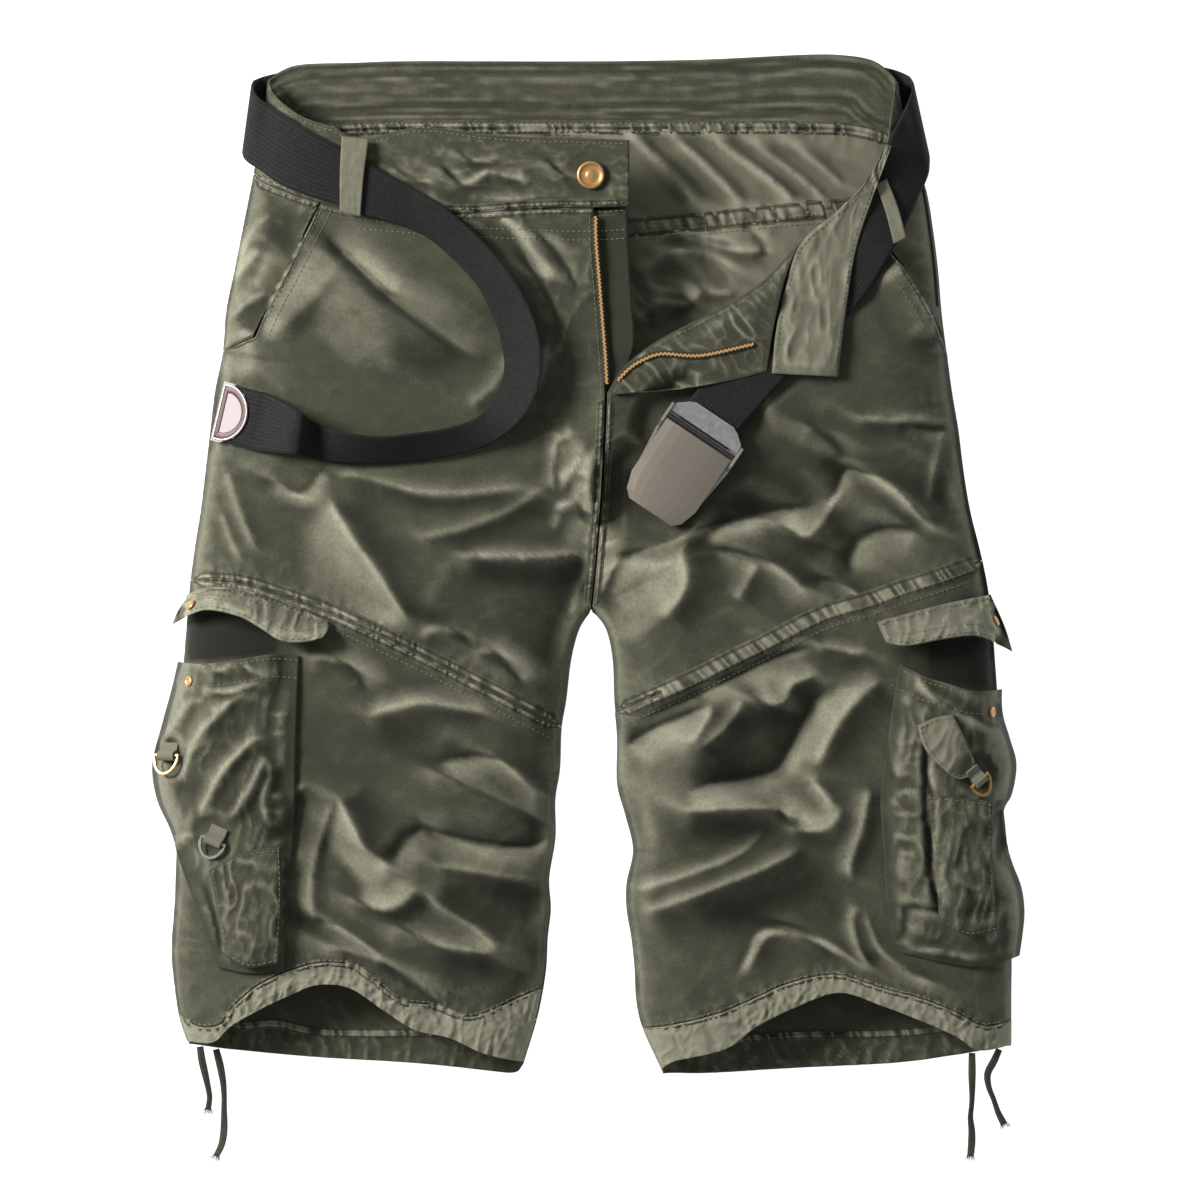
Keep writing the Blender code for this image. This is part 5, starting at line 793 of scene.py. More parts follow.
def patch(sides, step, inset=SEAM_GAP / 2):
    """Plan points between left, right, top and bottom curves, and their shares across and down."""
    left, right, top, bottom = sides
    widths = lengths_along(top)[-1], lengths_along(bottom)[-1]
    heights = lengths_along(left)[-1], lengths_along(right)[-1]
    across = np.linspace(0, 1, max(3, int(max(widths) / step) + 2))
    down = np.linspace(0, 1, max(3, int(max(heights) / step) + 2))
    u = inset / (sum(widths) / 2) * (1 - 2 * across) + across
    v = inset / (sum(heights) / 2) * (1 - 2 * down) + down
    left_points, right_points = at_shares(left, v)[:, None, :], at_shares(right, v)[:, None, :]
    top_points, bottom_points = at_shares(top, u)[None, :, :], at_shares(bottom, u)[None, :, :]
    u, v = u[None, :, None], v[:, None, None]
    corners = ((1 - u) * (1 - v) * (left[0] + top[0]) / 2 + u * (1 - v) * (right[0] + top[-1]) / 2
               + (1 - u) * v * (left[-1] + bottom[0]) / 2 + u * v * (right[-1] + bottom[-1]) / 2)
    grid = (1 - u) * left_points + u * right_points + (1 - v) * top_points + v * bottom_points - corners
    return grid[..., 0], grid[..., 1], *np.meshgrid(across, down)


# Heights over the plan, kept as fields on an even grid.

STEP = 1.0
FIELD_X = np.arange(-282.0, 282.0 + STEP, STEP)
FIELD_Y = np.arange(-332.0, 332.0 + STEP, STEP)
PLAN_X, PLAN_Y = np.meshgrid(FIELD_X, FIELD_Y)
FIELDS = {}


def sample(field, x, y):
    """The field at points of the plan, interpolated."""
    gx = np.clip((x - FIELD_X[0]) / STEP, 0, len(FIELD_X) - 1.001)
    gy = np.clip((y - FIELD_Y[0]) / STEP, 0, len(FIELD_Y) - 1.001)
    i, j = gy.astype(int), gx.astype(int)
    fy, fx = gy - i, gx - j
    return ((1 - fy) * ((1 - fx) * field[i, j] + fx * field[i, j + 1])
            + fy * ((1 - fx) * field[i + 1, j] + fx * field[i + 1, j + 1]))


def window(points, reach):
    """The part of the fields within reach of some points."""
    low, high = points.min(axis=0) - reach, points.max(axis=0) + reach
    columns = slice(*np.searchsorted(FIELD_X, (low[0], high[0])))
    rows = slice(*np.searchsorted(FIELD_Y, (low[1], high[1])))
    return rows, columns


def blurred(grid, count):
    """Mean over count cells either way, in both directions."""
    for axis in (0, 1):
        padded = np.concatenate([np.repeat(np.take(grid, [0], axis), count, axis), grid,
                                 np.repeat(np.take(grid, [-1], axis), count, axis)], axis)
        total = np.cumsum(padded, axis)
        total = np.concatenate([np.zeros_like(np.take(total, [0], axis)), total], axis)
        size = 2 * count + 1
        high = np.take(total, range(size, total.shape[axis]), axis)
        low = np.take(total, range(0, total.shape[axis] - size), axis)
        grid = (high - low) / size
    return grid


def grown(grid, count):
    """Highest value nearby, in count passes that each look one cell further than the last."""
    for axis in (0, 1):
        last = grid.shape[axis] - 1
        places = np.arange(last + 1)
        for shift in range(1, count + 1):
            ahead = np.take(grid, np.minimum(places + shift, last), axis)
            behind = np.take(grid, np.maximum(places - shift, 0), axis)
            grid = np.maximum(grid, np.maximum(ahead, behind))
    return grid


def lattice(x, y, seed):
    """Smooth noise from -1 to 1 with a grain of one unit."""
    values = np.random.default_rng(seed).uniform(-1, 1, (64, 64))
    i, j = np.floor(y).astype(int), np.floor(x).astype(int)
    fy, fx = fade(y - i), fade(x - j)
    i, j, after_i, after_j = i % 64, j % 64, (i + 1) % 64, (j + 1) % 64
    return ((1 - fy) * ((1 - fx) * values[i, j] + fx * values[i, after_j])
            + fy * ((1 - fx) * values[after_i, j] + fx * values[after_i, after_j]))


def crinkle(x, y, long, short, heading, seed):
    """Sharp-crested wrinkles that run along a heading, from 0 to 1."""
    c, s = math.cos(math.radians(heading)), math.sin(math.radians(heading))
    along, off = (x * c + y * s) / long, (y * c - x * s) / short
    bend = 0.7 * lattice(along * 1.3, off * 0.35, seed + 1)
    ridge = 1 - np.abs(lattice(along, off + bend, seed))
    fine = 1 - np.abs(lattice(along * 2.1, 1.9 * off + bend, seed + 2))
    return 0.7 * ridge ** 2 + 0.3 * fine ** 2


def add_lift(field, height, left_width, right_width, line):
    """Raises a rounded edge along a line."""
    curve = smooth_curve(line, LINE_SPANS)
    part = window(curve, max(left_width, right_width))
    distance, side, share = nearest_on(curve, PLAN_X[part], PLAN_Y[part])
    t = np.clip(distance / np.where(side > 0, left_width, right_width), 0, 1)
    ends = fade(share / LIFT_END) * fade((1 - share) / LIFT_END)
    field[part] += height * ends * (0.5 + 0.5 * np.cos(math.pi * t))


def add_line_tilt(field, left_tilt, left_reach, right_tilt, right_reach, line):
    """Adds the faces on the two sides of a fold's line."""
    curve = smooth_curve(line, LINE_SPANS)
    part = window(curve, 1.3 * max(left_reach, right_reach))
    distance, side, share = nearest_on(curve, PLAN_X[part], PLAN_Y[part])
    reach = 1.2 * np.where(side > 0, left_reach, right_reach)
    ends = fade(share / FOLD_END) * fade((1 - share) / FOLD_END)
    carried = np.clip(1 - distance / reach, 0, 1)
    field[part] += np.where(side > 0, left_tilt, right_tilt) * ends * carried


def inside_outline(outline, x, y):
    """1 within a closed outline, 0 outside."""
    within = np.zeros(x.shape, dtype=bool)
    for (ax, ay), (bx, by) in zip(outline, outline[1:] + outline[:1]):
        if ay != by:
            crosses = (ay > y) != (by > y)
            within ^= crosses & (x < (bx - ax) * (y - ay) / (by - ay) + ax)
    return within.astype(float)


def add_face_tilt(field, tilt, soft, outline):
    """Adds a broad face within an outline."""
    points = np.array(outline, dtype=float)
    part = window(points, 2.5 * soft)
    inside = inside_outline(outline, PLAN_X[part], PLAN_Y[part])
    count = max(1, int(round(soft / 2 / STEP)))
    field[part] += tilt * blurred(blurred(inside, count), count)


def tilts_to_heights(tilt):
    """Heights whose slope away from the light is the tilt's."""
    rows, columns = tilt.shape
    wave_x = 2 * math.pi * np.fft.fftfreq(columns, STEP)[None, :]
    wave_y = 2 * math.pi * np.fft.fftfreq(rows, STEP)[:, None]
    away = -math.cos(LIGHT_SIDE) * wave_x - math.sin(LIGHT_SIDE) * wave_y
    across = math.sin(LIGHT_SIDE) * wave_x - math.cos(LIGHT_SIDE) * wave_y
    weight = away ** 2 + 0.04 * across ** 2 + 1 / FOLD_SPREAD ** 2
    return np.fft.ifft2(-1j * away * np.fft.fft2(tilt * FOLD_TILT) / weight).real


def folded(lines, faces=()):
    """Heights of the folds, and the tilt of their faces."""
    tilt = np.zeros(PLAN_X.shape)
    for row in lines:
        add_line_tilt(tilt, *row)
    for row in faces:
        add_face_tilt(tilt, *row)
    tilt = np.clip(tilt, -TILT_LIMIT, TILT_LIMIT)
    return tilts_to_heights(tilt), blurred(tilt, 1)


def gather(field, line, height, pitch, left_reach, right_reach, seed):
    """Puckers that run away from a seam on both sides."""
    curve = smooth_curve(line, 4)
    part = window(curve, max(left_reach, right_reach))
    distance, side, share = nearest_on(curve, PLAN_X[part], PLAN_Y[part])
    reach = np.where(side > 0, left_reach, right_reach)
    drift = 0.25 * distance * lattice(share * 9, 0 * share, seed + 3)
    along = share * lengths_along(curve)[-1] + drift
    ridge = (1 - np.abs(lattice(along / pitch, distance / 16, seed))) ** 1.4
    uneven = 0.65 + 0.35 * lattice(along / 31, 0 * along, seed + 1)
    field[part] += height * uneven * np.clip(1 - distance / reach, 0, 1) ** 1.1 * (ridge - 0.3)


def crinkled_patches():
    """The roughly crinkled places of the front, and the faint crumpling all over it."""
    creases = np.zeros(PLAN_X.shape)
    for seed, (_, height, long, short, heading, x, y, half_long, half_short) in enumerate(CRINKLES):
        c, s = math.cos(math.radians(heading)), math.sin(math.radians(heading))
        along, off = (PLAN_X - x) * c + (PLAN_Y - y) * s, (PLAN_Y - y) * c - (PLAN_X - x) * s
        inside = fade(1.6 - np.hypot(along / half_long, off / half_short) * 1.6)
        creases += height * inside * crinkle(PLAN_X, PLAN_Y, long, short, heading, seed * 7)
    return creases + (0.5 * crinkle(PLAN_X, PLAN_Y, 46, 17, 35, 301)
                      + 0.35 * lattice(PLAN_X / 19, PLAN_Y / 15, 303))


def band_ripples():
    """Rows of stitching and puckers along the back waistband."""
    from_top = nearest_on(smooth_curve(BACK_WAIST_TOP, 4), PLAN_X, PLAN_Y)[0]
    band = 1.2 * crinkle(PLAN_X, from_top, 80, 6, 0, 331) + 0.5 * lattice(PLAN_X / 9, from_top / 4, 333)
    for depth in BAND_ROWS:
        wavy = from_top - depth - 1.2 * lattice(PLAN_X / 37, 0 * PLAN_X + depth, 335)
        band -= 1.9 * np.exp(-(wavy / 1.3) ** 2)
    return band


def unlit_places():
    """1 where no light reaches, streaked down its edge."""
    dark = np.zeros(PLAN_X.shape)
    for outline, soft in DARK_PLACES:
        add_face_tilt(dark, 1.0, soft, outline)
    return dark * (0.62 + 0.38 * np.clip(1.6 * lattice(PLAN_X / 9, PLAN_Y / 60, 337) + 0.6, 0, 1))


def build_fields():
    """Inner faces of the front and back, the folds' tilts, and the places without light."""
    lines = [smooth_curve(line, 2) for line in (SIDE_RIGHT, SIDE_LEFT, INSEAM_RIGHT, INSEAM_LEFT)]
    closing = np.min([nearest_on(line, PLAN_X, PLAN_Y)[0] for line in lines], axis=0)
    relief, FIELDS["tilt"] = folded(FOLD_LINES, FOLD_FACES)
    back_relief, FIELDS["back tilt"] = folded(BACK_LINES)
    FIELDS["pocket"], FIELDS["pocket tilt"] = folded(POCKET_LINES)
    FIELDS["dark"] = unlit_places()
    creases = crinkled_patches()
    back_relief += 0.9 * crinkle(PLAN_X, PLAN_Y, 40, 14, -35, 311)
    for field, rows, seed, apart in ((creases, FRONT_GATHERS, 900, 5), (back_relief, BACK_GATHERS, 990, 5),
                                     (FIELDS["pocket"], POCKET_GATHERS, 1201, 7)):
        for k, (height, pitch, left_reach, right_reach, line) in enumerate(rows):
            gather(field, line, height, pitch, left_reach, right_reach, seed + apart * k)
    heights, rises = zip(*FRONT_RISE)
    dome = CLOSING_HEIGHT + np.interp(PLAN_Y, heights, rises) * round_up(closing / DOME_WIDTH)
    FIELDS["front"] = dome + (relief + creases) * fade(closing / FOLD_EASE)
    FIELDS["shield"] = FIELDS["front"] - SHIELD_DROP
    lifts = np.zeros(PLAN_X.shape)
    for _, *row in POCKET_EDGE_LIFTS:
        add_lift(lifts, *row)
    FIELDS["cut front"] = FIELDS["front"] + lifts
    curl = 1 - round_up(closing / BACK_CURL_WIDTH)
    creased = (np.maximum(back_relief, -BACK_HOLLOW) + BACK_HOLLOW) * fade((closing - 8) / FOLD_EASE)
    FIELDS["back"] = np.maximum(BACK_CURL_HEIGHT * curl + creased, 0.0)
    FIELDS["back band"] = BAND_LIFT + BAND_CURL * curl + band_ripples()


# Pieces and what they lie on. Heights and points are in the tables' millimetres.

SKINS = {}
SHEETS = []


def remember(name, points, faces):
    """Keeps a piece's surface, so that later pieces can lie on it."""
    tree = BVHTree.FromPolygons(points.tolist(), [list(face) for face in faces])
    SKINS[name] = (tree, points.min(axis=0), points.max(axis=0))


def highest(x, y, skins):
    """Highest surface over plan points, -1 where there is none."""
    found = np.full(x.shape, -1.0)
    for tree, low, high in skins:
        inside = (x >= low[0]) & (x <= high[0]) & (y >= low[1]) & (y <= high[1])
        for place in zip(*np.nonzero(inside)):
            hit = tree.ray_cast(Vector((x[place], y[place], 300.0)), Vector((0, 0, -1)))[0]
            if hit is not None and hit.z > found[place]:
                found[place] = hit.z
    return found


def skins_where(chosen):
    """Surfaces of the pieces whose names are chosen."""
    return [skin for name, skin in SKINS.items() if chosen(name)]


def cad_skin(name):
    """Surface of a solid of the frame."""
    node = bpy.data.objects[name]
    points = np.empty(3 * len(node.data.vertices))
    node.data.vertices.foreach_get("co", points)
    points = points.reshape(-1, 3) / MM - (*ORIGIN_SHIFT, 0.0)
    faces = [list(polygon.vertices) for polygon in node.data.polygons]
    return BVHTree.FromPolygons(points.tolist(), faces), points.min(axis=0), points.max(axis=0)


def linked(name, data):
    item = bpy.data.objects.new(name, data)
    bpy.context.scene.collection.objects.link(item)
    return item


def add_piece(name, points, faces, material, masks=None, smooth=True, node=None, slot=None):
    """An object from points in millimetres, with float masks for its material."""
    points = np.asarray(points, dtype=float)
    mesh = bpy.data.meshes.new(name)
    place = (points + (*ORIGIN_SHIFT, 0.0)) * MM
    mesh.from_pydata(place.tolist(), [], [list(map(int, face)) for face in faces])
    mesh.update()
    mesh.shade_smooth() if smooth else mesh.shade_flat()
    for mask, values in (masks or {}).items():
        layer = mesh.attributes.new(mask, "FLOAT", "POINT")
        layer.data.foreach_set("value", np.asarray(values, dtype=np.float32).ravel())
    mesh.materials.append(material)
    item = linked(name, mesh)
    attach(item, "garment")
    if node:
        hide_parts(node)
    return item


def grid_faces(rows, columns, turned=False):
    """Faces of a grid of points; turned where its columns run to the left of its rows."""
    index = np.arange(rows * columns).reshape(rows, columns)
    quads = np.stack([index[:-1, :-1], index[:-1, 1:], index[1:, 1:], index[1:, :-1]], axis=-1)
    return quads.reshape(-1, 4)[:, [0, 3, 2, 1] if turned else [0, 1, 2, 3]]


def closed_wall(lower, upper, turned=False):
    """Points and faces of a closed wall between two like grids of points."""
    rows, columns, _ = lower.shape
    count = rows * columns
    index = np.arange(count).reshape(rows, columns)
    quads = grid_faces(rows, columns, turned)
    rim = np.concatenate([index[0, :], index[1:, -1], index[-1, -2::-1], index[-2:0:-1, 0]])
    after = np.roll(rim, -1)
    walls = np.stack([rim, after, after + count, rim + count], 1)
    if turned:
        walls = walls[:, [1, 0, 3, 2]]
    points = np.vstack([lower.reshape(-1, 3), upper.reshape(-1, 3)])
    return points, np.vstack([quads + count, quads[:, ::-1], walls])


def tube_faces(rings, sides, first=0):
    """Faces of a closed tube: its sides ring by ring, then its two ends."""
    faces = []
    for k in range(rings - 1):
        low, high = first + k * sides, first + (k + 1) * sides
        for s in range(sides):
            turn = (s + 1) % sides
            faces.append([low + s, low + turn, high + turn, high + s])
    last = first + (rings - 1) * sides
    return faces + [[first + s for s in reversed(range(sides))], [last + s for s in range(sides)]]


def mesh_step(x, y):
    return max(0.5, np.median(np.hypot(np.diff(x, axis=1), np.diff(y, axis=1))))


def worn_and_shaded(x, y, height):
    """Masks of a cloth: 1 on sharp crests for wear, and 1 in hollows for painted shade."""
    step = mesh_step(x, y)
    fine = height - blurred(height, max(1, int(round(FINE_FORM / step))))
    broad = height - blurred(height, max(2, int(round(BROAD_FORM / step))))
    worn = np.clip(fine / 0.9, 0, 1) * 0.75 + np.clip(broad / 3.0, 0, 1) * 0.35
    shade = np.clip(-fine / 0.8, 0, 1) * 0.6 + np.clip(-broad / 2.6, 0, 1) * 0.6
    return np.clip(worn, 0, 1), np.clip(shade, 0, 1)


def slope_factor(x, y, height):
    """Upright measure of a wall of unit thickness over a height grid."""
    step_u = np.maximum(np.hypot(np.gradient(x, axis=1), np.gradient(y, axis=1)), 0.05)
    step_v = np.maximum(np.hypot(np.gradient(x, axis=0), np.gradient(y, axis=0)), 0.05)
    slope = np.hypot(np.gradient(height, axis=1) / step_u, np.gradient(height, axis=0) / step_v)
    return np.minimum(np.sqrt(1 + blurred(slope, 1) ** 2), SLOPE_LIMIT)


def near_hardware(x, y):
    """1 at the stiff pieces, 0 away from them."""
    share = np.zeros(x.shape)
    for place_x, place_y, full, faded in HARDWARE:
        share = np.maximum(share, fade(1 - (np.hypot(x - place_x, y - place_y) - full) / faded))
    return share


def seated(x, y, floor, node, thickness):
    """The floor of a piece, drawn to its solid's own where a stiff piece rests on it."""
    near = near_hardware(x, y)
    if not near.any():
        return floor
    px, py = x[near > 0], y[near > 0]
    held = highest(px, py, [cad_skin(node)])
    share = np.where(held > 0, near[near > 0], 0)
    floor = floor.copy()
    floor[near > 0] += share * (held - SEATED_CLOTH * thickness - floor[near > 0])
    return floor


def lay_cloth(node, x, y, floor, thickness, material, slot="olive_cotton"):
    """A closed sheet of cloth over its inner face, in place of its solid."""
    floor = seated(x, y, floor, node, thickness)
    ceiling = floor + thickness * slope_factor(x, y, floor)
    worn, shade = worn_and_shaded(x, y, ceiling)
    # Painted light and shade: faces turned to the key light are paled through the worn mask and faces turned
    # away are darkened through the shade mask, on top of the crest wear and painted hollow shade.
    if slot == "olive_cotton":
        folds = "pocket tilt" if "pocket" in node else "back tilt" if "back" in node else "tilt"
        tilt = sample(FIELDS[folds], x, y)
        worn = np.clip(0.55 * worn + 0.62 * np.clip(tilt, 0, 1) ** 1.3, 0, 1)
        shade = np.clip(0.7 * shade + 0.6 * np.clip(-tilt, 0, 1), 0, 1)
    # Painted shade in the pocket mouths: the dark field takes the wear away and darkens the cloth.
    if node.startswith("front"):
        dark = sample(FIELDS["dark"], x, y)
        worn, shade = worn * (1 - dark), np.maximum(shade, 1.9 * dark)
    points, faces = closed_wall(np.stack([x, y, floor], axis=-1), np.stack([x, y, ceiling], axis=-1))
    masks = {"worn": np.tile(worn.ravel(), 2), "shade": np.tile(shade.ravel(), 2)}
    item = add_piece("cloth_" + node, points, faces, material, masks, node=node, slot=slot)
    remember("cloth_" + node, points[x.size:], grid_faces(*x.shape))
    SHEETS.append((item, x, y, ceiling))


def declare_sheets():
    """Works out flat sizes, the longest row and column of each cloth and its area, but keeps none of them.
    """
    for item, x, y, height in SHEETS:
        points = np.stack([x, y, blurred(height, 2)], axis=-1)
        across, down = np.diff(points, axis=1), np.diff(points, axis=0)
        width = max(np.linalg.norm(across, axis=2).sum(axis=1).max() * MM, LEAST_FLAT)
        length = max(np.linalg.norm(down, axis=2).sum(axis=0).max() * MM, LEAST_FLAT)
        area = np.linalg.norm(np.cross(across[:-1], down[:, :-1]), axis=2).sum()
        area = np.clip(area * MM * MM, 0.31 * width * length, width * length)


def field_cloth(node, sides, field, thickness, material, step, rough=(0, 9, 4, 0), **facts):
    """A cloth whose inner face follows one of the fields. rough: height, long, short, heading."""
    x, y, _, _ = patch(sides, step)
    height, long, short, heading = rough
    seed = len("cloth_" + node) * 3
    floor = sample(FIELDS[field], x, y) + height * crinkle(x, y, long, short, heading, seed)
    lay_cloth(node, x, y, floor, thickness, material, **facts)


def below_cloth(x, y, reach):
    """What a piece lies on, rounded over the steps in it, and where there is something."""
    count = max(1, int(round(reach / mesh_step(x, y))))
    found = highest(x, y, SKINS.values())
    there = found > 0
    high = grown(found, count)
    soft = blurred(np.where(there, high, 0), count) / np.maximum(blurred(there.astype(float), count), 1e-3)
    return np.where(there, np.maximum(soft, found), -1.0), there


def lay_over(node, sides, thickness, material, step, rough, reach, crown=0.0, lift=0.0,
             slot="worn_olive_cotton"):
    """A cloth that lies on what is below its plan, crowned in the middle or lifted at its foot."""
    x, y, u, v = patch(sides, step)
    floor, there = below_cloth(x, y, reach)
    floor = np.where(there, floor, CLOSING_HEIGHT) + REST_GAP
    if crown:
        floor = floor + crown * np.sin(math.pi * u) * np.sin(math.pi * v)
    if lift:
        floor = floor + lift * fade(v)
    height, long, short, heading = rough
    inside = fade(u / 0.06) * fade((1 - u) / 0.06) * fade(v / 0.06) * fade((1 - v) / 0.06)
    seed = len("cloth_" + node) * 5
    floor = floor + height * (0.35 + 0.65 * inside) * crinkle(x, y, long, short, heading, seed)
    lay_cloth(node, x, y, floor, thickness, material, slot=slot)


def dress_backs(cloth, pale):
    right, left, inner_right, inner_left = smooth_curves(SIDE_RIGHT, SIDE_LEFT, INSEAM_RIGHT, INSEAM_LEFT)
    thigh_right, thigh_left, hem_right, hem_left, low_right, low_left = smooth_curves(
        BACK_THIGH_RIGHT, BACK_THIGH_LEFT, BACK_HEM_TOP_RIGHT, BACK_HEM_TOP_LEFT, BACK_HEM_RIGHT,
        BACK_HEM_LEFT)
    yoke, waist, centre, top = smooth_curves(YOKE_SEAM, BACK_WAIST_SEAM, BACK_CENTRE, BACK_WAIST_TOP)
    split = int(np.argmin(np.abs(yoke[:, 0] - BACK_CENTRE[0][0])))
    step = 2.2 * CLOTH_STEP
    seat_right = join(centre, run(inner_right, centre[-1], thigh_right[-1])[1:])
    seat_left = join(centre, run(inner_left, centre[-1], thigh_left[0])[1:]) + (2 * SEAM_GAP, 0)
    # The yoke and upper backs take the paler cloth: painted light that offsets the shadow the raised front
    # casts on the seat.
    for node, finer, material, rough, sides in (
            ("back_yoke", 0.5, pale, 0,
             (run(right, waist[0], yoke[0]), run(left, waist[-1], yoke[-1]), waist, yoke)),
            ("back_upper_right", 1.0, pale, 0,
             (run(right, yoke[0], thigh_right[0]), seat_right, yoke[:split + 1], thigh_right)),
            ("back_upper_left", 0.5, pale, 0,
             (seat_left, run(left, yoke[-1], thigh_left[-1]), yoke[split:], thigh_left)),
            ("back_lower_right", 1.0, cloth, 0, leg_sides(right, inner_right, thigh_right, hem_right)),
            ("back_lower_left", 1.0, cloth, 0, leg_sides(inner_left, left, thigh_left, hem_left)),
            ("hem_back_right", 0.5, cloth, 1.6, leg_sides(right, inner_right, hem_right, low_right)),
            ("hem_back_left", 0.5, cloth, 1.6, leg_sides(inner_left, left, hem_left, low_left))):
        field_cloth(node, sides, "back", CLOTH, material, step * finer, (rough, 16, 5, 84))
    sides = (run(right, top[0], waist[0]), run(left, top[-1], waist[-1]), top, waist)
    field_cloth("waistband_back", sides, "back band", BAND_CLOTH, cloth, 0.55 * step)


def leg_sides(left, right, top, bottom):
    """The four sides of a panel that runs between two of a leg's side lines."""
    return run(left, top[0], bottom[0]), run(right, top[-1], bottom[-1]), top, bottom


def dress_back_loops(cloth):
    for node, centre_x in BACK_LOOPS:
        x, y = np.meshgrid(np.linspace(-0.5, 0.5, 9) * LOOP_WIDTH + centre_x,
                           np.linspace(LOOP_TOP, LOOP_LOW, 24))
        lay_cloth(node, x, y, np.zeros(x.shape), LOOP_CLOTH, cloth, slot="worn_olive_cotton")


def tucked(slant):
    """How far the hip panel reaches under the front along the slanted mouth."""
    share = lengths_along(slant) / lengths_along(slant)[-1]
    reach = (HIP_TUCK + HIP_CLEAR) * fade((share - 0.2) / 0.3) * fade((0.9 - share) / 0.3) - HIP_CLEAR
    return np.column_stack([reach, np.zeros(len(share))])


def dress_hips(cloth):
    slant_right, slant_left, seam_line = smooth_curves(SLANT_RIGHT, SLANT_LEFT, WAIST_SEAM_RIGHT)
    seam_line = seam_line[:nearest_index(seam_line, slant_right[0]) + 1]
    inner = slant_right + tucked(slant_right)
    outer = edge(SIDE_RIGHT, seam_line[0][1], slant_right[-1][1] - HIP_FOOT)
    field_cloth("hip_panel_right", (outer, inner, seam_line, join(outer[-1:], inner[-1:])),
                "front", CLOTH, cloth, CLOTH_STEP)
    inner = join([WAISTBAND_LEFT_IN[-1]], slant_left - tucked(slant_left))
    outer = edge(SIDE_LEFT, WAISTBAND_LEFT_OUT[-1][1], slant_left[-1][1] - HIP_FOOT)
    top = join([WAISTBAND_LEFT_IN[-1]], [WAISTBAND_LEFT_OUT[-1]])
    field_cloth("hip_panel_left", (inner, outer, top, join(inner[-1:], outer[-1:])),
                "front", CLOTH, cloth, CLOTH_STEP)


def dress_fronts(cloth, worn):
    right, left, inner_right, inner_left = smooth_curves(SIDE_RIGHT, SIDE_LEFT, INSEAM_RIGHT, INSEAM_LEFT)
    thigh_right, thigh_left, hem_right, hem_left, low_right, low_left = smooth_curves(
        THIGH_SEAM_RIGHT, THIGH_SEAM_LEFT, HEM_TOP_RIGHT, HEM_TOP_LEFT, HEM_LOW_RIGHT, HEM_LOW_LEFT)
    slant_right, slant_left, centre, fly = smooth_curves(SLANT_RIGHT, SLANT_LEFT, CENTRE_SEAM, FLY_EDGE)
    fold, fold_upper, seam_line, top = smooth_curves(FOLD_LINE, FOLD_LINE_UPPER, WAIST_SEAM_RIGHT,
                                                     WAIST_TOP_RIGHT)
    start, stop = nearest_index(seam_line, slant_right[0]), nearest_index(seam_line, fly[0])
    upper_right = (join(slant_right, run(right, slant_right[-1] - (0, HIP_FOOT), thigh_right[0])),
                   join(fly, centre[1:], run(inner_right, centre[-1], thigh_right[-1])[1:]),
                   seam_line[start:stop + 1], thigh_right)
    upper_left = (join(centre, run(inner_left, centre[-1], thigh_left[0])[1:]) + (2 * SEAM_GAP, 0),
                  join(fold_upper[-1:], slant_left,
                       run(left, slant_left[-1] - (0, HIP_FOOT), thigh_left[-1])),
                  join(fold, fold_upper[1:]), thigh_left)
    for node, sides, field in (
            ("front_upper_right", upper_right, "cut front"), ("front_upper_left", upper_left, "cut front"),
            ("front_lower_right", leg_sides(right, inner_right, thigh_right, hem_right), "front"),
            ("front_lower_left", leg_sides(inner_left, left, thigh_left, hem_left), "front")):
        field_cloth(node, sides, field, CLOTH, cloth, CLOTH_STEP)
    band = (run(right, top[0], seam_line[0]), join(top[-1:], seam_line[-1:]), top, seam_line)
    short_band = strip(*smooth_curves(WAISTBAND_LEFT_IN, WAISTBAND_LEFT_OUT))
    hem_rough, band_rough = (1.5, 9, 4.0, 78), (0.8, 12, 4, 10)
    for node, sides, material, finer, rough in (
            ("hem_front_right", leg_sides(right, inner_right, hem_right, low_right), worn, 0.55, hem_rough),
            ("hem_front_left", leg_sides(inner_left, left, hem_left, low_left), worn, 0.55, hem_rough),
            ("waistband_right", band, cloth, 0.75, band_rough),
            ("waistband_left", short_band, cloth, 0.75, band_rough)):
        field_cloth(node, sides, "front", BAND_CLOTH, material, finer * CLOTH_STEP, rough)


def dress_shield(cloth):
    fly, outer = smooth_curves(FLY_EDGE, SHIELD_EDGE)
    inner = between_heights(fly, fly[0][1] - 1.5, fly[-1][1] + 4) - (SHIELD_TUCK, 0)
    field_cloth("fly_shield", strip(inner, outer), "shield", CLOTH, cloth, CLOTH_STEP,
                slot="shaded_olive_cotton")


def dress_corner(facing, cloth):
    """The wearer's left front corner and band end, folded outwards over its own front."""
    fold, lower, end_seam, inner, outer = smooth_curves(FOLD_LINE, CORNER_LOWER, BAND_END_SEAM,
                                                        BAND_END_LEFT, BAND_END_TOP)
    fold = fold + (1.0, -1.0)
    sides = (join(fold[:1], lower[:1]), end_seam + (-0.4, 0), fold, lower)
    step = 0.7 * CLOTH_STEP
    lay_over("turned_corner_left", sides, CLOTH, facing, step, (1.5, 17, 7, -50), 6.0, crown=2.5)
    lay_over("waistband_left_end", strip(inner + (0.4, 0), outer), BAND_CLOTH, cloth, step,
             (2.2, 22, 6, 80), 6.0)


def dress_loops(cloth):
    for node, near, far in (("belt_loop_right", LOOP_RIGHT_NEAR, LOOP_RIGHT_FAR),
                            ("belt_loop_left", LOOP_LEFT_NEAR, LOOP_LEFT_FAR)):
        sides = strip(*smooth_curves(near, far))
        lay_over(node, sides, CLOTH, cloth, 0.55 * CLOTH_STEP, (0.5, 8, 3, 90), 4.0)


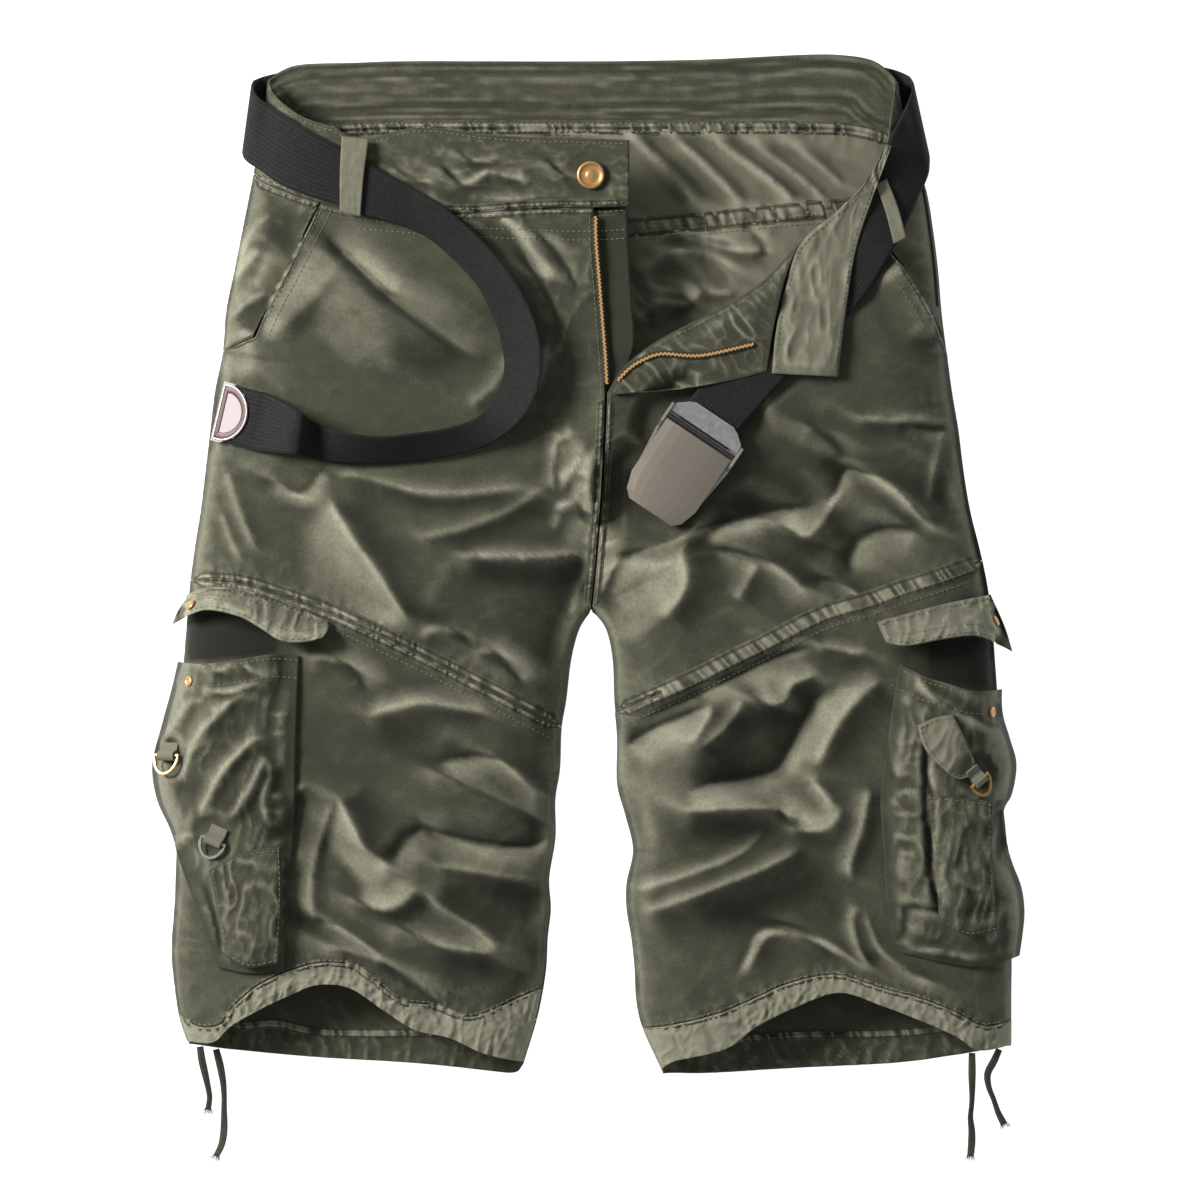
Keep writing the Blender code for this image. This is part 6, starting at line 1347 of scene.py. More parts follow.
def dress_cargo_pocket(node, outline, outer_side, cloth):
    """A bellows pocket sewn to the leg on three sides, its mouth standing open at the top."""
    left, right, top, bottom = smooth_curves(*outline)
    x, y, u, v = patch((left, right, top, bottom), 0.75 * CLOTH_STEP)
    from_side = nearest_on(left if outer_side == "left" else right, x, y)[0]
    inner_edge = (1 - u) if outer_side == "left" else u
    bulge = POCKET_BULGE * fade(inner_edge / 0.3) * fade((1 - v) / 0.25)
    mouth = (POCKET_MOUTH_RISE - POCKET_BULGE) * fade(1 - v / 0.25) * fade(inner_edge / 0.3)
    below, there = below_cloth(x, y, 3.0)
    level = CLOSING_HEIGHT + THIGH_RISE + CLOTH
    inflated = POCKET_FOOT + (level + bulge + mouth - POCKET_FOOT) * round_up(from_side / POCKET_DOME)
    seat = below + REST_GAP
    lifted = seat + bulge + mouth
    floor = np.where(there, np.maximum(seat, np.minimum(lifted, inflated)), inflated)
    floor = np.maximum(blurred(floor, 2), np.where(there, seat, 0))
    rough = 1.0 + 1.5 * sample(FIELDS["pocket"], x, y) + 1.6 * crinkle(x, y, 20, 7, 74, 43)
    edges = (fade(inner_edge / 0.12) * fade(from_side / 9) * (0.45 + 0.55 * fade(v / 0.08))
             * fade((1 - v) / 0.05))
    lay_cloth(node, x, y, floor + rough * edges, CLOTH, cloth)


def dress_pockets(cloth, worn):
    dress_cargo_pocket("cargo_pocket_right", POCKET_RIGHT, "left", cloth)
    dress_cargo_pocket("cargo_pocket_left", POCKET_LEFT, "right", cloth)
    step = 0.65 * CLOTH_STEP
    for node, outline in (("cargo_flap_right", FLAP_RIGHT), ("cargo_flap_left", FLAP_LEFT)):
        lay_over(node, smooth_curves(*outline), CLOTH, worn, step, (2.2, 12, 5, 70), 3.0, lift=FLAP_RISE)
    for node, outline, material in (("small_pocket_right", SMALL_POCKET_RIGHT, cloth),
                                    ("small_pocket_left", SMALL_POCKET_LEFT, cloth),
                                    ("small_flap_left", SMALL_FLAP_LEFT, worn)):
        lay_over(node, smooth_curves(*outline), CLOTH, material, step, (2.3, 15, 5, 80), 3.0, crown=2.0,
                 slot="olive_cotton")


def close_side(name, curve, cloth):
    """A strip up the garment's side, from the back's edge to the front's."""
    line = spaced(curve, 2.0)
    beside = beside_of(line)
    beside = beside * -np.sign(beside[:, :1] * line[:, :1])

    def edge_height(skins):
        return np.max([highest(*(line + beside * inset).T, skins) for inset in (0.8, 2.0, 3.5)], axis=0)

    low = edge_height(skins_where(lambda key: "back" in key and "belt" not in key))
    high = edge_height(skins_where(lambda key: "back" not in key and "belt" not in key))
    low = np.where(low > 0, low - 1.0, CLOSING_HEIGHT - 2)
    high = np.maximum(np.where(high > 0, high - 0.3, CLOSING_HEIGHT + 1), low + 0.5)
    outer, inner = line + beside * 1.6, line + beside * 2.8
    corners = ((outer, low), (inner, low), (inner, high), (outer, high))
    points = np.stack([np.column_stack(corner) for corner in corners], axis=1).reshape(-1, 3)
    # An even painted shade over the whole strip.
    shade = np.full(len(points), 0.3)
    add_piece(name, points, tube_faces(len(line), 4), cloth, {"worn": 0 * shade, "shade": shade})


# Belt, hardware and cords.

def ribbon(name, far, near, material, node):
    """A woven strap between two edges, with the distances along and across it as masks."""
    middle = (far + near) / 2
    up = unit(np.cross(near - far, np.gradient(middle, axis=0)))
    shares = np.linspace(0, 1, BELT_COLUMNS)
    width = np.linalg.norm(near - far, axis=1).mean()
    from_edge = np.minimum(shares, 1 - shares) * width
    half = BELT_THICK / 2 * (0.35 + 0.65 * round_up(from_edge / 1.2))
    flat = far[:, None, :] * (1 - shares[None, :, None]) + near[:, None, :] * shares[None, :, None]
    lift = up[:, None, :] * half[None, :, None]
    points, faces = closed_wall(flat - lift, flat + lift, turned=True)
    along = lengths_along(middle)
    masks = {"along": np.tile(np.repeat(along, BELT_COLUMNS), 2),
             "across": np.tile(shares * width, 2 * len(far))}
    item = add_piece(name, points, faces, material, masks, node=node, slot="black_webbing")
    remember(name, points[len(points) // 2:], grid_faces(len(far), BELT_COLUMNS, turned=True))


def circle_spots(radius):
    """The middle and eight points of a circle round it."""
    return [(0.0, 0.0)] + [(radius * math.cos(k * math.pi / 4), radius * math.sin(k * math.pi / 4))
                           for k in range(8)]


def highest_near(x, y, radius, skins):
    """Highest surface at plan points and close round them, 0 where there is none."""
    heights = [highest(x + a, y + b, skins) for a, b in circle_spots(radius)]
    return np.maximum(np.max(heights, axis=0), 0.0)


def height_under(x, y):
    return highest_near(x, y, 4, SKINS.values())


def strap(name, stations, material, node, extra=None):
    """A flat strap between a far and a near edge, over what it crosses."""
    table = np.array([row[:6] for row in stations], dtype=float)
    over = np.array([row[6] for row in stations], dtype=float)
    below = [height_under(table[:, column], table[:, column + 1]) for column in (0, 3)]
    level = np.maximum(*below) - STRAP_SAG
    table[:, 2] += over * np.maximum(below[0], level)
    table[:, 5] += over * np.maximum(below[1], level)
    per_span = 8
    table = smooth_curve(table, per_span)
    over = np.interp(np.arange(len(table)) / per_span, np.arange(len(stations)), over)
    far, near = table[:, :3].copy(), table[:, 3:].copy()
    short = np.zeros(len(far))
    for share in (0.0, 0.2, 0.4, 0.6, 0.8, 1.0):
        between = far + (near - far) * share
        short = np.maximum(short, height_under(between[:, 0], between[:, 1]) + STRAP_LIFT - between[:, 2])
    short = np.max([np.roll(short, k) for k in range(-3, 4)], axis=0)
    short = np.convolve(np.pad(short, 3, "edge"), np.ones(7) / 7, "valid")
    for line in (far, near):
        line[:, 2] += np.where(over >= 0.5, short, 0.0)
    if extra is not None:
        far, near = (smooth_curve(np.vstack([line[:-4:6], line[-4:-3], ends]), 6)
                     for line, ends in zip((far, near), extra))
    ribbon(name, far, near, material, node)


def resting_frame(x, y, heading, half_length, half_width, skins, offset=0.0):
    """Axes and origin of a stiff piece resting on the solids' cloth, its first axis along heading."""
    ahead = np.array([math.cos(heading), math.sin(heading)])
    beside = np.array([-ahead[1], ahead[0]])
    grid_s, grid_w = np.meshgrid(np.linspace(-1, 1, 7), np.linspace(-1, 1, 7))
    plan = (np.array([x, y]) + ahead * (offset + grid_s.reshape(-1, 1) * half_length)
            + beside * grid_w.reshape(-1, 1) * half_width)
    heights = highest_near(plan[:, 0], plan[:, 1], 1, skins)
    sums = np.column_stack([plan, np.ones(len(plan))])
    slope_x, slope_y, _ = np.linalg.lstsq(sums, heights, rcond=None)[0]
    up = np.array([-slope_x, -slope_y, 1.0])
    up /= np.linalg.norm(up)
    first = np.array([ahead[0], ahead[1], slope_x * ahead[0] + slope_y * ahead[1]])
    first /= np.linalg.norm(first)
    axes = np.column_stack([first, np.cross(up, first), up])
    over = (heights - sums @ np.array([slope_x, slope_y, 0.0])).max()
    origin = np.array([x, y, slope_x * x + slope_y * y + over]) + up * REST_GAP
    return axes, origin


def strap_ends(frame, places, height, far_side):
    """Far and near edges of a strap where it runs into a stiff piece."""
    axes, origin = frame
    return [np.array([(s, w, height) for s in places]) @ axes.T + origin
            for w in (-far_side * BELT_WIDTH / 2, far_side * BELT_WIDTH / 2)]


def refined(node, material, bevel=0.0, body="garment", kind="metal_"):
    """A copy of a solid's own form with rounded edges, in place of the solid."""
    mesh = bpy.data.objects[node].data.copy()
    mesh.materials.clear()
    mesh.materials.append(material)
    item = linked(kind + node, mesh)
    mesh.shade_smooth()
    if bevel:
        modifier = item.modifiers.new("Edges", "BEVEL")
        modifier.width = bevel * MM
        modifier.segments = 3
        modifier.limit_method = "ANGLE"
        modifier.harden_normals = True
        mesh.set_sharp_from_angle(angle=math.radians(32))
    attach(item, body)
    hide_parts(node)


def tip_rim(frame, enamel, bead):
    """Dark inner border and bright bead round the half-round plate of the belt's tip."""
    axes, origin = frame
    high = 2 * TIP_METAL + BELT_THICK + 2 * SEAM_GAP
    turn = np.linspace(-math.radians(76), math.radians(76), 49)
    arc = np.column_stack([TIP_FOLD - 2.5 - TIP_HALF_WIDTH * np.cos(turn),
                           0.98 * TIP_HALF_WIDTH * np.sin(turn)])
    outline = np.vstack([arc, [(TIP_FOLD - 0.8, arc[-1][1]), (TIP_FOLD - 0.8, arc[0][1])]])
    centre = np.array([TIP_FOLD - 10, 0.0])
    angles = np.linspace(0, 2 * math.pi, 10, endpoint=False)
    for name, material, share, half_wide, tall in (("metal_belt_tip_border", enamel, 0.80, 2.1, 0.25),
                                                   ("metal_belt_tip_bead", bead, 0.935, 0.85, 0.75)):
        line = centre + (outline - centre) * share
        line = spaced(np.vstack([line, line[:1]]), 0.9)[:-1]
        ahead = unit(np.roll(line, -1, axis=0) - np.roll(line, 1, axis=0))
        beside = np.column_stack([-ahead[:, 1], ahead[:, 0]])
        rings = [np.column_stack([line + beside * half_wide * math.cos(a),
                                  np.full(len(line), high + tall * math.sin(a))]) for a in angles]
        points = np.stack(rings, axis=1).reshape(-1, 3)
        index = np.arange(len(points)).reshape(len(line), len(angles))
        after, turned = np.roll(index, -1, axis=0), np.roll(index, -1, axis=1)
        faces = np.stack([index, after, np.roll(after, -1, axis=1), turned], axis=-1).reshape(-1, 4)
        add_piece(name, points @ axes.T + origin, faces, material)


def dress_belt(webbing, steel, gunmetal, dark_steel, plate, enamel):
    skins = [cad_skin(name) for name in CLOTH_BELOW_BELT]
    tip = resting_frame(*BELT_TIP, math.radians(BELT_TIP_HEADING), 13, TIP_HALF_WIDTH, skins)
    slot_middle = TIP_METAL + (BELT_THICK + 2 * SEAM_GAP) / 2
    ends = strap_ends(tip, (-18.0, -10.0, TIP_FOLD - 2), slot_middle, -1)
    strap("cloth_belt_tip_run", BELT_TIP_RUN, webbing, "belt_tip_run", ends)
    refined("belt_tip", plate, 0.3)
    tip_rim(tip, enamel, steel)
    skins += [cad_skin("belt_tip"), cad_skin("belt_tip_run")]
    buckle = resting_frame(*BUCKLE_PIN, math.radians(BUCKLE_HEADING), BUCKLE_LENGTH / 2 + 4,
                           BUCKLE_HALF_WIDTH, skins, BUCKLE_LENGTH / 2 - 4)
    ends = strap_ends(buckle, (-22.0, -14.0, -2.5), PLATE + SEAM_GAP + BELT_THICK / 2, 1)
    strap("cloth_belt_buckle_run", BELT_BUCKLE_RUN, webbing, "belt_buckle_run", ends)
    refined("buckle_base", steel, 0.5)
    refined("buckle_clamp", steel, 0.4)
    refined("buckle_pin", dark_steel)
    refined("buckle_cover", gunmetal, 0.6, "buckle_lid")


def lathe(node, radius, profile, sides, brass):
    """A closed turned form on its solid's place. profile lists shares of the radius and heights."""
    centre, axes = disc_frame(node)
    angles = np.linspace(0, 2 * math.pi, sides, endpoint=False)
    rows = [(LATHE_CORE, profile[0][1]), *((share * radius, z) for share, z in profile),
            (LATHE_CORE, profile[-1][1])]
    rings = [np.column_stack([r * np.cos(angles), r * np.sin(angles), np.full(sides, z)]) for r, z in rows]
    points = np.vstack(rings) @ axes.T + centre
    add_piece("metal_" + node, points, tube_faces(len(rows), sides), brass, node=node, slot="aged_brass")


def disc_frame(node):
    """Centre of the foot and axes of a turned solid, from its own points."""
    item = bpy.data.objects[node]
    points = np.array([tuple(v.co) for v in item.data.vertices]) / MM - (*ORIGIN_SHIFT, 0.0)
    middle = points.mean(axis=0)
    _, _, axes = np.linalg.svd(points - middle)
    up = axes[2] * (1 if axes[2][2] > 0 else -1)
    first = np.cross(up, (0, 1, 0))
    first /= np.linalg.norm(first)
    axes = np.column_stack([first, np.cross(up, first), up])
    foot = ((points - middle) @ up).min()
    return middle + up * foot, axes


def dress_button_and_snaps(brass):
    lathe("waist_button", BUTTON_RADIUS, BUTTON_PROFILE, 48, brass)
    for node, _ in SNAPS:
        lathe(node, SNAP_RADIUS, SNAP_PROFILE, 28, brass)


def dress_rings(worn, brass, steel):
    for node, body, metal, slot in (("pocket_ring_right", "ring_on_right_pocket", brass, "aged_brass"),
                                    ("d_ring_right", "ring_on_right_leg", steel, "bright_steel"),
                                    ("pocket_ring_left", "ring_on_left_pocket", brass, "aged_brass")):
        refined(node, metal, body=body)
        refined(node + "_tab", worn, 0.35, kind="cloth_")


def zip_teeth(node, line, brass, tape):
    """Zip teeth in pairs along a line, and the narrow tape that they are clamped to."""
    curve = spaced(line, TOOTH_STEP)
    beside = beside_of(curve)
    ground = skins_where(lambda key: "chain" not in key)
    heights = np.max([highest(*(curve + beside * shift).T, ground) for shift in (-1.5, 0.0, 1.5)], axis=0)
    heights = blurred(np.repeat(heights[:, None], 3, axis=1), 3)[:, 1]
    points, faces = [], []
    forward = np.column_stack([beside[:, 1], -beside[:, 0]])
    for k, (place, across, ahead, height) in enumerate(zip(curve, beside, forward, heights)):
        shift = 0.25 if k % 2 else -0.25
        faces += tube_faces(3, 4, len(points))
        for level, half, reach in ((0.25, 0.50, 0.52), (1.25, 0.54, 0.52), (1.6, 0.40, 0.40)):
            for a, b in ((-1, -1), (1, -1), (1, 1), (-1, 1)):
                spot = place + across * (b * (CHAIN_WIDTH / 2 * reach) + shift) + ahead * a * half
                points.append((spot[0], spot[1], height + level))
    add_piece("metal_" + node, points, faces, brass, smooth=False, node=node, slot="aged_brass")
    shares = np.linspace(-1, 1, 5)
    plan = curve[:, None, :] + beside[:, None, :] * shares[None, :, None] * TAPE_HALF_WIDTH
    floor = np.repeat(heights[:, None], 5, axis=1) + 0.15 - 0.25 * shares[None, :] ** 2
    low, high = (np.concatenate([plan, level[..., None]], axis=2) for level in (floor, floor + TAPE_THICK))
    add_piece("cloth_" + node + "_tape", *closed_wall(low, high), tape)


def dress_drawstrings(tape):
    """Limp woven tape ends, with a few loose threads at each free end."""
    rng = np.random.default_rng(17)
    angles = np.linspace(0, 2 * math.pi, STRING_SIDES, endpoint=False)
    wide = np.sign(np.cos(angles)) * np.abs(np.cos(angles)) ** 0.6
    for name, route in DRAWSTRINGS:
        line = smooth_curve(route, 8)
        line = at_shares(line, np.linspace(0, 1, round(lengths_along(line)[-1] / 8.0) + 1))
        dense = spaced(smooth_curve(line, 4), 1.6)
        ahead = unit(np.gradient(dense, axis=0))
        beside = np.column_stack([-ahead[:, 1], ahead[:, 0], np.zeros(len(ahead))])
        up = np.cross(ahead, beside)
        along = lengths_along(dense)
        twist = 0.35 * np.sin(along / 14 + len(name))
        half_wide = 2.05 + 0.3 * np.sin(along / 7)
        half_thick = 0.62 + 0.08 * np.sin(along / 2.2)
        rings = []
        for k in range(len(dense)):
            a, b = wide * half_wide[k], np.sin(angles) * half_thick[k]
            c, s = math.cos(twist[k]), math.sin(twist[k])
            rings.append(dense[k] + np.outer(a * c - b * s, beside[k]) + np.outer(a * s + b * c, up[k]))
        masks = {"along": np.repeat(along, STRING_SIDES),
                 "across": np.tile(np.arange(STRING_SIDES) / 2, len(dense))}
        item = add_piece("cloth_" + name, np.vstack(rings), tube_faces(len(dense), STRING_SIDES), tape,
                         masks, node=name, slot="drawstring_tape")
        threads = frayed_end("fray_" + name, dense[-1], ahead[-1], beside[-1], tape, rng)


def frayed_end(name, place, ahead, beside, tape, rng):
    """Short loose threads past the end of a tape."""
    points, faces = [], []
    for k in range(FRAY_THREADS):
        offset = (k / (FRAY_THREADS - 1) - 0.5) * 3.8
        spread = offset / 1.9 * 0.55 + rng.normal(0, 0.16)
        length = rng.uniform(2.0, 5.0)
        start = place - ahead * 1.0 + beside * offset
        heading = ahead + beside * spread
        rise = rng.uniform(-0.35, 0.5)
        faces += tube_faces(3, 3, len(points))
        for share, radius in ((0, 0.16), (0.5, 0.14), (1, 0.05)):
            centre = start + heading * length * share + np.array([0, 0, rise * share * (2 - share)])
            for angle in (0, 2.094, 4.189):
                points.append(centre + beside * radius * math.cos(angle)
                              + np.array([0, 0, radius * math.sin(angle)]))
    plain = np.zeros(len(points))
    return add_piece(name, points, faces, tape, {"along": plain, "across": plain})


# Seams and stitches.

def on_cloth(x, y):
    """Height of the sewn cloth, and 1 where a strap or loop covers it."""
    cloth = highest(x, y, skins_where(lambda name: "belt" not in name))
    covered = highest(x, y, skins_where(lambda name: "belt" in name)) > cloth + 0.3
    return cloth, covered


def seam(name, line, ends, half_width, height, pucker, pitch, cloth, seed):
    """A raised seam over the gap between two cloths, puckered across, its two ends cut off."""
    line = spaced(at_shares(line, np.linspace(ends, 1 - ends, 3 * len(line))), SEAM_STEP)
    beside = beside_of(line)
    along = lengths_along(line)
    shares = np.linspace(-1, 1, SEAM_COLUMNS)
    from_end = np.minimum(along, along[-1] - along)
    offsets = shares * half_width * (0.3 + 0.7 * fade(from_end / 7))[:, None]
    x = line[:, 0:1] + beside[:, 0:1] * offsets
    y = line[:, 1:2] + beside[:, 1:2] * offsets
    under, covered = on_cloth(x, y)
    there = under > 0
    clear = 1 - blurred(grown(covered.astype(float), 2), 2)
    under = np.where(there, under, 0)
    middle = np.where(there.any(axis=1), under.max(axis=1), 0)
    flat = blurred(np.where(there, under, middle[:, None]), 1)
    phase = lattice((along[:, None] + SEAM_SKEW * offsets) / pitch, offsets / 14, seed)
    ridge = (1 - np.abs(phase)) ** 1.5
    edges = fade((1 - np.abs(shares)) / 0.35)[None, :]
    core = fade((1 - np.abs(shares)) / 0.55)[None, :]
    grooves = np.exp(-((np.abs(shares) - 0.62) / 0.13) ** 2)[None, :]
    raised = edges * height + core * pucker * (ridge - 0.35) - 0.3 * grooves
    top = np.maximum(flat - SEAM_SINK * (1 - edges) + clear * raised, flat - SEAM_SINK)
    # Pucker crests get wear; painted shade lies between the puckers and in the two stitched grooves.
    masks = {"worn": np.clip(core * (0.4 + 1.0 * (ridge - 0.35)) * (1 - grooves), 0, 1),
             "shade": np.clip(core * (0.75 - ridge) + 0.8 * grooves, 0, 1)}
    quads = grid_faces(*x.shape, turned=True)
    points = np.stack([x, y, top], axis=-1).reshape(-1, 3)
    add_piece(name, points, quads, cloth, masks)
    remember(name, points, quads)


def dress_back_seams(cloth):
    """Welts over the seams inside the hems and at the seat, laid before the fronts cover them."""
    for k, (name, line, half_width, height, pucker) in enumerate(BACK_SEAMS):
        seam("seam_" + name, smooth_curve(line), 0.03, half_width, height, pucker, 4.0, cloth, 701 + k * 13)


def hip_seam(slant_line, side_line):
    """A slanted pocket mouth, down to where its panel ends on the side."""
    slant, side = smooth_curves(slant_line, side_line)
    foot = slant[-1] - (0, HIP_FOOT)
    return join(slant, run(side, foot, foot - (0, 1))[:1])


def dress_front_seams(cloth):
    fly, centre = smooth_curves(FLY_EDGE, CENTRE_SEAM)
    curves = {"thigh_right": smooth_curve(THIGH_SEAM_RIGHT), "thigh_left": smooth_curve(THIGH_SEAM_LEFT),
              "centre": join(fly[-1:], centre[1:]), "waist_right": smooth_curve(WAIST_SEAM_RIGHT),
              "hem_right": smooth_curve(HEM_TOP_RIGHT), "hem_left": smooth_curve(HEM_TOP_LEFT),
              "hip_right": hip_seam(SLANT_RIGHT, SIDE_RIGHT), "hip_left": hip_seam(SLANT_LEFT, SIDE_LEFT)}
    for k, (name, ends, half_width, height, pucker, pitch) in enumerate(FRONT_SEAMS):
        seam("seam_" + name, curves[name], ends, half_width, height, pucker, pitch, cloth, 501 + k * 11)


def stitch_starts_and_stops(curve, shift, pitch):
    """Plan points at the two ends of each stitch of a row beside a curve."""
    line = spaced(curve + beside_of(curve) * shift, pitch)
    starts, stops = line[:-1], line[1:]
    return starts + (stops - starts) * STITCH_GAP / pitch, stops


def stitch_rows():
    """Every sewn curve and how far to its left the row of stitches runs."""
    rows = [(smooth_curve(line), shifts) for line, shifts in SEAM_STITCHES]
    rows += [(smooth_curve(line)[8:-8], shifts) for line, shifts in BACK_STITCHES]
    rows += [(smooth_curve(line), shifts) for line, shifts in HEM_STITCHES]
    rows += [(smooth_curve(outline[2]), (-3.0, -14.0)) for outline in (POCKET_RIGHT, POCKET_LEFT)]
    for outline in (FLAP_RIGHT, FLAP_LEFT):
        rows += [(smooth_curve(outline[3]), (2.4, 7.4)), (smooth_curve(outline[2]), (-2.4,))]
    for outline in (SMALL_POCKET_RIGHT, SMALL_POCKET_LEFT, SMALL_FLAP_LEFT):
        rows += [(smooth_curve(outline[side]), shifts) for side, shifts in SMALL_STITCHES]
    return rows + [(smooth_curve(line), shifts) for line, shifts in CORNER_STITCHES]


def sew(name, thread, pitch):
    """One mesh of all the stitches, each dipping into the cloth at its ends."""
    pairs = [stitch_starts_and_stops(curve, shift, pitch)
             for curve, shifts in stitch_rows() for shift in shifts]
    starts, stops = (np.vstack(ends) for ends in zip(*pairs))
    ahead = stops - starts
    beside = np.column_stack([-ahead[:, 1], ahead[:, 0]]) / np.linalg.norm(ahead, axis=1)[:, None]
    shares, radii = np.array(STITCH_SHARES), np.array(STITCH_RADII)
    spots = starts[:, None, :] + ahead[:, None, :] * shares[None, :, None]
    heights, covered = on_cloth(spots[..., 0], spots[..., 1])
    keep = (heights > 0).all(axis=1) & (np.ptp(heights, axis=1) < STEEPEST_STITCH) & ~covered.any(axis=1)
    spots, heights, beside = spots[keep], heights[keep], beside[keep]
    heights = heights + STITCH_HEIGHTS
    rings = []
    for angle in np.linspace(0, 2 * math.pi, STITCH_SIDES, endpoint=False):
        place = np.concatenate([spots, heights[..., None]], axis=2)
        place[..., :2] += beside[:, None, :] * (radii * math.cos(angle))[None, :, None]
        place[..., 2] += radii * math.sin(angle)
        rings.append(place)
    points = np.stack(rings, axis=2)
    index = np.arange(points.size // 3).reshape(points.shape[:3])
    turn = np.roll(index, -1, axis=2)
    sides = np.stack([index[:, :-1], turn[:, :-1], turn[:, 1:], index[:, 1:]], axis=-1).reshape(-1, 4)
    faces = sides.tolist() + index[:, 0, ::-1].tolist() + index[:, -1, :].tolist()
    add_piece(name, points.reshape(-1, 3), faces, thread)


# Materials.

class Tree:
    """Short calls for adding and linking shader nodes."""

    def __init__(self, tree):
        self.tree = tree

    def feed(self, item, socket, source):
        """Links an output to a socket, or sets the socket's own value."""
        if hasattr(source, "is_output"):
            self.tree.links.new(source, item.inputs[socket])
        else:
            item.inputs[socket].default_value = source

    def node(self, kind, inputs=None, **settings):
        item = self.tree.nodes.new(kind)
        for key, value in settings.items():
            setattr(item, key, value)
        for socket, source in (inputs or {}).items():
            self.feed(item, socket, source)
        return item

    def math(self, operation, a, b=0.0, c=0.0):
        return self.node("ShaderNodeMath", {0: a, 1: b, 2: c}, operation=operation).outputs[0]

    def clamp(self, value):
        return self.node("ShaderNodeClamp", {0: value}).outputs[0]

    def mix(self, share, a, b):
        return self.node("ShaderNodeMix", {0: share, 6: a, 7: b}, data_type="RGBA").outputs[2]

    def noise(self, place, scale, detail=2.0, rough=0.5):
        return self.node("ShaderNodeTexNoise", {"Vector": place, "Scale": scale, "Detail": detail,
                                                "Roughness": rough}).outputs[0]

    def place(self):
        return self.node("ShaderNodeTexCoord").outputs["Object"]

    def mask(self, name):
        return self.node("ShaderNodeAttribute", attribute_name=name).outputs["Fac"]


def shader_group(name, inputs, outputs):
    """A node group with named sockets, its tree and its input and output nodes."""
    group = bpy.data.node_groups.new(name, "ShaderNodeTree")
    for kind, sockets in (("INPUT", inputs), ("OUTPUT", outputs)):
        for label, socket_type in sockets:
            group.interface.new_socket(name=label, in_out=kind, socket_type="NodeSocket" + socket_type)
    t = Tree(group)
    return group, t, t.node("NodeGroupInput").outputs, t.node("NodeGroupOutput")


def washed_twill(pitch):
    """Washed cotton: mottled colour, pale worn crests and painted light, painted shade, and a fine diagonal
    rib.
    """
    group, t, given, out = shader_group(
        "Washed Twill", (("Cloth", "Color"), ("Worn", "Color"), ("Deep", "Color")),
        (("Color", "Color"), ("Height", "Float")))
    place = t.place()
    broad = t.noise(place, 16.0, 3.0)
    cloudy = t.noise(place, 75.0, 3.0, 0.6)
    specks = t.noise(place, 900.0, 2.0, 0.6)
    slub = t.noise(place, 420.0, 3.0, 0.65)
    worn, shade = t.mask("worn"), t.mask("shade")
    mottle = t.math("ADD", t.math("MULTIPLY", broad, 0.35), t.math("MULTIPLY", cloudy, 0.45))
    mottle = t.math("ADD", mottle, t.math("MULTIPLY", specks, 0.45))
    # Share of the worn colour: wear and painted light, with random mottling.
    pale = t.math("MULTIPLY", worn, t.math("MULTIPLY_ADD", slub, 0.9, 0.35))
    pale = t.clamp(t.math("ADD", pale, t.math("MULTIPLY", t.math("SUBTRACT", mottle, 0.62), 0.55)))
    colour = t.mix(pale, given["Cloth"], given["Worn"])
    # Share of the deep colour: painted shade, with random mottling.
    dark = t.clamp(t.math("ADD", t.math("MULTIPLY", shade, 0.62),
                          t.math("MULTIPLY", t.math("SUBTRACT", 0.6, mottle), 0.7)))
    t.feed(out, "Color", t.mix(dark, colour, given["Deep"]))
    turned = t.node("ShaderNodeMapping", {"Vector": place, "Rotation": (0, 0, math.radians(38))}).outputs[0]
    rib = t.node("ShaderNodeTexWave", {"Vector": turned, "Scale": 0.314 / pitch, "Distortion": 0.6,
                                       "Detail": 1.0, "Detail Scale": 0.6}).outputs["Fac"]
    height = t.math("ADD", t.math("MULTIPLY", rib, 0.12), t.math("MULTIPLY", slub, 0.5))
    t.feed(out, "Height", t.math("ADD", height, t.math("MULTIPLY", cloudy, 1.2)))
    return group


def woven_ribs():
    """Webbing or tape: ribs along, picks across, and dust on the raised threads."""
    group, t, given, out = shader_group(
        "Woven Ribs", (("Dark", "Color"), ("Light", "Color"), ("Ribs", "Float"), ("Picks", "Float"),
                       ("Dust", "Float")), (("Color", "Color"), ("Height", "Float")))
    rib = t.math("SINE", t.math("MULTIPLY", t.mask("across"), given["Ribs"]))
    pick = t.math("SINE", t.math("MULTIPLY", t.mask("along"), given["Picks"]))
    weave = t.clamp(t.math("ADD", t.math("MULTIPLY", rib, 0.18), t.math("MULTIPLY_ADD", pick, 0.12, 0.45)))
    dust = t.math("MULTIPLY", t.noise(t.place(), 340.0, 3.0, 0.6), given["Dust"])
    t.feed(out, "Color", t.mix(t.clamp(t.math("MULTIPLY", weave, dust)), given["Dark"], given["Light"]))
    t.feed(out, "Height", weave)
    return group


def scratched_metal():
    """Fine scratches and faint stains; Stretch draws the scratches out one way for a brushed face."""
    group, t, given, out = shader_group(
        "Scratched Metal", (("Metal", "Color"), ("Stained", "Color"), ("Stains", "Float"),
                            ("Clean", "Float"), ("Rough", "Float"), ("Scratches", "Float"),
                            ("Stretch", "Vector")),
        (("Color", "Color"), ("Roughness", "Float"), ("Height", "Float")))
    place = t.place()
    drawn = t.node("ShaderNodeMapping", {"Vector": place, "Rotation": (0, 0, math.radians(56)),
                                         "Scale": given["Stretch"]}).outputs[0]
    grain = t.noise(drawn, 1500.0, 2.0, 0.6)
    stains = t.math("MULTIPLY_ADD", t.noise(place, 260.0, 3.0, 0.6), given["Stains"], given["Clean"])
    t.feed(out, "Color", t.mix(t.clamp(stains), given["Stained"], given["Metal"]))
    t.feed(out, "Roughness", t.math("MULTIPLY_ADD", grain, given["Scratches"], given["Rough"]))
    t.feed(out, "Height", grain)
    return group


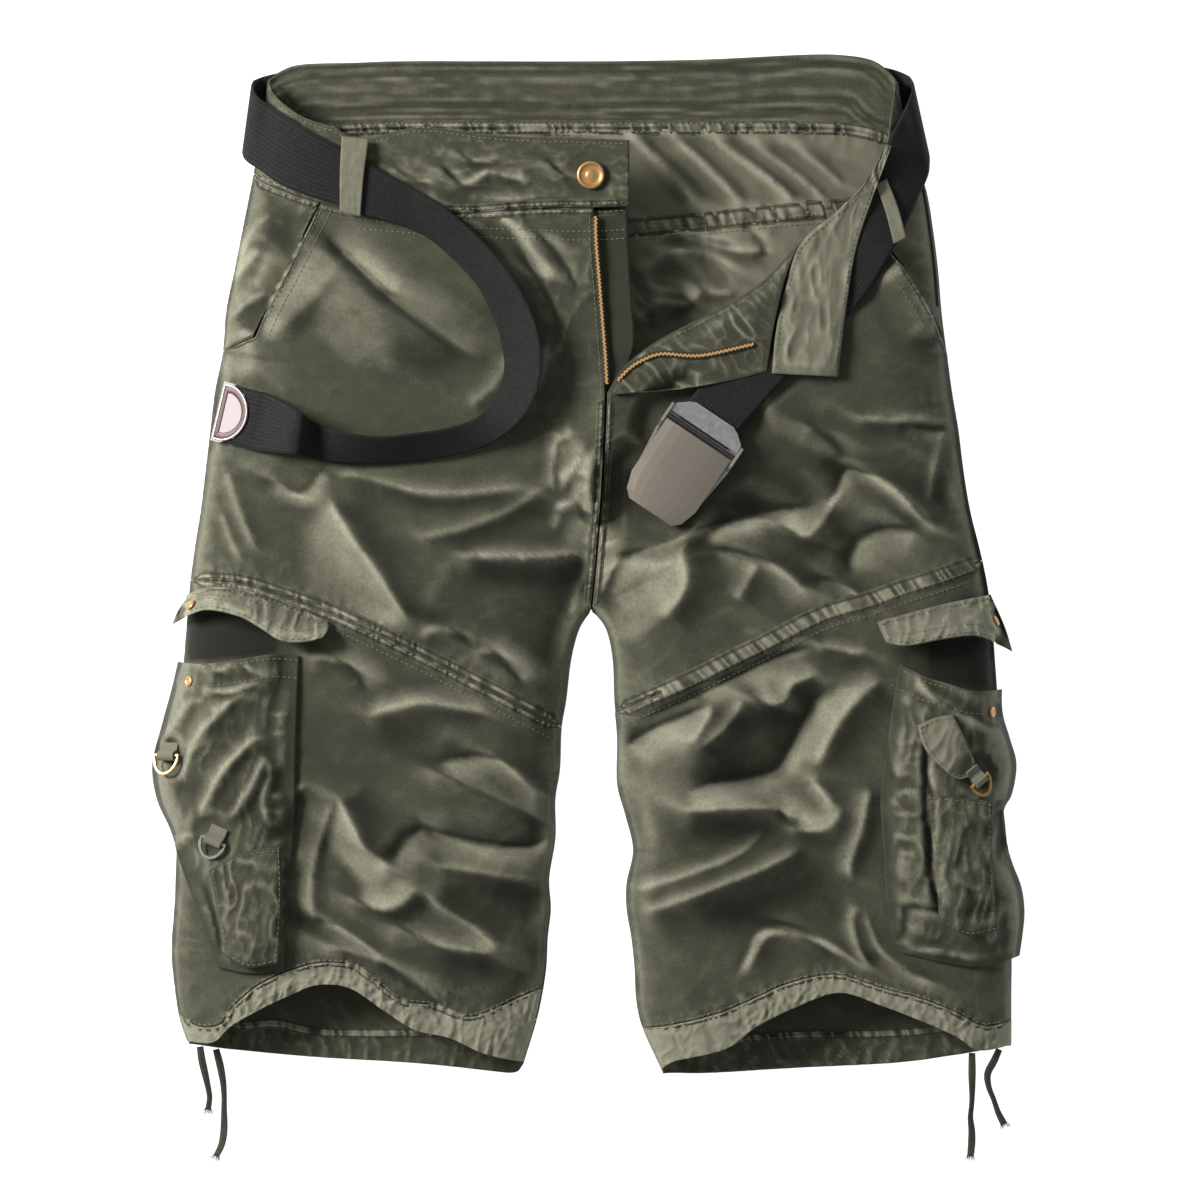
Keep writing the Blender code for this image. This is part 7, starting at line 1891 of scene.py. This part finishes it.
def surface(name, group, inputs, bump, shader_values):
    """A material of one effect group: its colour, its bump and the shader's own values."""
    material = bpy.data.materials.new(name)
    material.use_nodes = True
    t = Tree(material.node_tree)
    shader = material.node_tree.nodes["Principled BSDF"]
    effect = t.node("ShaderNodeGroup", node_tree=group)
    for socket, value in inputs.items():
        t.feed(effect, socket, value)
    strength, distance = bump
    relief = t.node("ShaderNodeBump", {"Height": effect.outputs["Height"], "Strength": strength,
                                       "Distance": distance})
    t.feed(shader, "Base Color", effect.outputs["Color"])
    t.feed(shader, "Normal", relief.outputs[0])
    if "Roughness" in effect.outputs:
        t.feed(shader, "Roughness", effect.outputs["Roughness"])
    for socket, value in shader_values.items():
        t.feed(shader, socket, value)


def mixed(a, b, share):
    """A colour between two, share of the way to the second."""
    return tuple((1 - share) * x + share * y for x, y in zip(a, b))


def make_materials(scene):
    cloth, metal = scene.shorts_cloth, scene.shorts_metal
    twill, ribs, scratched = washed_twill(cloth.twill), woven_ribs(), scratched_metal()
    base, worn, shade_and_mottle = tuple(cloth.colour), tuple(cloth.worn), tuple(cloth.shade_and_mottle)
    half_worn, half_deep = mixed(base, worn, 0.4), mixed(base, shade_and_mottle, 0.5)
    # "shaded cotton" is a darker copy of the cloth, painted shade for the fly shield; the zip tapes use it
    # too.
    for name, colour, pale, dark in (
            ("washed cotton", base, worn, shade_and_mottle), ("worn cotton", half_worn, worn, half_deep),
            ("pale cotton", mixed(base, worn, 0.65), worn, base), ("shaded cotton", half_deep, base, shade_and_mottle),
            ("sewing thread", half_worn, worn, base)):
        surface(name, twill, {"Cloth": (*colour, 1.0), "Worn": (*pale, 1.0), "Deep": (*dark, 1.0)},
                (0.55, 0.0006), {"Roughness": 0.92, "Specular IOR Level": 0.25, "Sheen Weight": 0.12,
                                 "Sheen Roughness": 0.5})
    tape_dark, tape_light = (tuple(share * c for c in cloth.tape) for share in (0.55, 1.6))
    for name, dark, light, pitch, dust, relief in (
            ("black webbing", tuple(metal.webbing), tuple(metal.webbing_light), 2.2, 1.6, 0.00035),
            ("string tape", tape_dark, tape_light, 1.1, 2.0, 0.0003)):
        surface(name, ribs, {"Dark": (*dark, 1.0), "Light": (*light, 1.0), "Ribs": 2 * math.pi / pitch,
                             "Picks": 2 * math.pi / (pitch * 0.55), "Dust": dust},
                (0.8, relief), {"Roughness": 0.85, "Specular IOR Level": 0.2})
    even, brushed = (1.0, 1.0, 1.0), (1.0, 12.0, 1.0)
    for name, colour, rough, scratch, stretch, metallic, stains in (
            ("brass", metal.brass, 0.36, 1.0, even, 0.7, 1.3),
            ("zip brass", metal.brass, 0.4, 0.5, even, 0.35, 0.2),
            ("steel", metal.steel, 0.34, 0.8, even, 0.75, 1.3),
            ("brushed gunmetal", metal.gunmetal, 0.45, 0.6, brushed, 0.6, 0.25),
            ("rosy plate", metal.plate, 0.55, 0.5, even, 0.5, 0.2),
            ("red-brown enamel", metal.enamel, 0.4, 0.5, even, 0.2, 1.3),
            ("dark steel", metal.pin, 0.4, 1.0, even, 0.8, 1.3)):
        surface(name, scratched,
                {"Metal": (*colour, 1.0), "Stained": (*(0.55 * c for c in colour), 1.0), "Stains": stains,
                 "Clean": 0.95 - stains, "Rough": rough - 0.08 * scratch, "Scratches": 0.2 * scratch,
                 "Stretch": stretch}, (0.12 * scratch, 0.0001), {"Metallic": metallic})


# Stage.

def make_stage(scene):
    """Camera straight above the laid garment, key light from the left, pale floor."""
    studio = scene.shorts_studio
    camera_data = bpy.data.cameras.new("camera")
    camera_data.sensor_width = 36.0
    camera_data.lens = camera_data.sensor_width * (studio.distance - FRONT_HEIGHT) / studio.frame_width
    camera_data.clip_end = 50
    camera = linked("camera", camera_data)
    camera.location = (*VIEW_MIDDLE, studio.distance)
    camera.rotation_euler = (0, 0, 0)
    scene.camera = camera
    key_data = bpy.data.lights.new("key", "AREA")
    key_data.shape = "DISK"
    key_data.size = KEY_SIZE
    key_data.energy = studio.key_power
    key_data.color = KEY_COLOUR
    key = linked("key", key_data)
    flat = KEY_DISTANCE * math.cos(studio.key_height)
    key.location = (flat * math.cos(studio.key_heading), flat * math.sin(studio.key_heading),
                    KEY_DISTANCE * math.sin(studio.key_height))
    middle = Vector((VIEW_MIDDLE[0], (CAD_LOW[1] + CAD_HIGH[1]) / 2, 0.0))
    key.rotation_euler = (middle - key.location).to_track_quat("-Z", "Y").to_euler()
    floor_mesh = bpy.data.meshes.new("floor")
    corners = [(FLOOR_REACH * a, FLOOR_REACH * b, 0) for a, b in ((-1, -1), (1, -1), (1, 1), (-1, 1))]
    floor_mesh.from_pydata(corners, [], [(0, 1, 2, 3)])
    floor = linked("floor", floor_mesh)
    floor.location.z = FLOOR_DROP
    paper = bpy.data.materials.new("paper")
    paper.use_nodes = True
    for socket, value in (("Base Color", (0.35, 0.35, 0.35, 1.0)), ("Roughness", 1.0),
                          ("Specular IOR Level", 0.0), ("Emission Color", (1.0, 1.0, 1.0, 1.0)),
                          ("Emission Strength", studio.floor_glow)):
        paper.node_tree.nodes["Principled BSDF"].inputs[socket].default_value = value
    floor_mesh.materials.append(paper)
    world = bpy.data.worlds.new("soft light")
    world.use_nodes = True
    background = world.node_tree.nodes["Background"]
    background.inputs["Color"].default_value = FILL_COLOUR
    background.inputs["Strength"].default_value = studio.fill
    scene.world = world
    scene.view_settings.view_transform = "Standard"


# Operators: one for each piece or group of like pieces.

def finishes(*names):
    return [bpy.data.materials[name] for name in names]


class SHORTS_OT_materials(bpy.types.Operator):
    """Cloth, webbing, tape and metal materials"""
    bl_idname = "shorts.materials"
    bl_label = "Materials"

    def execute(self, context):
        make_materials(context.scene)
        return {"FINISHED"}


class SHORTS_OT_stage(bpy.types.Operator):
    """Camera, key light, soft light and floor"""
    bl_idname = "shorts.stage"
    bl_label = "Stage"

    def execute(self, context):
        make_stage(context.scene)
        return {"FINISHED"}


class SHORTS_OT_drawstrings(bpy.types.Operator):
    """Drawstring ends at the hems"""
    bl_idname = "shorts.drawstrings"
    bl_label = "Drawstrings"

    def execute(self, context):
        dress_drawstrings(*finishes("string tape"))
        return {"FINISHED"}


class SHORTS_OT_backs(bpy.types.Operator):
    """Back loops, belt behind the waist, back panels and back waistband"""
    bl_idname = "shorts.backs"
    bl_label = "Backs"

    def execute(self, context):
        cloth, worn, webbing = finishes("washed cotton", "worn cotton", "black webbing")
        build_fields()
        dress_back_loops(worn)
        strap("cloth_belt_behind_waist", BELT_BEHIND, webbing, "belt_behind_waist")
        dress_backs(cloth, worn)
        dress_back_seams(cloth)
        return {"FINISHED"}


class SHORTS_OT_fronts(bpy.types.Operator):
    """Hip panels, fronts, front hems, front waistbands and fly shield"""
    bl_idname = "shorts.fronts"
    bl_label = "Fronts"

    def execute(self, context):
        cloth, pale, shaded = finishes("washed cotton", "pale cotton", "shaded cotton")
        dress_hips(cloth)
        dress_fronts(cloth, pale)
        dress_shield(shaded)
        return {"FINISHED"}


class SHORTS_OT_belt(bpy.types.Operator):
    """Belt's free end and tip, buckle end and buckle"""
    bl_idname = "shorts.belt"
    bl_label = "Belt"

    def execute(self, context):
        dress_belt(*finishes("black webbing", "steel", "brushed gunmetal", "dark steel", "rosy plate",
                             "red-brown enamel"))
        return {"FINISHED"}


class SHORTS_OT_corner(bpy.types.Operator):
    """Belt loops and the turned-out corner at the fly"""
    bl_idname = "shorts.corner"
    bl_label = "Corner and loops"

    def execute(self, context):
        cloth, worn = finishes("washed cotton", "worn cotton")
        dress_loops(worn)
        dress_corner(cloth, worn)
        close_side("seam_side_left", edge(SIDE_LEFT, SIDE_LEFT[0][1], CLOSED_TO), cloth)
        return {"FINISHED"}


class SHORTS_OT_pockets(bpy.types.Operator):
    """Cargo pockets, small pockets and flaps"""
    bl_idname = "shorts.pockets"
    bl_label = "Pockets"

    def execute(self, context):
        dress_pockets(*finishes("washed cotton", "worn cotton"))
        return {"FINISHED"}


class SHORTS_OT_hardware(bpy.types.Operator):
    """Button, snaps, rings and zip chains"""
    bl_idname = "shorts.hardware"
    bl_label = "Hardware"

    def execute(self, context):
        brass, chain, steel, tape, worn = finishes("brass", "zip brass", "steel", "shaded cotton",
                                                   "worn cotton")
        fly = smooth_curve(FLY_EDGE)
        fly_chain = between_heights(fly, fly[0][1] - 6, fly[-1][1] + 6) + (1.2, 0)
        zip_teeth("zip_chain_right", fly_chain, chain, tape)
        zip_teeth("zip_chain_left", smooth_curve(CHAIN_LEFT), chain, tape)
        dress_button_and_snaps(brass)
        dress_rings(worn, brass, steel)
        return {"FINISHED"}


class SHORTS_OT_seams(bpy.types.Operator):
    """Raised seams and stitches"""
    bl_idname = "shorts.seams"
    bl_label = "Seams"

    def execute(self, context):
        cloth, thread = finishes("washed cotton", "sewing thread")
        dress_front_seams(cloth)
        sew("stitches", thread, round(context.scene.shorts_cloth.stitch / MM, 3))
        return {"FINISHED"}


PIECE_OPERATORS = (SHORTS_OT_materials, SHORTS_OT_stage, SHORTS_OT_drawstrings, SHORTS_OT_backs,
                   SHORTS_OT_fronts, SHORTS_OT_belt, SHORTS_OT_corner, SHORTS_OT_pockets,
                   SHORTS_OT_hardware, SHORTS_OT_seams)
SETTINGS = (("shorts_cloth", ClothFinish), ("shorts_metal", MetalFinish), ("shorts_studio", StudioSettings))


class SHORTS_PT_panel(bpy.types.Panel):
    """Settings and pieces of the shorts."""
    bl_label = "Shorts"
    bl_space_type = "VIEW_3D"
    bl_region_type = "UI"
    bl_category = "Shorts"

    def draw(self, context):
        for settings, group in SETTINGS:
            for name in group.__annotations__:
                self.layout.prop(getattr(context.scene, settings), name)
        for operator in PIECE_OPERATORS:
            self.layout.operator(operator.bl_idname)


CLASSES = (ClothFinish, MetalFinish, StudioSettings, *PIECE_OPERATORS, SHORTS_PT_panel)


def register():
    for item in CLASSES:
        bpy.utils.register_class(item)
    for name, group in SETTINGS:
        setattr(bpy.types.Scene, name, PointerProperty(type=group))


def unregister():
    for name, _ in SETTINGS:
        delattr(bpy.types.Scene, name)
    for item in reversed(CLASSES):
        bpy.utils.unregister_class(item)


def main():
    register()
    for operator in PIECE_OPERATORS:
        group, name = operator.bl_idname.split(".")
        getattr(getattr(bpy.ops, group), name)()
    declare_sheets()


if __name__ == "__main__":
    main()
